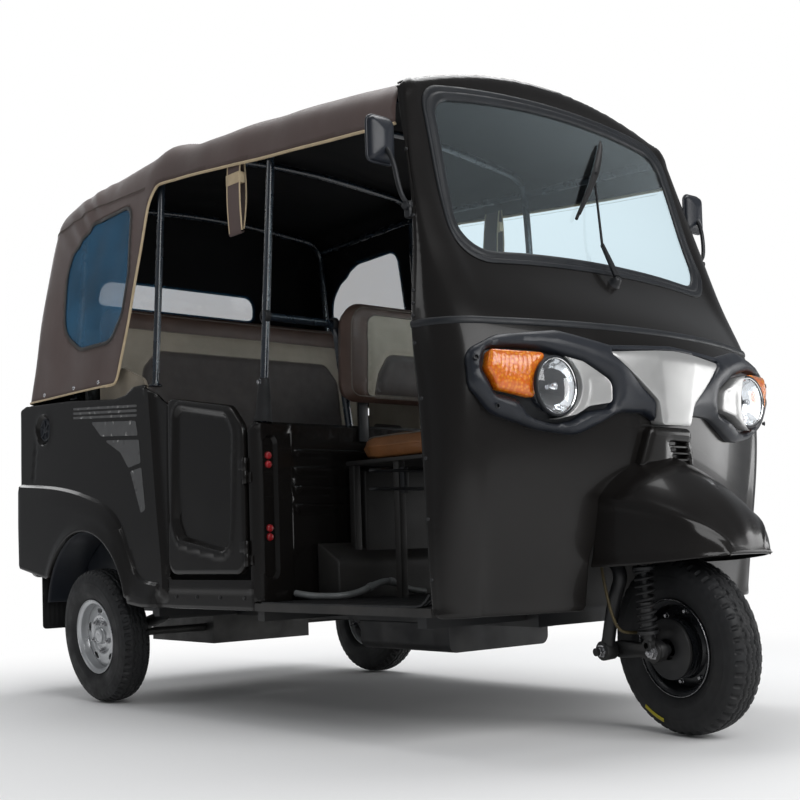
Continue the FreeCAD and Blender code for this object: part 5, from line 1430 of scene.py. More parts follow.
def canopy_skin():
    half = np.array([canopy_column(u) for u in canopy_us])
    half = blurred(half, 0.8)
    half[:, -1, 0] = 0
    full = np.concatenate([(half * [-1, 1, 1])[:0:-1], half])
    us = np.concatenate([-canopy_us[:0:-1], canopy_us])
    # Rows run from the right side round the back to the left, so outward is the other way round.
    return Skin(us, canopy_vs, full, outward=-1)


CANOPY = canopy_skin()


def canopy_v(u, z):
    """The sheet's v at a height on its wall."""
    out = []
    for a, b in zip(np.atleast_1d(u), np.atleast_1d(z)):
        column = CANOPY.at(np.full(V_ROWS, a), canopy_vs)[:, 2]
        k = int(np.argmax(column[:100])) if np.any(np.diff(column[:100]) < 0) else 99
        out.append(float(np.interp(b, column[:k + 1], canopy_vs[:k + 1])))
    return np.array(out)


def canopy_side(y, z, side):
    """The (u, v) of a place on the canopy's side given by y and height."""
    made = []
    for a, b in zip(y, z):
        u = REAR_RUN + CORNER + (SIDE_END - a)
        for _ in range(3):
            v = canopy_v(u, b)[0]
            u += float(CANOPY.at(np.array([u]), np.array([v]))[0, 1] - a)
            u = min(max(u, REAR_RUN * 0.5), CANOPY_U)
        made.append((side * u, canopy_v(u, b)[0]))
    return np.array(made)


def quarter_outline(side):
    corners = [(rear(-0.226), 1.822, 0.05), (rear(-0.24), 1.56, 0.0), (rear(-0.205), 1.42, 0.1),
               (rear(-0.12), 1.332, 0.09), (rear(0.11), 1.33, 0.1), (rear(0.262), 1.41, 0.12),
               (rear(0.264), 1.7, 0.16), (rear(0.06), 1.812, 0.1)]
    line = rounded(corners, 0.016)
    uv = canopy_side(line[:, 0], line[:, 1], side)
    return uv if side > 0 else uv[::-1]


def rear_outline():
    line = rect((-0.385, 1.592), (0.385, 1.704), 0.03, 0.07, 0.016)
    u = line[:, 0] / (HALF - 0.045 - 0.1) * REAR_RUN
    return np.stack([u, canopy_v(np.abs(u), line[:, 1])], 1)


def canopy_edge():
    """The sheet's free edge: along the skirt, down the quarter's front edge and round the hem."""
    side = []
    for y in np.linspace(front(0.494), rear(-0.43), 60):
        side.append((y, float(roof_at(y)[1])))
    turn = [(rear(-0.395), ROOF - 0.131), (rear(-0.366), ROOF - 0.15), (rear(-0.346), ROOF - 0.185)]
    down = [(rear(-0.346) + 0.1 * t ** 1.15 + 0.11 * t * t * 0.55,
             ROOF - 0.185 - (ROOF - 0.185 - HEM - 0.03) * t)
            for t in np.linspace(0, 1, 30)[1:]]
    foot = [(down[-1][0] + 0.004, HEM + 0.012), (down[-1][0] + 0.016, HEM + 0.003)]
    line = np.array(side + turn + down + foot)
    uv = canopy_side(line[:, 0], line[:, 1], 1)
    uv = np.vstack([uv[:60], blurred(uv[60:], 1.0)])
    hem_u = np.linspace(uv[-1, 0] - 0.02, 0, 60)
    return uv, np.stack([hem_u, np.full(60, HEM_V)], 1)


def folds(uv):
    """Soft wrinkles: across the tail's shoulder, along the skirt and at the hem."""
    u, v = np.abs(uv[:, 0]), uv[:, 1]
    corner = ease(1 - np.abs(u - REAR_RUN - 0.42) / 0.34) * ease(1 - np.abs(v - 0.7) / 0.22)
    slant = np.sin((u * 0.8 + v * 1.0) * 52 + 2.0 * np.sin(v * 9)) * corner * 0.0042
    skirt = 0.0018 * np.sin(u * 17 + 1.3) * np.sin(u * 5.1) * ease((u - 1.4) / 0.2)
    hang = 0.0022 * np.sin(u * 23 + 2.2 * np.sin(v * 4)) * ease(1 - v / 0.5) * ease(v / 0.08)
    slack = 0.0012 * np.sin(u * 7 + v * 11) + 0.001 * np.sin(u * 13 - v * 6)
    return slant + skirt + hang + slack


def canopy():
    edge, hem = canopy_edge()
    left = np.vstack([edge, hem[:-1]])
    top_u = np.linspace(-CANOPY_U + 0.001, CANOPY_U - 0.001, 181)
    outline = np.vstack([np.stack([top_u, np.full_like(top_u, CANOPY_V)], 1)[::-1],
                         (left * [-1, 1]), [[0, HEM_V]], left[::-1]])
    windows = [quarter_outline(-1), quarter_outline(1), rear_outline()]
    form = Form()
    panel(form, outline, CANOPY, folds, windows, step=0.017, edge=0, flip=True, back=False)
    sheet_obj = form.make("canopy_sheet", "vehicle", [M["cloth"], M["lining"]], "cloth", ["canopy"], sharp=0)
    merge_ridge(sheet_obj, 0.0035)
    thicken(sheet_obj, 0.0016, 1)

    # Beige piping bound over the free edges, then round the hem.
    form = Form()
    for s in (-1, 1):
        line = np.vstack([edge, hem[:3]]) * [s, 1]
        line = spaced(line, 0.01)
        points = CANOPY.lift(line[:, 0], line[:, 1] - 0.001, folds(line) + 0.0005)
        tube(form, blurred(points, 1.2), 0.0048, 10)
    hem_line = np.vstack([hem, (hem * [-1, 1])[::-1][1:]])
    hem_line = spaced(hem_line, 0.014)
    points = CANOPY.lift(hem_line[:, 0], np.full(len(hem_line), 0.003), folds(hem_line) + 0.001)
    tube(form, points, 0.004, 8)
    form.make("canopy_piping", "vehicle", M["piping"], "cloth")

    # Welts round the windows, with their stitching.
    form, seams = Form(), Form()
    for window in windows:
        loop = spaced(window, 0.01, True)
        points = CANOPY.raised(loop, folds(loop) + 0.001)
        welt(form, points, CANOPY.facing(loop), 0.0065, 0.0016)
        line = moved_in(loop, -0.012)
        stitches(seams, CANOPY.raised(line, folds(line) + 0.0008), True)
    form.make("window_welts", "vehicle", M["seam"], "cloth")
    # Seams: over the tail's shoulder, at the hoops and a hem's stitching.
    for s in (-1, 1):
        us = np.linspace(REAR_RUN + CORNER + 0.78, 0.02, 110)
        vs = canopy_v(us, np.interp(us, [0, REAR_RUN, REAR_RUN + CORNER + 0.3, REAR_RUN + CORNER + 0.8],
                                    [1.822, 1.822, 1.88, 1.868]))
        line = spaced(np.stack([us * s, vs], 1), 0.008)
        points = CANOPY.raised(line, folds(line) + 0.0012)
        tube(seams, points, 0.0013, 6)
        stitches(seams, CANOPY.lift(line[:, 0], line[:, 1] - 0.009, folds(line) + 0.0006), False)
        inner = spaced(edge * [s, 1], 0.008)
        offset = moved_in(inner, 0.016 * s)[2:-2]
        stitches(seams, CANOPY.raised(offset, folds(offset) + 0.0006), False)
    for y in (mid(0.0), rear(-0.47), rear(-0.3)):
        vs = np.linspace(0.86, CANOPY_V - 0.004, 60)
        for s in (-1, 1):
            u = np.array([canopy_side([y], [1.8], 1)[0, 0]] * 60)
            line = np.stack([u * s, vs], 1)
            stitches(seams, spaced(CANOPY.raised(line, folds(line) + 0.0006), 0.008), False)
    seams.make("canopy_stitching", "vehicle", M["thread"], "cloth")

    # Snaps along the hem.
    form = Form()
    for s in (-1, 1):
        for u in (0.1, 0.38, REAR_RUN + CORNER + 0.1, REAR_RUN + CORNER + 0.34, REAR_RUN + CORNER + 0.52):
            spot = np.array([[s * u, 0.022]])
            p = CANOPY.raised(spot, folds(spot) + 0.0005)[0]
            lathe(form, mm((-2, 8.5), (1, 8.5), (3, 7), (4, 4), (3.2, 3), (3, 0.1)), p, CANOPY.facing(spot)[0], 20)
    form.make("canopy_snaps", "vehicle", M["steel"], "cloth")

    # Window films, sewn in behind their welts.
    films = (("quarter_film_right", "quarter_window_right"), ("quarter_film_left", "quarter_window_left"),
             ("rear_film", "rear_window"))
    for (name, node_name), window in zip(films, windows):
        form = Form()
        loop = moved_in(spaced(window, 0.014, True), -0.006)
        panel(form, loop, CANOPY,
              lambda uv: folds(uv) - 0.0015 - 0.003 * ease(distance(uv, loop) / 0.1)
              + 0.0016 * np.sin(uv[:, 0] * 31 + uv[:, 1] * 14) * ease(distance(uv, loop) / 0.06),
              step=0.016, edge=0, flip=True, back=False)
        made = form.make(name, "vehicle", M["film"], "film", [node_name], sharp=0)
        thicken(made, 0.0008, 0)


RIDGE_LOW = 1.85  # every edge above this height is on the roof's middle line


def merge_ridge(obj, reach):
    """Joins the two halves of a sheet where their edges meet on the middle line."""
    mesh = bmesh.new()
    mesh.from_mesh(obj.data)
    ridge = [v for v in mesh.verts if abs(v.co.x) < reach and v.is_boundary and v.co.z > RIDGE_LOW]
    for v in ridge:
        v.co.x = 0
    bmesh.ops.remove_doubles(mesh, verts=ridge, dist=reach)
    mesh.to_mesh(obj.data)
    mesh.free()


def thicken(obj, depth, lining):
    """Gives a single sheet its thickness, with another material on its inner side."""
    made = obj.modifiers.new("thickness", "SOLIDIFY")
    made.thickness, made.offset = depth, -1
    made.material_offset = lining
    applied(obj)


def applied(obj):
    """Turns an object's modifiers into its mesh."""
    deps = bpy.context.evaluated_depsgraph_get()
    mesh = bpy.data.meshes.new_from_object(obj.evaluated_get(deps))
    old = obj.data
    obj.modifiers.clear()
    obj.data = mesh
    mesh.name = obj.name
    bpy.data.meshes.remove(old)
    return obj


def welt(form, points, normals, width, height):
    """A low flat strip laid round a closed line."""
    along = unit(np.roll(points, -1, 0) - np.roll(points, 1, 0))
    side = unit(np.cross(along, normals))
    rows = []
    for a, h in ((-1, -0.6), (-1, 0.5), (-0.7, 1), (0.7, 1), (1, 0.5), (1, -0.6)):
        rows.append(points + side * a * width + normals * h * height)
    form.grid(np.array(rows), round_v=True)


def stitches(form, points, closed):
    """Short raised thread runs with gaps between them along a line."""
    points = spaced(points, 0.003, closed)
    for i in range(0, len(points) - 2, 3):
        tube(form, points[i:i + 3] if i + 3 <= len(points) else points[i:], 0.00065, 4, capped=False)


canopy()


def grab_straps():
    """Rolled-up side curtain ties hanging from the skirt."""
    for name, s in SIDES:
        form, trim = Form(), Form()
        y0, y1 = rear(-0.893), rear(-0.82)
        x = s * 0.603
        for lay, (dx, sway) in enumerate(((0.004, 0.0), (-0.01, 0.012))):
            zs = np.linspace(1.842 - 0.004 * lay, 1.6 + 0.008 * lay, 30)
            t = (1.842 - zs) / 0.242
            rows = []
            bulge = 0.006 * np.sin(math.pi * t)
            for k in np.linspace(0, 1, 9):
                y = y0 + (y1 - y0) * k + sway * t
                rows.append(np.stack([x + s * (dx + bulge * (1 if lay == 0 else -1.6)), y, zs], 1))
            front_rows = np.array(rows)
            for depth, flip in ((0.0009, s > 0), (-0.0009, s < 0)):
                form.grid(front_rows + [s * depth, 0, 0], flip=flip)
            for k in (0, 8):
                tube(trim, front_rows[k], 0.0028, 8)
        # Fold at the foot and the beige keeper square.
        foot = np.array([[x + s * (0.004 - 0.007 + 0.007 * math.cos(a)), 0, 1.602 - 0.01 * math.sin(a)]
                         for a in np.linspace(0, math.pi, 9)])
        rows = np.array([foot + [0, y0 + (y1 - y0) * k + 0.006, 0] for k in np.linspace(0, 1, 5)])
        form.grid(rows, flip=s > 0)
        form.make("grab_strap_" + name, "vehicle", M["cloth"], "cloth")
        block(trim, (x - 0.012 if s > 0 else x - 0.013, y0 - 0.001, 1.758),
              (x + 0.013 if s > 0 else x + 0.012, y1 + 0.004, 1.795), 0.003)
        trim.make("strap_binding_" + name, "vehicle", M["piping"], "cloth")


grab_straps()

# ---- Body sides, doors and rear wall -------------------------------------------------------

def side_flat(s):
    return plane_x(s * HALF, s)


def mirrored(form):
    """The same piece on the other side of the vehicle."""
    other = Form()
    other.points = [p * [-1, 1, 1] for p in form.points]
    other.faces = [f[::-1] for f in form.faces]
    other.slots, other.count = list(form.slots), form.count
    return other


def pair(form, name, bodies, materials, slot=None, replaces=(), **settings):
    """Makes a right-hand piece and its mirror image."""
    if isinstance(bodies, str):
        bodies = (bodies, bodies)
    for side_name, shape, body in (("right", form, bodies[0]), ("left", mirrored(form), bodies[1])):
        shape.make("%s_%s" % (name, side_name), body, materials, slot,
                   ["%s_%s" % (node, side_name) for node in replaces], **settings)


ARCH_MID, ARCH_R = (rear(0.065), 0.31), 0.325


def arch_arc(first, last, count=60, radius=ARCH_R):
    turn = np.radians(np.linspace(first, last, count))
    return np.array(ARCH_MID) + circle(turn, radius)


CREASE = mm((660, 845), (580, 838), (385, 825), (200, 803), (42, 770), (-91, 733), (-171, 685), (-220, 620),
            (-262, 538), (-303, 477), (-363, 452), (-470, 444))
RIDGE = mm((628, 1120), (622, 1060), (606, 950), (592, 800), (574, 640), (560, 500), (556, 420))
CREASE_LINE = smooth_path([(rear(y), z) for y, z in CREASE], 0.02)
RIDGE_LINE = smooth_path([(mid(y), z) for y, z in RIDGE], 0.02)
PORT = (rear(0.424), 1.05)


def side_outline():
    low = [(mid(0.68), SILL), (rear(-0.262), SILL + 0.01), (rear(-0.252), 0.392)]
    back = [(rear(0.38), SILL + 0.096), (rear(0.625), SILL + 0.137), (rear(0.638), SILL + 0.15),
            (rear(0.638), BELT + 0.002), (rear(0.63), BELT + 0.01), (rear(0.585), BELT + 0.02),
            (rear(0.2), BELT + 0.004), (rear(-0.16), BELT - 0.026), (rear(-0.24), BELT - 0.02),
            (rear(-0.3), BELT + 0.004), (mid(0.668), BELT + 0.004), (mid(0.612), BELT - 0.024),
            (mid(0.56), BELT - 0.058), (mid(0.506), SILL + 0.696), (mid(0.519), SILL + 0.108),
            (mid(0.5), SILL + 0.098), (mid(0.008), SILL + 0.098), (mid(0.008), SILL)]
    return np.vstack([low, arch_arc(164, 28), back])


def side_height(uv):
    """How far the body side stands out from its plane."""
    fender = np.vstack([CREASE_LINE, [(rear(-0.47), 0.2), (rear(0.7), 0.2)]])
    inner = depth_in(uv, fender)
    out = 0.011 * ease(inner / 0.01) + 0.01 * ease((inner - 0.004) / 0.06)
    d_arch = np.hypot(uv[:, 0] - ARCH_MID[0], uv[:, 1] - ARCH_MID[1]) - ARCH_R
    out += 0.007 * ease(1 - d_arch / 0.045) * (uv[:, 1] > 0.39)
    d_ridge = distance(uv, RIDGE_LINE, False)
    out += 0.014 * (1 - ease((d_ridge - 0.016) / 0.014))
    ahead = np.interp(uv[:, 1], RIDGE_LINE[::-1, 1], RIDGE_LINE[::-1, 0]) - uv[:, 0]
    out -= 0.004 * ease((ahead - 0.03) / 0.01) * ease((uv[:, 1] - 0.47) / 0.02)
    d_port = np.hypot(uv[:, 0] - PORT[0], uv[:, 1] - PORT[1])
    out -= 0.016 * ease((0.062 - d_port) / 0.012)
    out += 0.003 * bump(d_port - 0.068, 0.01)
    slit = distance(uv, np.array([(rear(0.492), 1.0), (rear(0.52), 0.85)]), False)
    out -= 0.006 * bump(slit, 0.007)
    out += 0.004 * bump(uv[:, 1] - (SILL + 0.07), 0.012) * (uv[:, 0] < mid(0.52))
    return out + 0.003 * ease((uv[:, 1] - 0.5) / 0.2) * ease((BELT - uv[:, 1]) / 0.3)


def body_sides():
    outline = side_outline()
    near = [CREASE_LINE - [0, drop] for drop in (0, 0.01, 0.005)]
    turn = np.linspace(0, 2 * math.pi, 40)
    for r in (0.064, 0.06, 0.056, 0.052, 0.05):
        near.append(np.array(PORT) + circle(turn, r))
    near += [RIDGE_LINE + [dx, 0] for dx in (-0.03, -0.023, -0.016, 0.016, 0.023, 0.03)]
    form = Form()
    panel(form, outline, side_flat(-1), side_height, lines=near, step=0.015, thickness=0.006,
          edge=0.006, back_slot=1, flip=True)
    # The wheel well: a deep rolled liner inside the arch, and its wall.
    xs = np.array([0.704, 0.7, 0.69, 0.672, 0.64, 0.6, 0.566, 0.56])
    shrink = np.array([0.001, 0.0035, 0.005, 0.006, 0.01, 0.013, 0.013, 0.004])
    rows = []
    for x, r in zip(xs, shrink):
        ring = arch_arc(196, 5, 72, ARCH_R - r)
        ring[:, 1] = np.maximum(ring[:, 1], 0.365)
        rows.append(np.column_stack([np.full(72, -x), ring]))
    liner = Form()
    liner.grid(np.array(rows))
    outer = [np.column_stack([np.full(72, -x), np.maximum(arch_arc(196, 5, 72, ARCH_R + 0.006), 0.366)])
             for x in (0.56, 0.69)]
    liner.grid(np.array(outer))
    wall = arch_arc(158, 22, 40, ARCH_R - 0.004)
    panel(liner, wall, plane_x(-0.562, -1), lambda uv: 0.004 * bump(uv[:, 1] - 0.52, 0.02),
          step=0.03, thickness=0.003, edge=0, flip=True)
    pair(form, "body_side", "vehicle", [M["paint"], M["inner"]], "body_paint", ["quarter_panel"], sharp=38)
    pair(liner, "arch_liner", "vehicle", M["trim"], "trim_black", turned=False)
    # Filler cap in its recess: a dished disc with six spokes.
    cap = Form()
    at = (-(HALF - 0.013), PORT[0], PORT[1])
    lathe(cap, mm((-4, 46), (4, 46), (7.5, 43.5), (8, 39), (3, 36), (2.6, 14), (7.5, 12), (8.5, 9),
                  (8.8, 0.1)), at, (-1, 0, 0), 48)
    for k in range(6):
        a = k * math.pi / 3 + 0.3
        spoke = np.array([(at[0] - 0.0045, at[1] + r * math.cos(a), at[2] + r * math.sin(a))
                          for r in (0.01, 0.022, 0.037)])
        tube(cap, spoke, 0.0036, 8)
    pair(cap, "side_cap", "vehicle", M["trim"], "trim_black")
    # Plain stripes and angular panels on the flank.
    marks = Form()

    def mark(points):
        shape = rounded([(rear(y), z, 0.003) for y, z in points], 0.008)
        panel(marks, shape, side_flat(-1), lambda uv: side_height(uv) + 0.0007, step=0.014,
              thickness=0.0004, edge=0, flip=True, back=False)

    for drop in (0.0, 0.017, 0.034):
        mark([(0.165, 1.112 - drop), (0.165, 1.103 - drop), (-0.33, 1.068 - drop), (-0.33, 1.077 - drop)])
    mark(mm((20, 1045), (-318, 1020), (-334, 966), (-60, 985)))
    mark(mm((-85, 968), (-340, 951), (-352, 868), (-262, 856), (-205, 915)))
    mark(mm((-275, 842), (-356, 852), (-378, 702), (-345, 690)))
    pair(marks, "side_stripes", "vehicle", M["decal"], "silver", sharp=0)
    # A row of bolts along the sill.
    bolts = Form()
    for y in (mid(0.06), mid(0.2), mid(0.34), mid(0.47)):
        lathe(bolts, mm((-2, 6.5), (1.8, 6.5), (3.4, 5), (3.6, 0.1)),
              (-(HALF + 0.0005), y, SILL + 0.04), (-1, 0, 0), 6)
    pair(bolts, "sill_bolts", "vehicle", M["iron"], "black_metal")


# Hinge barrels, turned: distance along the pin and radius.
DOOR_HINGE = mm((0, 0.1), (0, 8.5), (1, 9), (39, 9), (40, 8.5), (40, 0.1))
HATCH_HINGE = mm((0, 0.1), (0, 7.5), (0.8, 8), (39.2, 8), (40, 7.5), (40, 0.1))
# Distance behind the partition, height over the sill and corner radius.
DOOR = mm((44, 114, 45), (42, 582, 60), (114, 655, 60), (469, 714, 30), (499, 700, 30), (513, 114, 50))
DOOR_DISH = mm((446, 682, 35), (136, 628, 45), (100, 570, 50), (122, 290, 30), (136, 208, 30), (174, 188, 30),
               (440, 232, 35), (470, 290, 40))


def doors():
    outline = rounded([(mid(y), SILL + z, r) for y, z, r in DOOR], 0.008)
    dish = rounded([(mid(y), SILL + z, r) for y, z, r in DOOR_DISH], 0.008)

    def height(uv):
        depth = depth_in(uv, dish)
        ledge = ease((depth + 0.004) / 0.016)
        lean = ease((uv[:, 1] - (SILL + 0.19)) / 0.3)
        roll = 0.004 * bump(depth + 0.012, 0.014)
        return 0.0055 + roll - (0.02 - 0.01 * lean) * ledge

    form = Form()
    loops = [moved_in(dish, by) for by in (-0.012, -0.004, 0.001, 0.006, 0.012)]
    panel(form, outline, side_flat(-1), height, lines=[looped(r) for r in loops], step=0.013, thickness=0.012,
          edge=0.008, back_slot=1, flip=True)
    inner = Form()
    panel(inner, moved_in(outline, 0.006), plane_x(-(HALF - 0.024), 1),
          lambda uv: -0.002 + 0.006 * ease((depth_in(uv,
                  dish) + 0.002) / 0.012), step=0.02, thickness=0.004, edge=0.004)
    for rise in (0.18, 0.44):
        lathe(form, DOOR_HINGE,
              (-0.696, mid(0.032), SILL + rise), Z, 20)
        block(form, (-0.6915, mid(0.034), SILL + rise + 0.004), (-0.6965, mid(0.072), SILL + rise + 0.036), 0.0015)
    pair(form, "door_leaf", ("door_right", "door_left"), [M["paint"], M["inner"]], "body_paint", ["door"], sharp=40)
    pair(inner, "door_lining", ("door_right", "door_left"), M["inner"], "body_paint", sharp=40)
    latch = Form()
    block(latch, (-0.664, mid(0.47), SILL + 0.48), (-0.652, mid(0.505), SILL + 0.53), 0.003)
    tube(latch, smooth_path([(-0.655, mid(0.488), SILL + 0.51), (-0.645, mid(0.47), SILL + 0.511),
                             (-0.642, mid(0.42), SILL + 0.512)], 0.006), 0.0045, 10)
    pair(latch, "door_latch", ("door_right", "door_left"), M["iron"], "black_metal")


def rear_wall():
    flat = plane_y(rear(0.634), 1)
    x1, z0, z1 = HALF - 0.03, SILL + 0.1, BELT + 0.02
    outline = rect((-x1, z0), (x1, z1), 0.03, 0.04, 0.014)
    hx, hz0, hz1 = HALF - 0.19, SILL + 0.19, SILL + 0.6
    gate = rect((-hx, hz0), (hx, hz1), 0.03, 0.008, 0.012)

    def height(uv):
        frame_roll = 0.006 * bump(depth_in(uv, gate) + 0.02, 0.02)
        lamps = 0.005 * ease((np.abs(uv[:, 0]) - 0.545) / 0.012) * ease((uv[:, 1] - (SILL + 0.585)) / 0.012)
        band = 0.006 * bump(uv[:, 1] - (BELT - 0.06), 0.03)
        return 0.002 + frame_roll + band - lamps

    form = Form()
    panel(form, outline, flat, height, [gate], step=0.018, thickness=0.022, edge=0.01, back_slot=1, flip=True)
    for x in (-0.32, 0.32):
        lathe(form, HATCH_HINGE,
              (x - 0.0405, rear(0.65), SILL + 0.604), X, 18)
        block(form, (x - 0.036, rear(0.634), SILL + 0.606), (x - 0.004, rear(0.6515), SILL + 0.64), 0.002)
    form.make("rear_wall_skin", "vehicle", [M["paint"], M["inner"]], "body_paint", ["rear_panel"], sharp=40)

    # Hatch: pressed plate with a raised field, louvres, hinges and a turning latch.
    g = 0.006
    leaf = rect((-hx + g, hz0 + g), (hx - g, hz1 - g), 0.028, 0.008, 0.012)
    field = rect((-hx + 0.07, hz0 + 0.06), (hx - 0.07, hz1 - 0.06), 0.03, 0.03, 0.01)
    slots = [(side * 0.2, hz1 - 0.105 - 0.03 * k) for side in (-1, 1) for k in range(5)]

    def leaf_height(uv):
        out = 0.004 + 0.005 * ease((depth_in(uv, field) + 0.004) / 0.014)
        for x, z in slots:
            across = ease((0.095 - np.abs(uv[:, 0] - x)) / 0.012)
            down = uv[:, 1] - z
            out = out + 0.007 * across * ease((down + 0.012) / 0.003) * (1 - ease(down / 0.012))
        return out

    lines = []
    for x, z in slots:
        for dz in (-0.012, -0.009, -0.004, 0.002, 0.008):
            lines.append(np.array([(x - 0.1, z + dz), (x + 0.1, z + dz)]))
    form = Form()
    panel(form, leaf, flat, leaf_height, lines=lines, step=0.014, thickness=0.02,
          edge=0.006, back_slot=1, flip=True)
    for x in (-0.32, 0.32):
        lathe(form, HATCH_HINGE,
              (x, rear(0.65), SILL + 0.604), X, 18)
        block(form, (x + 0.004, rear(0.639), SILL + 0.566), (x + 0.036, rear(0.6515), SILL + 0.6), 0.002)
    form.make("hatch_leaf", "rear_hatch", [M["paint"], M["inner"]], "body_paint", ["rear_hatch"], sharp=36)
    latch = Form()
    at = (0, rear(0.643), hz0 + 0.05)
    lathe(latch, mm((-4, 20), (3, 20), (5, 18), (6, 10), (10, 9), (11, 0.1)), at, Y, 32)
    block(latch, (-0.03, rear(0.647), hz0 + 0.045), (0.03, rear(0.655), hz0 + 0.055), 0.003)
    latch.make("hatch_latch", "rear_hatch", M["iron"], "black_metal")

    # Bumper: a rolled bar with end caps, bolts and a blank plate.
    form = Form()
    profile = rounded(mm((634, 462, 4), (640, 460, 3), (662, 462, 8), (668, 476, 8), (664, 494, 20),
                         (668, 512, 8), (662, 526, 8), (640, 528, 3), (634, 526, 4), (634, 494, 0)), 0.004)
    ends = 0.6 - np.array([0.0, 0.001, 0.004, 0.01, 0.02])
    squeeze = np.array([0.55, 0.75, 0.9, 0.98, 1.0])
    rows = []
    for x, k in list(zip(-ends, squeeze)) + list(zip(ends[::-1], squeeze[::-1])):
        rows.append(np.column_stack([np.full(len(profile), x), rear(0.635 + (profile[:, 0] - 0.635) * k),
                                     0.494 + (profile[:, 1] - 0.494) * k]))
    form.grid(np.array(rows), round_v=True, flip=True)
    form.add(rows[0], [tuple(range(len(profile)))])
    form.add(rows[-1], [tuple(range(len(profile)))[::-1]])
    for x in (-0.45, 0.45):
        block(form, (x - 0.03, rear(0.612), 0.47), (x + 0.03, rear(0.64), 0.518), 0.003)
    form.make("bumper_bar", "vehicle", M["iron"], "black_metal", ["rear_bumper"], sharp=40)
    form = Form()
    for x in (-0.5, -0.4, 0.4, 0.5):
        lathe(form, mm((-2, 9.5), (2, 9.5), (2.2, 7), (7.5, 7), (8.5, 5), (8.6, 0.1)),
              (x, rear(0.6655), 0.494), Y, 6)
    for x in (-0.09, 0.09):
        lathe(form, mm((-2, 5.5), (1.2, 5.5), (2.6, 3.5), (2.8, 0.1)), (x, rear(0.6715), 0.494), Y, 16)
    form.make("bumper_bolts", "vehicle", M["steel"], "black_metal")
    form = Form()
    plate = rect((-0.125, 0.442), (0.125, 0.546), 0.01, 0.01, 0.008)
    panel(form, plate, plane_y(rear(0.6695), 1),
          lambda uv: 0.0016 * bump(depth_in(uv, plate) - 0.006,
                                   0.003), step=0.012, thickness=0.0012, edge=0.0006, flip=True)
    form.make("number_plate_blank", "vehicle", M["silver"], "black_metal")

    # Tail lamps: dark hoods round red lenses.
    hood, lens = Form(), Form()
    z0, z1 = SILL + 0.6, SILL + 0.77
    face = plane_y(rear(0.64), 1)
    loop = rounded([(-0.65, z0, 0.02), (-0.568, z0, 0.016), (-0.568, z1, 0.016), (-0.65, z1, 0.026)], 0.005)
    glow = moved_in(loop, 0.01)
    panel(hood, loop, face, 0.026, [glow], step=0.01, thickness=0.03, edge=0.006, flip=True)
    panel(lens, moved_in(loop, 0.0106), face, lambda uv: 0.026 + 0.006 * ease(distance(uv, glow) / 0.02)
          - 0.004 * bump(uv[:, 1] - (z0 + 0.062), 0.004) - 0.004 * bump(uv[:, 1] - (z0 + 0.112), 0.004),
          step=0.005, thickness=0.012, edge=0.003, flip=True)
    pair(hood, "tail_hood", "vehicle", M["trim"], "trim_black")
    pair(lens, "tail_lens", "vehicle", M["red"], "red_lens", ["tail_lamp"])
    # Mudflaps behind the rear wheels: ribbed rubber on a steel strip.
    flap = Form()
    shape = rect((-0.71, 0.26), (-0.57, 0.49), 0.014, 0.004, 0.008)
    panel(flap, shape, plane_y(rear(0.4205), 1),
          lambda uv: 0.0008 * np.sin(uv[:, 0] * 2 * math.pi / 0.02) * ease((depth_in(uv,
                  shape) - 0.01) / 0.006) - 0.001,
          step=0.006, thickness=0.003, edge=0.0012, flip=True)
    pair(flap, "mudflap_sheet", "vehicle", M["rubber"], "rubber", ["mudflap"], sharp=60)
    strip = Form()
    block(strip, (-0.706, rear(0.4195), 0.47), (-0.574, rear(0.423), 0.486), 0.0012)
    for x in (-0.69, -0.64, -0.59):
        lathe(strip, mm((-1, 6), (1.5, 6), (4, 4.8), (4.2, 0.1)), (x, rear(0.423), 0.478), Y, 6)
    pair(strip, "mudflap_strip", "vehicle", M["iron"], "black_metal")


body_sides()
doors()
rear_wall()

# ---- Wheels --------------------------------------------------------------------------------

# Distance across the tyre from its middle, and radius.
TYRE_SIDE = mm((42.5, 128), (43.2, 138.5), (49, 144), (54.8, 154.5), (58.2, 170), (59, 188), (57.8, 206),
               (54.5, 221.5), (50, 233), (44, 240), (35, 244.4), (18, 247), (0, 247.5))


def wheel_frame(joint, side):
    """Centre, outward axis and two directions across the wheel."""
    centre = np.array(joints[joint]["pos_m"], float)
    axis = unit(np.array(joints[joint]["axis"], float)) * side
    up = unit(np.array([0, 0, 1.0]) - axis * axis[2])
    return centre, axis, np.cross(up, axis), up


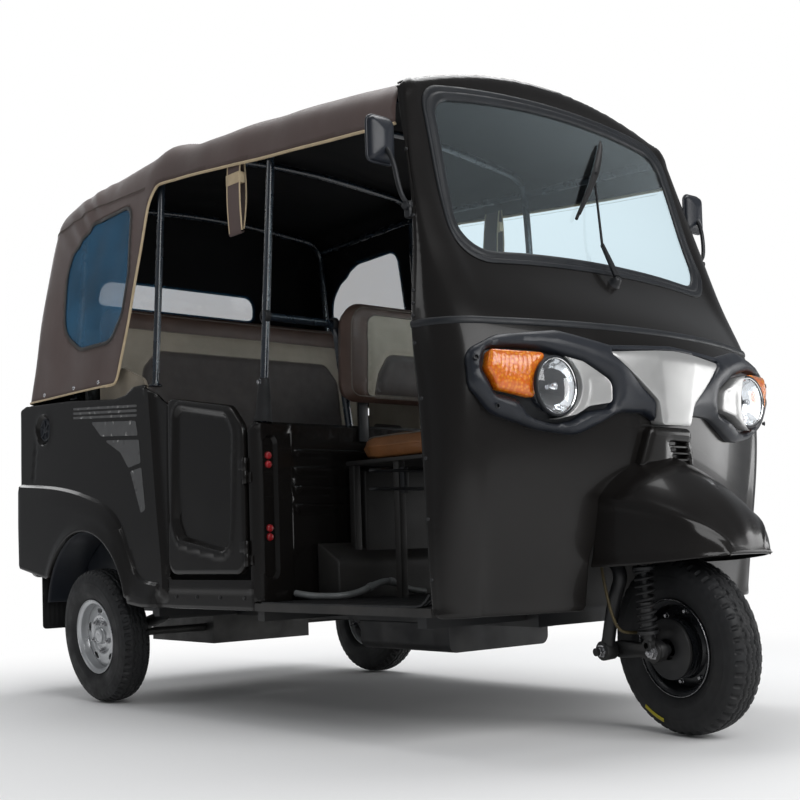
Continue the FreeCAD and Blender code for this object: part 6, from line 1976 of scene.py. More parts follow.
def tyre(name, joint, body, node_name, side, knobs):
    centre, axis, across, up = wheel_frame(joint, side)
    half = smooth_path(TYRE_SIDE, 0.0034, 2)
    shape = np.vstack([half * [-1, 1], half[-2::-1]])
    us, rs = shape[:, 0], shape[:, 1]
    turns = 288
    angle = around(turns)
    a, u = np.meshgrid(angle, us, indexing="ij")
    r = np.tile(rs, (turns, 1))
    zig = 0.0035 * (2 * np.abs((a * 36 / math.pi) % 2 - 1) - 1)
    tread = ease((r - 0.232) / 0.006)
    groove = np.maximum(bump(np.abs(u) - 0.0165 - zig * np.sign(u), 0.0032), 0.6 * bump(u - zig, 0.0026))
    phase = (a * knobs / (2 * math.pi) + 0.5 * (u > 0) + 2.0 * np.abs(u)) % 1
    slot = ease((np.abs(phase - 0.5) - 0.26) / 0.05) * ease((np.abs(u) - 0.0285) / 0.004)
    sipe = 0.4 * bump(((a * knobs / math.pi + 8 * u) % 1) - 0.5, 0.1) * (np.abs(u) < 0.026)
    cut = np.maximum(np.maximum(groove, slot), sipe) * 0.0065 * tread
    beads = 0.001 * bump(r - 0.2, 0.003) + 0.0012 * bump(r - 0.166, 0.0035) + 0.0008 * bump(r - 0.158, 0.0025)
    flank = 0.001 * (phase > 0.45) * bump(r - 0.219, 0.01)
    r2 = r - cut
    u2 = u + np.sign(u) * (beads + flank) - np.sign(u) * 0.25 * cut * (np.abs(u) > 0.04)
    ring = np.cos(a)[..., None] * across + np.sin(a)[..., None] * up
    form = Form()
    points = centre + u2[..., None] * axis + r2[..., None] * ring
    form.grid(points, round_u=True, flip=True)
    lathe(form, mm((42.5, 128), (40.5, 140), (46, 164), (48, 195), (40, 228), (0, 238), (-40, 228),
                   (-48, 195), (-46, 164), (-40.5, 140), (-42.5, 128)), centre, axis, 72, flip=True)
    form.make(name, body, M["tyre"], "tyre", [node_name], sharp=34)


RIM_DISH = mm((0, 20), (30, 20), (44, 18.5), (52, 15), (60, 15), (66, 20), (74, 22.5), (82, 18), (96, 16.5),
              (106, 18), (112, 13), (120.5, 11))


def wheel_rim(name, joint, body, node_name, side, shade, slot, holes=5):
    centre, axis, across, up = wheel_frame(joint, side)
    form = Form()
    lathe(form, mm((10, 119), (20, 122.2), (30, 123.2), (37, 124.2), (40, 126.2), (41.8, 130), (43.2, 134.5),
                   (45.5, 137.2), (48, 137.8), (49.2, 136.8), (49.2, 135.2), (47.8, 135), (45.2, 133),
                   (44, 129), (42.5, 125), (39.5, 121.5), (30, 119.8), (18, 118.8),
                   (13, 116.5)), centre, axis, 96, flip=True)
    lathe(form, mm((10, 119), (-20, 120), (-33, 122.5), (-40, 126.2), (-41.8, 130), (-43.2, 134.5),
                   (-45.5, 137.2), (-48, 137.8), (-49.2, 136.8), (-49.2, 135.2), (-45.2, 133),
                   (-44, 129), (-42.5, 125), (-38, 120.5), (-20, 117.8), (8, 117)), centre, axis, 96)
    flat = Flat(centre, across, up, axis)
    turn = around(96)
    edge = circle(turn, 0.1195)
    cuts, rings = [], []
    for k in range(holes):
        a = 2 * math.pi * k / holes + 0.3
        o = around(28)
        radial, along = 0.093 + 0.0095 * np.cos(o), 0.019 * np.sin(o)
        cuts.append(np.stack([radial * math.cos(a) - along * math.sin(a),
                              radial * math.sin(a) + along * math.cos(a)], 1))
    for r in (0.048, 0.052, 0.06, 0.064, 0.07, 0.078, 0.108, 0.113):
        rings.append(circle(np.append(turn, 0), r))
    knots = np.array(RIM_DISH)

    def height(uv):
        d = np.hypot(uv[:, 0], uv[:, 1])
        lip = np.zeros(len(uv))
        for cut in cuts:
            lip = np.maximum(lip, bump(distance(uv, cut), 0.006))
        return np.interp(d, knots[:, 0], knots[:, 1]) + 0.0014 * lip

    # With across x up = -axis, the face order is turned to face outwards.
    panel(form, edge, flat, height, cuts, rings, step=0.01, thickness=0.0035, edge=0.0012, flip=True)
    form.make(name, body, M[shade], slot, [node_name], sharp=36)
    # Wheel nuts on their studs, and the hub cap.
    nuts = Form()
    for k in range(5):
        a = 2 * math.pi * (k + 0.5) / 5 + 0.3
        spot = centre + 0.056 * (math.cos(a) * across + math.sin(a) * up) + axis * 0.0155
        lathe(nuts, mm((-2, 12.5), (2, 12.5), (3, 9.8), (11, 9.8), (13, 8), (13, 5), (18, 4.8), (19, 3.6),
                       (19.1, 0.1)), spot, axis, 6)
    nuts.make(name + "_nuts", body, M["steel"], slot, sharp=30)
    cap = Form()
    lathe(cap, mm((17, 33), (24, 32.5), (26.2, 30), (33, 29.2), (35.2, 27), (36.2, 22), (34, 20.5),
                  (33.8, 10), (35.5, 8), (36, 0.1)), centre, axis, 48, flip=True)
    cap.make(name + "_cap", body, M[shade], slot, sharp=36)


def wheels():
    for side_name, side in SIDES:
        joint, body = "rear_wheel_%s_spin" % side_name, "rear_wheel_" + side_name
        tyre("tyre_rear_" + side_name, joint, body, "rear_tyre_" + side_name, side, 54)
        wheel_rim("wheel_rear_" + side_name, joint, body, "rear_rim_" + side_name, side, "rim", "rim_silver")
    tyre("tyre_front", "front_wheel_spin", "front_wheel", "front_tyre", 1, 48)
    wheel_rim("wheel_front", "front_wheel_spin", "front_wheel", "front_rim", 1, "rim_black", "rim_black", 8)
    centre, axis, across, up = wheel_frame("front_wheel_spin", 1)
    # Front hub on the fork's side: a drum with cooling ribs and two rings of bolts.
    drum = Form()
    lathe(drum, mm((-4, 116), (-7, 112), (-11, 90), (-20, 82), (-21, 85), (-26, 85), (-27, 82), (-32, 82),
                   (-33, 85), (-38, 85), (-39, 82), (-44, 82), (-45, 85), (-52, 85), (-53, 83),
                   (-53, 78), (-48, 77), (-48, 65), (-43, 63), (-43, 44), (-49, 42), (-50, 30), (-46, 28),
                   (-46, 20), (-4, 19)), centre, axis, 72)
    drum.make("front_drum", "front_wheel", M["rim_black"], "rim_black", sharp=32)
    bolts = Form()
    for k in range(8):
        a = 2 * math.pi * k / 8 + 0.2
        spot = centre - axis * 0.0085 + 0.101 * (math.cos(a) * across + math.sin(a) * up)
        lathe(bolts, mm((1, 8.5), (-2, 8.5), (-2.6, 6.6), (-8, 6.6), (-9, 5),
                        (-9.1, 0.1)), spot, axis, 6, flip=True)
    for k in range(5):
        a = 2 * math.pi * k / 5 + 0.5
        spot = centre - axis * 0.0425 + 0.0535 * (math.cos(a) * across + math.sin(a) * up)
        lathe(bolts, mm((1, 7), (-4, 7), (-4.6, 5.6), (-6, 4), (-6.1, 0.1)), spot, axis, 6, flip=True)
    bolts.make("front_drum_bolts", "front_wheel", M["steel"], "rim_black", sharp=30)
    # A bright edge line round the near lip, and a blank paper label on the tyre.
    line = Form()
    turn = around(120)
    ring = centre - axis * 0.0494 + 0.136 * (np.cos(turn)[:, None] * across + np.sin(turn)[:, None] * up)
    tube(line, ring, 0.001, 6, closed=True)
    line.make("front_rim_line", "front_wheel", M["steel"], "rim_black")
    rows = []
    for a in np.linspace(4.98, 5.36, 14):
        row = []
        for r in np.linspace(0.207, 0.219, 4):
            u = -np.interp(r, [0.188, 0.206, 0.2215, 0.233], [0.059, 0.0578, 0.0545, 0.05]) - 0.0012
            row.append(centre + u * axis + r * (math.cos(a) * across + math.sin(a) * up))
        rows.append(row)
    paper = Form()
    paper.grid(np.array(rows), flip=True)
    made = paper.make("tyre_label_blank", "front_wheel", M["label"], "tyre", sharp=0)
    thicken(made, 0.0003, 0)


# ---- Steering ------------------------------------------------------------------------------

STEER = joints["steering"]
FOOT, STEER_AXIS = np.array(STEER["pos_m"], float), unit(STEER["axis"])
PARKED = math.radians(-10.6)
ARM_X = -0.128


def steered(form):
    """Turns points built straight ahead to the parked angle."""
    turn = np.array(Matrix.Rotation(PARKED, 3, Vector(STEER_AXIS)))
    form.points = [(p - FOOT) @ turn.T + FOOT for p in form.points]
    return form


def on_axis(z):
    return FOOT + STEER_AXIS * (z / STEER_AXIS[2])


def steering_gear():
    y = FRONT_AXLE
    ax = on_axis(0.52)[1]
    pivot = np.array([ARM_X - 0.012, y + 0.174, 0.246])
    form = Form()
    lathe(form, mm((0, 21), (2, 22), (440, 22), (441, 19), (455, 19), (456, 0.1)), on_axis(0.535),
          STEER_AXIS, 32, flip=True)
    lathe(form, mm((0, 30), (4, 34), (30, 34), (36, 24)), on_axis(0.545), STEER_AXIS, 32, flip=True)
    block(form, (-0.15, ax - 0.03, 0.52), (0.04, ax + 0.026, 0.546), 0.008)
    block(form, (-0.142, ax - 0.022, 0.512), (-0.114, ax + 0.03, 0.554), 0.008)
    path = smooth_path([(ARM_X, ax + 0.005, 0.532), (ARM_X - 0.004, y + 0.085, 0.47),
                        (ARM_X - 0.01, y + 0.122, 0.4),
                        (ARM_X - 0.012, y + 0.15, 0.32), pivot], 0.012)
    tube(form, path, np.interp(np.linspace(0, 1, len(path)), [0, 0.12, 0.9, 1], [0.023, 0.02, 0.019, 0.022]), 20)
    tube(form, path + [0.0185, 0, 0], 0.003, 8)
    lathe(form, mm((-20, 15), (-20, 26.5), (-18, 28), (18, 28), (20, 26.5), (20, 15)), pivot, X, 32, flip=True)
    ear = rounded([(ax - 0.02, 0.524, 0.004), (ax - 0.02, 0.546, 0.004), (y - 0.03, 0.546, 0.012),
                   (y - 0.038, 0.518, 0.012),
                   (y + 0.014, 0.516, 0.01)], 0.006)
    for x in (ARM_X - 0.018, ARM_X + 0.014):
        panel(form, ear, plane_x(x, -1), step=0.02, thickness=0.0045, edge=0.001, flip=True)
    steered(form).make("fork_leg", "steering", M["iron"], "black_metal", ["steering_fork"], sharp=40)

    # Leading link: a forged arm from the pivot to the axle, with the brake plate on its inside.
    form = Form()
    arm = rounded([(y - 0.034, 0.236, 0.02), (y - 0.03, 0.27, 0.02),
                   (y + 0.01, 0.283, 0.03), (y + 0.06, 0.268, 0.04),
                   (y + 0.15, 0.272, 0.03), (y + 0.196, 0.262, 0.024),
                   (y + 0.2, 0.232, 0.024), (y + 0.15, 0.222, 0.03),
                   (y + 0.06, 0.23, 0.04), (y + 0.006, 0.213, 0.03)], 0.005)
    field = moved_in(arm, 0.01)
    face = plane_x(ARM_X + 0.01, -1)
    panel(form, arm, face, lambda uv: -0.004 * ease(depth_in(uv, field) / 0.005), lines=[looped(field)],
          step=0.008, thickness=0.016, edge=0.003, flip=True)
    lathe(form, mm((-40, 0.1), (-40, 11.5), (20, 12), (20, 0.1)), pivot + [-0.004, 0, 0], X, 24, flip=True)
    hub = np.array([ARM_X, y, 0.2489])
    lathe(form, mm((2, 20), (4, 29), (10, 30), (32, 30), (34, 16), (58, 16)), hub, X, 32, flip=True)
    lathe(form, mm((56, 30), (57, 62), (58.5, 66), (58.5, 80), (60, 85.5), (62, 86.2), (68, 86.2), (68, 20),
                   (140, 16), (140, 0.1)), hub, X, 72, flip=True)
    tube(form, np.array([(ARM_X + 0.03, y + 0.066, 0.29), (ARM_X + 0.058, y + 0.06, 0.29)]), 0.012, 16)
    block(form, (ARM_X + 0.05, y + 0.04, 0.276), (ARM_X + 0.062, y + 0.078, 0.31), 0.004)
    steered(form).make("link_forging", "steering", M["iron"], "black_metal", ["link_arm"], sharp=38)
    form = Form()
    for spot, size in ((hub + [0.002, 0, 0], 0.0165), (pivot + [-0.022, 0, 0], 0.0145)):
        lathe(form, [(0.004, size * 1.35), (-0.001, size * 1.35), (-0.0015, size),
                     (-0.011, size), (-0.0135, size * 0.82),
                     (-0.0136, 0.0001)], spot, X, 6, flip=True)
        lathe(form, [(-0.012, size * 0.45), (-0.02, size * 0.45), (-0.0215, size * 0.3),
                     (-0.0216, 0.0001)], spot, X, 16, flip=True)
    steered(form).make("link_bolts", "steering", M["steel"], "black_metal", sharp=30)

    # Shock absorber: coil spring round a damper, with cups and eyes.
    low, high = np.array([ARM_X - 0.002, y + 0.006, 0.268]), np.array([ARM_X - 0.002, y + 0.002, 0.512])
    along = unit(high - low)
    form = Form()
    lathe(form, mm((10, 13.5), (30, 13.5), (30, 19), (120, 19), (122, 17), (124, 9.5), (215, 9.5), (216, 14),
                   (236, 14)), low, along, 28, flip=True)
    for at, sign in ((0.036, 1), (0.216, -1)):
        lathe(form, [(-0.004 * sign, 0.018), (-0.004 * sign, 0.0285), (-0.002 * sign, 0.03), (0.006 * sign, 0.03),
                     (0.007 * sign, 0.0285), (0.001 * sign, 0.027), (0.001 * sign,
                             0.018)], low + along * at, along, 36, flip=sign > 0)
    for spot in (low, high - along * 0.004):
        lathe(form, mm((-12, 9), (-12, 16.5), (-10, 18), (10, 18), (12, 16.5), (12, 9)), spot, X, 28, flip=True)
    steered(form).make("shock_damper", "steering", M["iron"], "black_metal", ["front_shock"], sharp=36)
    turns = 8.5
    t = np.linspace(0, 1, 300)
    a = t * turns * 2 * math.pi
    side = unit(np.cross(along, [1.0, 0, 0]))
    other = np.cross(along, side)
    rise = 0.043 + 0.166 * t
    path = low + rise[:, None] * along + 0.024 * (np.cos(a)[:, None] * side + np.sin(a)[:, None] * other)
    form = Form()
    tube(form, path, 0.0042, 9)
    steered(form).make("shock_spring", "steering", M["rubber"], "black_metal")

    # Brake cable in its wound guard, down the fork to the brake plate.
    path = smooth_path([(-0.151, y + 0.125, 0.533), (-0.176, y + 0.12, 0.528), (-0.19, y + 0.108, 0.5),
                        (-0.192, y + 0.096, 0.43),
                        (-0.19, y + 0.082, 0.36), (-0.176, y + 0.074, 0.312), (-0.14, y + 0.066,
                                0.3), (-0.072, y + 0.062, 0.3)], 0.0016, 3)
    wound = 0.0046 + 0.0006 * np.cos(np.arange(len(path)) * 2 * math.pi / 3)
    form = Form()
    tube(form, path, wound, 8)
    steered(form).make("brake_cable_guard", "steering", M["cable"], "cable", ["brake_cable"], sharp=0)

    # Handlebar with rubber grips, levers and a clamp.
    bar = on_axis(0.935)
    points = [(-0.3, bar[1] + 0.06, bar[2] + 0.02), (-0.15, bar[1] + 0.02, bar[2] + 0.012),
              (0.15, bar[1] + 0.02, bar[2] + 0.012),
              (0.3, bar[1] + 0.06, bar[2] + 0.02)]
    form = Form()
    tube(form, smooth_path(points, 0.02), 0.0115, 16)
    lathe(form, mm((0, 23), (0, 33), (2, 34), (58, 34), (60, 33), (60, 23)), on_axis(0.92),
          STEER_AXIS, 32, flip=True)
    for s in (-1, 1):
        grip = np.array([s * 0.19, bar[1] + 0.0305, bar[2] + 0.0141])
        lever = smooth_path([grip + [0, -0.004, -0.01], grip + [s * 0.015, -0.03, -0.016],
                             grip + [s * 0.06, -0.034, -0.014],
                             grip + [s * 0.1, -0.02, -0.01]], 0.008)
        tube(form, lever, np.linspace(0.006, 0.0035, len(lever)), 10)
    steered(form).make("handlebar_tube", "steering", M["iron"], "black_metal", ["handlebar"], sharp=40)
    form = Form()
    for s in (-1, 1):
        along = unit([-s * 0.15, -0.04, -0.008])
        start = np.array([s * 0.3, bar[1] + 0.06, bar[2] + 0.02])
        profile = mm((-4, 0.1), (-4, 17), (-1, 18.5))
        profile += [(0.006 + 0.0035 * k, 0.0165 + 0.001 * (k % 2)) for k in range(28)] + [(0.108, 0.018),
                (0.112, 0.012)]
        lathe(form, profile, start, along, 24, flip=True)
    steered(form).make("handlebar_grips", "steering", M["rubber"], "black_metal", sharp=50)


wheels()
steering_gear()

# ---- Cabin: partition, seats, posts and floor ------------------------------------------------

def partition():
    face = plane_y(mid(-0.0062), -1)
    w, low, top = HALF - 0.002, SILL + 0.026, SILL + 0.59
    outline = rect((-w, low), (w, top), 0.004, 0.016, 0.014)
    ribs = [SILL + rise for rise in (0.322, 0.38, 0.44, 0.497)]
    grooves = [SILL + rise for rise in (0.194, 0.255, 0.54)]
    slots = [rect((s * 0.63 - 0.027, 0.455), (s * 0.63 + 0.027, 0.912), 0.026, 0.026, 0.01) for s in (-1, 1)]

    def height(uv):
        x, z = np.abs(uv[:, 0]), uv[:, 1]
        across = ease((HALF - 0.152 - x) / 0.012)
        out = np.full_like(x, 0.002)
        for rib in ribs:
            d = z - rib
            out += 0.012 * across * ease((d + 0.018) / 0.024) * ease((0.014 - d) / 0.005)
        for groove in grooves:
            out -= 0.003 * across * bump(z - groove, 0.005)
        out += 0.007 * ease((x - (HALF - 0.146)) / 0.006)
        out -= 0.02 * ease((x - (HALF - 0.034)) / 0.034) ** 2
        for slot in slots:
            out -= 0.013 * ease((depth_in(uv, slot) + 0.001) / 0.009)
        return out + 0.004 * bump(z - top + 0.006, 0.01)

    lines = [np.array([(-0.545, z + dz), (0.545, z + dz)]) for z in ribs for dz in (-0.018, -0.006, 0.006, 0.0095,
            0.014)]
    lines += [looped(moved_in(slot, by)) for slot in slots for by in (-0.001, 0.004, 0.008)]
    lines += [np.array([(s * (HALF - k), low), (s * (HALF - k), top)])
              for s in (-1, 1) for k in (0.148, 0.14, 0.03, 0.015)]
    form = Form()
    panel(form, outline, face, height, lines=lines, step=0.02, thickness=0.014, edge=0.004, back_slot=1)
    path = np.column_stack([np.linspace(-w + 0.01, w - 0.01, 40), np.full(40, mid(0.0)), np.full(40, top - 0.002)])
    tube(form, path, 0.0062, 12)
    for s in (-1, 1):
        for rise in (0.18, 0.44):
            lathe(form, DOOR_HINGE,
                  (s * 0.696, mid(0.032), SILL + rise - 0.0405), Z, 20)
            block(form, (s * 0.685, mid(0.004), SILL + rise - 0.036),
                  (s * 0.693, mid(0.028), SILL + rise - 0.006), 0.0015)
    form.make("partition_sheet", "vehicle", [M["paint"], M["inner"]], "body_paint", ["partition"], sharp=38)
    plugs = Form()
    for s in (-1, 1):
        for z in (0.847, 0.819, 0.618, 0.59):
            lathe(plugs, mm((-6, 12.5), (1, 12.5), (5, 11), (7, 8), (7.2, 0.1)),
                  (s * 0.63, mid(-0.0062) + 0.004, z), FORWARD, 24)
    plugs.make("pillar_plugs", "vehicle", M["plug"], "red_lens")


FILL, SOFT = 0.8, 0.16  # the cushions' fill, and how far in from the edge their crown rises


def pillow(name, node_name, outline, face, depth, radius, crown, areas, shade, slot, step=0.014):
    """A stuffed cushion: crowned front, rounded edges, seams pressed in, and its flat back."""
    pressed = [looped(line) for line in areas]

    def height(uv):
        out = crown * ease(distance(uv, outline) / SOFT)
        for line in pressed:
            d = distance(uv, line, False)
            out = out - 0.005 * bump(d, 0.013) + 0.0022 * bump(d - 0.022, 0.02)
        u, v = uv[:, 0], uv[:, 1]
        waves = np.sin(u * 23 + 3 * np.sin(v * 11)) * np.sin(v * 19 + 2 * np.sin(u * 9 + 1))
        rim = ease(distance(uv, outline) / 0.03)
        pull = np.sin((u + v) * 95 + 2 * np.sin(u * 17))
        near = np.ones(len(uv))
        for line in pressed:
            near = np.minimum(near, distance(uv, line, False) / 0.05)
        return out + 0.0014 * waves * rim + 0.0006 * pull * rim * (1 - ease(near))

    form = Form()
    panel(form, outline, face, height, lines=pressed, step=step, edge=radius, back=False)
    points = np.vstack(form.points)
    uv = np.stack([(points - face.origin) @ face.u, (points - face.origin) @ face.v], 1)
    centres = np.array([uv[list(f)].mean(0) for f in form.faces])
    kinds = np.zeros(len(centres), int)
    for index, line in enumerate(areas, 1):
        kinds[inside(centres, line)] = index
    form.slots = kinds.tolist()
    back = Flat(face.origin - depth * face.out, face.u, face.v, -face.out)
    panel(form, outline, back, lambda uv: 0.003 * ease(distance(uv, outline) / SOFT), step=step * 1.6,
          edge=radius, flip=True, back=False)
    loop = spaced(outline, step * 0.6, True)
    normal = moved_in(loop, -1) - loop
    rows = []
    for t in np.linspace(0, 1, 7):
        h = -radius - t * (depth - 2 * radius)
        swell = 0.0035 * math.sin(math.pi * t)
        rows.append(face.lift(*(loop + normal * swell).T, np.full(len(loop), h)))
    form.grid(np.array(rows), round_v=True, flip=True)
    made = form.make(name, "vehicle", [M[key] for key in shade], slot, [node_name], sharp=60, padded=FILL)
    mesh = bmesh.new()
    mesh.from_mesh(made.data)
    bmesh.ops.remove_doubles(mesh, verts=mesh.verts, dist=0.0008)
    bmesh.ops.recalc_face_normals(mesh, faces=mesh.faces)
    mesh.to_mesh(made.data)
    mesh.free()
    cords = Form()
    for line in [looped(moved_in(outline, radius * 0.45))] + pressed:
        line = spaced(line, 0.008)
        d = distance(line, outline)
        drop = radius * (1 - np.sqrt(np.maximum(0, 1 - np.clip(1 - d / radius, 0, 1) ** 2)))
        tube(cords, face.raised(line, height(line) - drop + 0.0012), 0.0021, 7)
    cords.make(name + "_piping", "vehicle", M["thread"], slot)


def seats():
    # Bench: backrest in brown, a beige field and a rounded dark centre.
    w = HALF - 0.07
    outline = rect((-w, 0.945), (w, 1.49), 0.03, 0.06, 0.009)
    beige = rect((-0.59, 0.975), (0.59, 1.414), 0.02, 0.03, 0.009)
    dark = rounded(mm((-480, 982, 20), (480, 982, 20), (492, 1085, 30), (474, 1262, 60), (410, 1334, 60),
                      (-410, 1334, 60), (-474, 1262, 60), (-492, 1085, 30)), 0.009)
    pillow("bench_back_pad", "passenger_backrest", outline, plane_y(rear(0.012), -1),
           0.086, 0.03, 0.01, [beige, dark], ("brown", "beige", "centre"), "seat_brown")
    w = HALF - 0.062
    outline = rect((-w, rear(-0.328)), (w, rear(0.014)), 0.05, 0.02, 0.009)
    field = rect((-0.5, rear(-0.285)), (0.5, rear(-0.02)), 0.04, 0.02, 0.009)
    pillow("bench_seat_pad", "passenger_cushion", outline, plane_z(0.918),
           0.122, 0.032, 0.012, [field], ("brown", "centre"), "seat_brown")
    # Driver: backrest in the same three colours over a tan seat.
    outline = rounded(mm((-368, 1030, 50), (368, 1030, 50), (360, 1352, 80), (-360, 1352, 80)), 0.008)
    beige = rounded(mm((-290, 1046, 20), (290, 1046, 20), (284, 1316, 45), (-284, 1316, 45)), 0.008)
    dark = rounded(mm((-258, 1050, 10), (258, 1050, 10), (242, 1120, 50), (205, 1186, 50),
                      (-205, 1186, 50), (-242, 1120, 50)), 0.008)
    pillow("driver_back_pad", "driver_backrest", outline, plane_y(mid(-0.092), -1),
           0.076, 0.03, 0.01, [beige, dark], ("brown", "beige", "centre"), "seat_brown", step=0.012)
    half = [(0.18, mid(-0.044), 0.06), (0.3, mid(-0.075), 0.08), (0.366, mid(-0.185), 0.08),
            (0.366, mid(-0.43), 0.08), (0.31, mid(-0.497), 0.06)]
    outline = rounded([(-x, y, r) for x, y, r in half[::-1]] + half, 0.008)[::-1]
    field = moved_in(outline, 0.075)
    pillow("driver_seat_pad", "driver_seat_cushion", outline, plane_z(0.902),
           0.07, 0.03, 0.01, [field], ("tan", "tan"), "tan", step=0.012)


def seat_base():
    form = Form()
    wedge = rounded([(mid(-0.02), SILL + 0.0262, 0.004), (mid(-0.02), SILL + 0.213, 0.004),
                     (mid(-0.134), SILL + 0.148, 0.008),
                     (mid(-0.134), SILL + 0.0262, 0.004)], 0.008)
    for s in (-1, 1):
        panel(form, wedge, plane_x(s * 0.46, s), step=0.03, thickness=0.46, edge=0.005, flip=s < 0)
    block(form, (-0.352, mid(-0.485), 0.816), (0.352, mid(-0.042), 0.8295), 0.004)
    for x in (-0.33, 0.33):
        for y in (-0.285, -0.062):
            block(form, (x - 0.014, mid(y - 0.014), SILL + 0.026 if y < -0.1 else SILL + 0.17),
                  (x + 0.014, mid(y + 0.014), 0.818), 0.004)
    block(form, (-0.3, mid(-0.08), SILL + 0.16), (0.3, mid(-0.04), 0.8), 0.006)
    form.make("seat_box", "vehicle", M["floor_paint"], "floor_paint", ["driver_seat_base"], sharp=45)
    form = Form()
    for z in (0.784, 0.727):
        loop = smooth_path([(-0.462, mid(-0.3), z), (-0.456, mid(-0.314), z),
                            (-0.43, mid(-0.318), z), (0.43, mid(-0.318), z),
                            (0.456, mid(-0.314), z), (0.462, mid(-0.3), z)], 0.01)
        tube(form, loop, 0.0052, 12)
    for x in (-0.33, 0.33):
        block(form, (x - 0.01, mid(-0.32), 0.715), (x + 0.01, mid(-0.298), 0.796), 0.003)
    form.make("seat_bars", "vehicle", M["iron"], "floor_paint")
    form = Form()
    for x in (-0.25, 0.25):
        block(form, (x - 0.02, mid(-0.0195), 0.9), (x + 0.02, mid(-0.0125), 1.14), 0.002)
    form.make("backrest_brackets", "vehicle", M["iron"], "frame_paint")


def cabin_details():
    # Rubber boots and bolts at the feet of the front posts; flanges on the guard rails.
    boots, bolts = Form(), Form()
    for s in (-1, 1):
        foot = np.array([s * (HALF - 0.046), mid(0), 0.951])
        along = unit([-s * 0.062, 0, 0.975])
        lathe(boots, mm((1, 29), (6, 30), (12, 27.5), (80, 22), (135, 17.5), (140, 16),
                        (141, 13)), foot, along, 32, flip=True)
        lathe(bolts, mm((-4, 10), (1, 10), (1.5, 7.8), (8, 7.8), (9.5, 6), (9.6, 0.1)),
              foot + along * 0.128 + [s * 0.017, 0, 0], (s, 0, 0), 6)
        for x in (0.624, 0.352):
            lathe(boots, mm((-10, 13.5), (-10, 19), (-6, 21.5), (6, 21.5), (10, 19), (10, 13.5)),
                  (s * x, mid(0.0), BELT + 0.15), X, 28, flip=True)
    boots.make("post_boots", "vehicle", M["rubber"], "rubber")
    bolts.make("post_bolts", "vehicle", M["steel"], "frame_paint", sharp=30)
    # Floor: ribbed mat, sill strips and a pipe beside the seat box.
    mat = Form()
    us = np.linspace(-0.64, 0.64, 257)
    vs = np.linspace(front(0.345), mid(-0.03), 40)
    x, y = np.meshgrid(us, vs, indexing="ij")
    rib = 0.0022 * ease(np.cos(x * 2 * math.pi / 0.02) * 0.9 + 0.55)
    rim = np.minimum(np.minimum(0.64 - np.abs(x), y - vs[0]), vs[-1] - y)
    z = SILL + 0.0245 + 0.0024 * ease(rim / 0.004) + rib * ease((rim - 0.01) / 0.006)
    mat.grid(np.stack([x, y, z], -1))
    mat.make("floor_mat", "vehicle", M["rubber"], "rubber", sharp=45)
    strips = Form()
    for s in (-1, 1):
        for inset, r in ((0.006, 0.0042), (0.026, 0.003), (0.038, 0.003)):
            path = smooth_path([(s * (HALF - inset), mid(-0.03), SILL + 0.0255),
                                (s * (HALF - inset), front(0.38), SILL + 0.0255),
                                (s * (HALF - inset - 0.004), front(0.345),
                                 SILL + 0.03), (s * (HALF - inset - 0.01), front(0.325), SILL + 0.06)], 0.02)
            tube(strips, path, r, 8)
    strips.make("sill_strips", "vehicle", M["iron"], "black_metal")
    pipe = Form()
    path = smooth_path([(-0.555, mid(-0.03), 0.41), (-0.545, mid(-0.09), 0.402), (-0.52, mid(-0.15), 0.4),
                        (-0.48, mid(-0.18), 0.4), (-0.42, mid(-0.19), 0.41), (-0.366, mid(-0.198), 0.432),
                        (-0.32, mid(-0.206), 0.442), (-0.285, mid(-0.212), 0.428), (-0.24, mid(-0.218), 0.408),
                        (-0.18, mid(-0.222), 0.4)], 0.008, 3)
    tube(pipe, path, 0.0105, 14)
    for k in (0.55, 0.72):
        i = int(k * len(path))
        along = unit(path[i + 1] - path[i])
        lathe(pipe, mm((-8, 10), (-8, 13), (8, 13), (8, 10)), path[i], along, 18, flip=True)
    pipe.make("floor_pipe", "vehicle", M["pipe"], "black_metal")


def bent(corners):
    """A centre line through corners, each rounded to its own radius."""
    points = [np.array(row[:3], float) for row in corners]
    path = [points[0]]
    for before, at, after, row in zip(points, points[1:], points[2:], corners[1:]):
        a, b = unit(before - at), unit(after - at)
        half = 0.5 * math.acos(float(np.clip(a @ b, -1, 1)))
        reach = min(row[3] / math.tan(half), 0.48 * np.linalg.norm(before - at),
                    0.48 * np.linalg.norm(after - at))
        first, last = at + a * reach, at + b * reach
        pull = at * 0.94 + (first + last) * 0.03
        for t in np.linspace(0, 1, 13):
            path.append((1 - t) ** 2 * first + 2 * t * (1 - t) * pull + t * t * last)
    path.append(points[-1])
    return spaced(np.array(path), 0.03)


def hoop(y, base_inset, base_z, top_inset, drop, crown):
    """A hoop from one body side over the cabin to the other."""
    low, high = HALF - base_inset, HALF - top_inset
    return [(-low, y, base_z, 0), (-high, y, ROOF - drop, 0.09), (0, y, ROOF - crown, 4.0),
            (high, y, ROOF - drop, 0.09), (low, y, base_z, 0)]


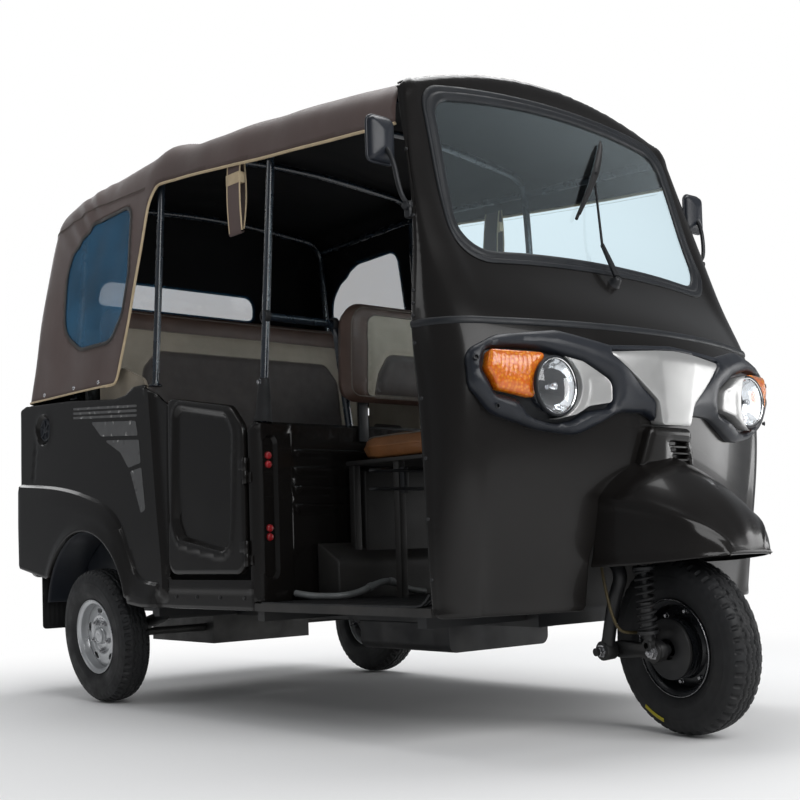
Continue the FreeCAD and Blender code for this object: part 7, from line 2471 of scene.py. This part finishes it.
def tube_frame():
    form = Form()
    runs = [hoop(mid(0), 0.046, SILL + 0.591, 0.108, 0.064, -0.012),
            hoop(rear(-0.37), 0.052, BELT + 0.003, 0.1, 0.004, -0.046),
            hoop(rear(0.24), 0.052, BELT + 0.018, 0.116, 0.064, 0.02)]
    for s in (-1, 1):
        runs.append([(s * (HALF - 0.12), front(0.512), ROOF - 0.16, 0),
                     (s * (HALF - 0.101), mid(0), ROOF - 0.12, 0.9),
                     (s * (HALF - 0.101), rear(-0.37), ROOF - 0.08, 0.9),
                     (s * (HALF - 0.112), rear(0.24), ROOF - 0.105, 0)])
        runs.append([(s * (HALF - 0.066), mid(0), BELT + 0.15, 0),
                     (s * (HALF - 0.345), mid(0), BELT + 0.15, 0.04),
                     (s * (HALF - 0.393), mid(0), SILL + 0.5922, 0)])
    for run in runs:
        tube(form, bent(run), 0.013, 20)
    # Welded ring at each crossing and a foot plate under each post.
    for y, z in ((mid(0), ROOF - 0.12), (rear(-0.37), ROOF - 0.08), (rear(0.24), ROOF - 0.105)):
        for s in (-1, 1):
            lathe(form, mm((-12, 12.8), (-8, 16), (8, 16), (12, 12.8)),
                  (s * (HALF - 0.101), y, z), Y, 20, flip=True)
    for y, x, z in ((rear(-0.37), HALF - 0.052, BELT + 0.003), (rear(0.24), HALF - 0.052, BELT + 0.018)):
        for s in (-1, 1):
            lathe(form, mm((0, 0.1), (0, 23), (3, 24), (6, 23), (10, 15), (22, 13.5)),
                  (s * x, y, z - 0.004), Z, 24, flip=True)
    form.make("cabin_tubes", "vehicle", M["pole"], "frame_paint", ["tube_frame"], sharp=50)


def side_boards():
    """Cloth-covered boards on the inside of both body sides, beside the bench."""
    board = rounded([(rear(-0.335), 0.93, 0.03), (rear(0.004), 0.93, 0.01), (rear(0.004), 1.236, 0.02),
                     (rear(-0.18), 1.228, 0.05),
                     (rear(-0.335), 1.168, 0.05)], 0.01)
    dark = rounded([(rear(-0.225), 0.955, 0.02), (rear(-0.02), 0.955, 0.01), (rear(-0.02), 1.09, 0.03),
                    (rear(-0.225), 1.06, 0.03)], 0.01)
    form = Form()
    face = plane_x(0.645, -1)
    panel(form, board, face, lambda uv: 0.003 * ease(distance(uv, board) / 0.03) - 0.0025 * bump(distance(uv,
            dark), 0.008), lines=[looped(dark)], step=0.014, thickness=0.01, edge=0.004, flip=True)
    points = np.vstack(form.points)
    form.slots = [int(inside(points[list(f)].mean(0)[None, 1:], dark)[0]) for f in form.faces]
    right = mirrored(form)
    right.make("side_board_right", "vehicle", [M["beige"], M["centre"]], "seat_brown", sharp=50)
    form.make("side_board_left", "vehicle", [M["beige"], M["centre"]], "seat_brown", sharp=50)


partition()
seats()
seat_base()
cabin_details()
tube_frame()
side_boards()

# ---- Stage, light and camera -------------------------------------------------------------

FLOOR_R, FADE_FROM, FADE_TO = 14, 1.6, 3.4  # the floor's shadows fade into white between these radii


def seen_directly(tree):
    """1 for rays from the camera, straight or through glass, and 0 for all others."""
    ray, most = tree.nodes.new("ShaderNodeLightPath"), tree.nodes.new("ShaderNodeMath")
    most.operation = "MAXIMUM"
    tree.links.new(ray.outputs["Is Camera Ray"], most.inputs[0])
    tree.links.new(ray.outputs["Is Transmission Ray"], most.inputs[1])
    return most.outputs[0]


def studio():
    """The white floor and world, and five plain soft lights."""
    backdrop = bpy.data.materials.new("stage_floor")
    backdrop.use_nodes = True
    t, links = backdrop.node_tree.nodes, backdrop.node_tree.links
    diffuse = t["Principled BSDF"]
    diffuse.inputs["Base Color"].default_value = (0.86, 0.86, 0.86, 1)
    diffuse.inputs["Roughness"].default_value = 0.9
    diffuse.inputs["Specular IOR Level"].default_value = 0.0
    glow = t.new("ShaderNodeEmission")
    glow.inputs["Strength"].default_value = 1.0
    place = t.new("ShaderNodeTexCoord")
    length = t.new("ShaderNodeVectorMath")
    length.operation = "LENGTH"
    links.new(place.outputs["Object"], length.inputs[0])
    fade = t.new("ShaderNodeMapRange")
    fade.interpolation_type = "SMOOTHSTEP"
    fade.inputs["From Min"].default_value, fade.inputs["From Max"].default_value = FADE_FROM, FADE_TO
    links.new(length.outputs["Value"], fade.inputs["Value"])
    both = t.new("ShaderNodeMath")
    both.operation = "MULTIPLY"
    links.new(seen_directly(backdrop.node_tree), both.inputs[0])
    links.new(fade.outputs[0], both.inputs[1])
    mix = t.new("ShaderNodeMixShader")
    links.new(both.outputs[0], mix.inputs[0])
    links.new(diffuse.outputs[0], mix.inputs[1])
    links.new(glow.outputs[0], mix.inputs[2])
    links.new(mix.outputs[0], t["Material Output"].inputs["Surface"])
    mesh = bpy.data.meshes.new("stage_floor")
    ring = np.column_stack([circle(around(64), FLOOR_R), np.zeros(64)])
    mesh.from_pydata(ring.tolist(), [], [tuple(range(64))])
    mesh.materials.append(backdrop)
    floor = bpy.data.objects.new("stage_floor", mesh)
    scene.collection.objects.link(floor)
    floor.location.z = -0.0015

    world = bpy.data.worlds.new("studio")
    scene.world = world
    world.use_nodes = True
    w, wl = world.node_tree.nodes, world.node_tree.links
    soft = w["Background"]
    soft.inputs["Color"].default_value = (0.93, 0.96, 1.0, 1)
    soft.inputs["Strength"].default_value = 0.24
    white = w.new("ShaderNodeBackground")
    white.inputs["Color"].default_value = (1, 1, 1, 1)
    white.inputs["Strength"].default_value = 1.0
    mix = w.new("ShaderNodeMixShader")
    wl.new(seen_directly(world.node_tree), mix.inputs[0])
    wl.new(soft.outputs[0], mix.inputs[1])
    wl.new(white.outputs[0], mix.inputs[2])
    wl.new(mix.outputs[0], w["World Output"].inputs["Surface"])

    def softbox(name, spot, target, size, power):
        data = bpy.data.lights.new(name, "AREA")
        data.shape, data.size, data.size_y, data.energy = "RECTANGLE", size[0], size[1], power
        lamp = bpy.data.objects.new(name, data)
        scene.collection.objects.link(lamp)
        lamp.location = spot
        lamp.rotation_euler = (Vector(target) - Vector(spot)).to_track_quat("-Z", "Y").to_euler()

    softbox("key", (-0.8, -5.8, 3.7), (0, -0.4, 0.9), (5.0, 3.4), 250)
    softbox("overhead", (0.9, 0.9, 5.4), (0.3, 0.2, 1.0), (4.2, 3.6), 190)
    softbox("fill", (4.6, -3.0, 1.3), (0, -0.4, 0.9), (2.6, 1.8), 65)
    softbox("back", (0.5, 5.4, 3.2), (0, 0.6, 1.0), (3.5, 2.2), 80)
    softbox("side", (-4.6, 1.8, 3.6), (0, 0.4, 1.0), (2.6, 0.8), 16)


def camera():
    """The main view's camera, from the front right."""
    spot = (-2.9495, FRONT_AXLE - 2.213, 0.563)
    yaw, pitch, roll = 0.71809, 0.042959, -0.029453
    forward = np.array([math.sin(yaw) * math.cos(pitch), math.cos(yaw) * math.cos(pitch), math.sin(pitch)])
    flat = np.array([math.cos(yaw), -math.sin(yaw), 0])
    up = np.cross(flat, forward)
    right = math.cos(roll) * flat + math.sin(roll) * up
    above = -math.sin(roll) * flat + math.cos(roll) * up
    data = bpy.data.cameras.new("camera")
    data.sensor_width, data.lens = 36, 57.68
    data.shift_x, data.shift_y = -0.0124, 0.1079
    cam = bpy.data.objects.new("camera", data)
    scene.collection.objects.link(cam)
    cam.matrix_world = Matrix([
        *((right[k], above[k], -forward[k], spot[k]) for k in range(3)),
        (0, 0, 0, 1),
    ])
    scene.camera = cam


def plain_nodes():
    """CAD pieces whose shape already shows the real part get its finish."""
    finish = {
        "body_paint": "paint", "trim_black": "trim", "silver": "silver", "glass": "glass", "seal": "seal",
        "lamp": "chrome", "amber": "amber", "red_lens": "red", "black_metal": "iron", "frame_paint": "pole",
        "floor_paint": "floor_paint", "cloth": "cloth", "film": "film", "seat_brown": "brown", "tan": "tan",
        "tyre": "tyre", "rim_silver": "rim", "rim_black": "rim_black", "engine_metal": "cast",
        "rubber": "rubber", "cable": "cable",
    }
    for part in frame["record"]["subparts"]:
        obj = nodes[part["node"]]
        if not obj.hide_render:
            obj.data.materials.clear()
            obj.data.materials.append(M[finish[part["material_slot"]]])


plain_nodes()
studio()
camera()
scene.view_settings.view_transform = "Standard"
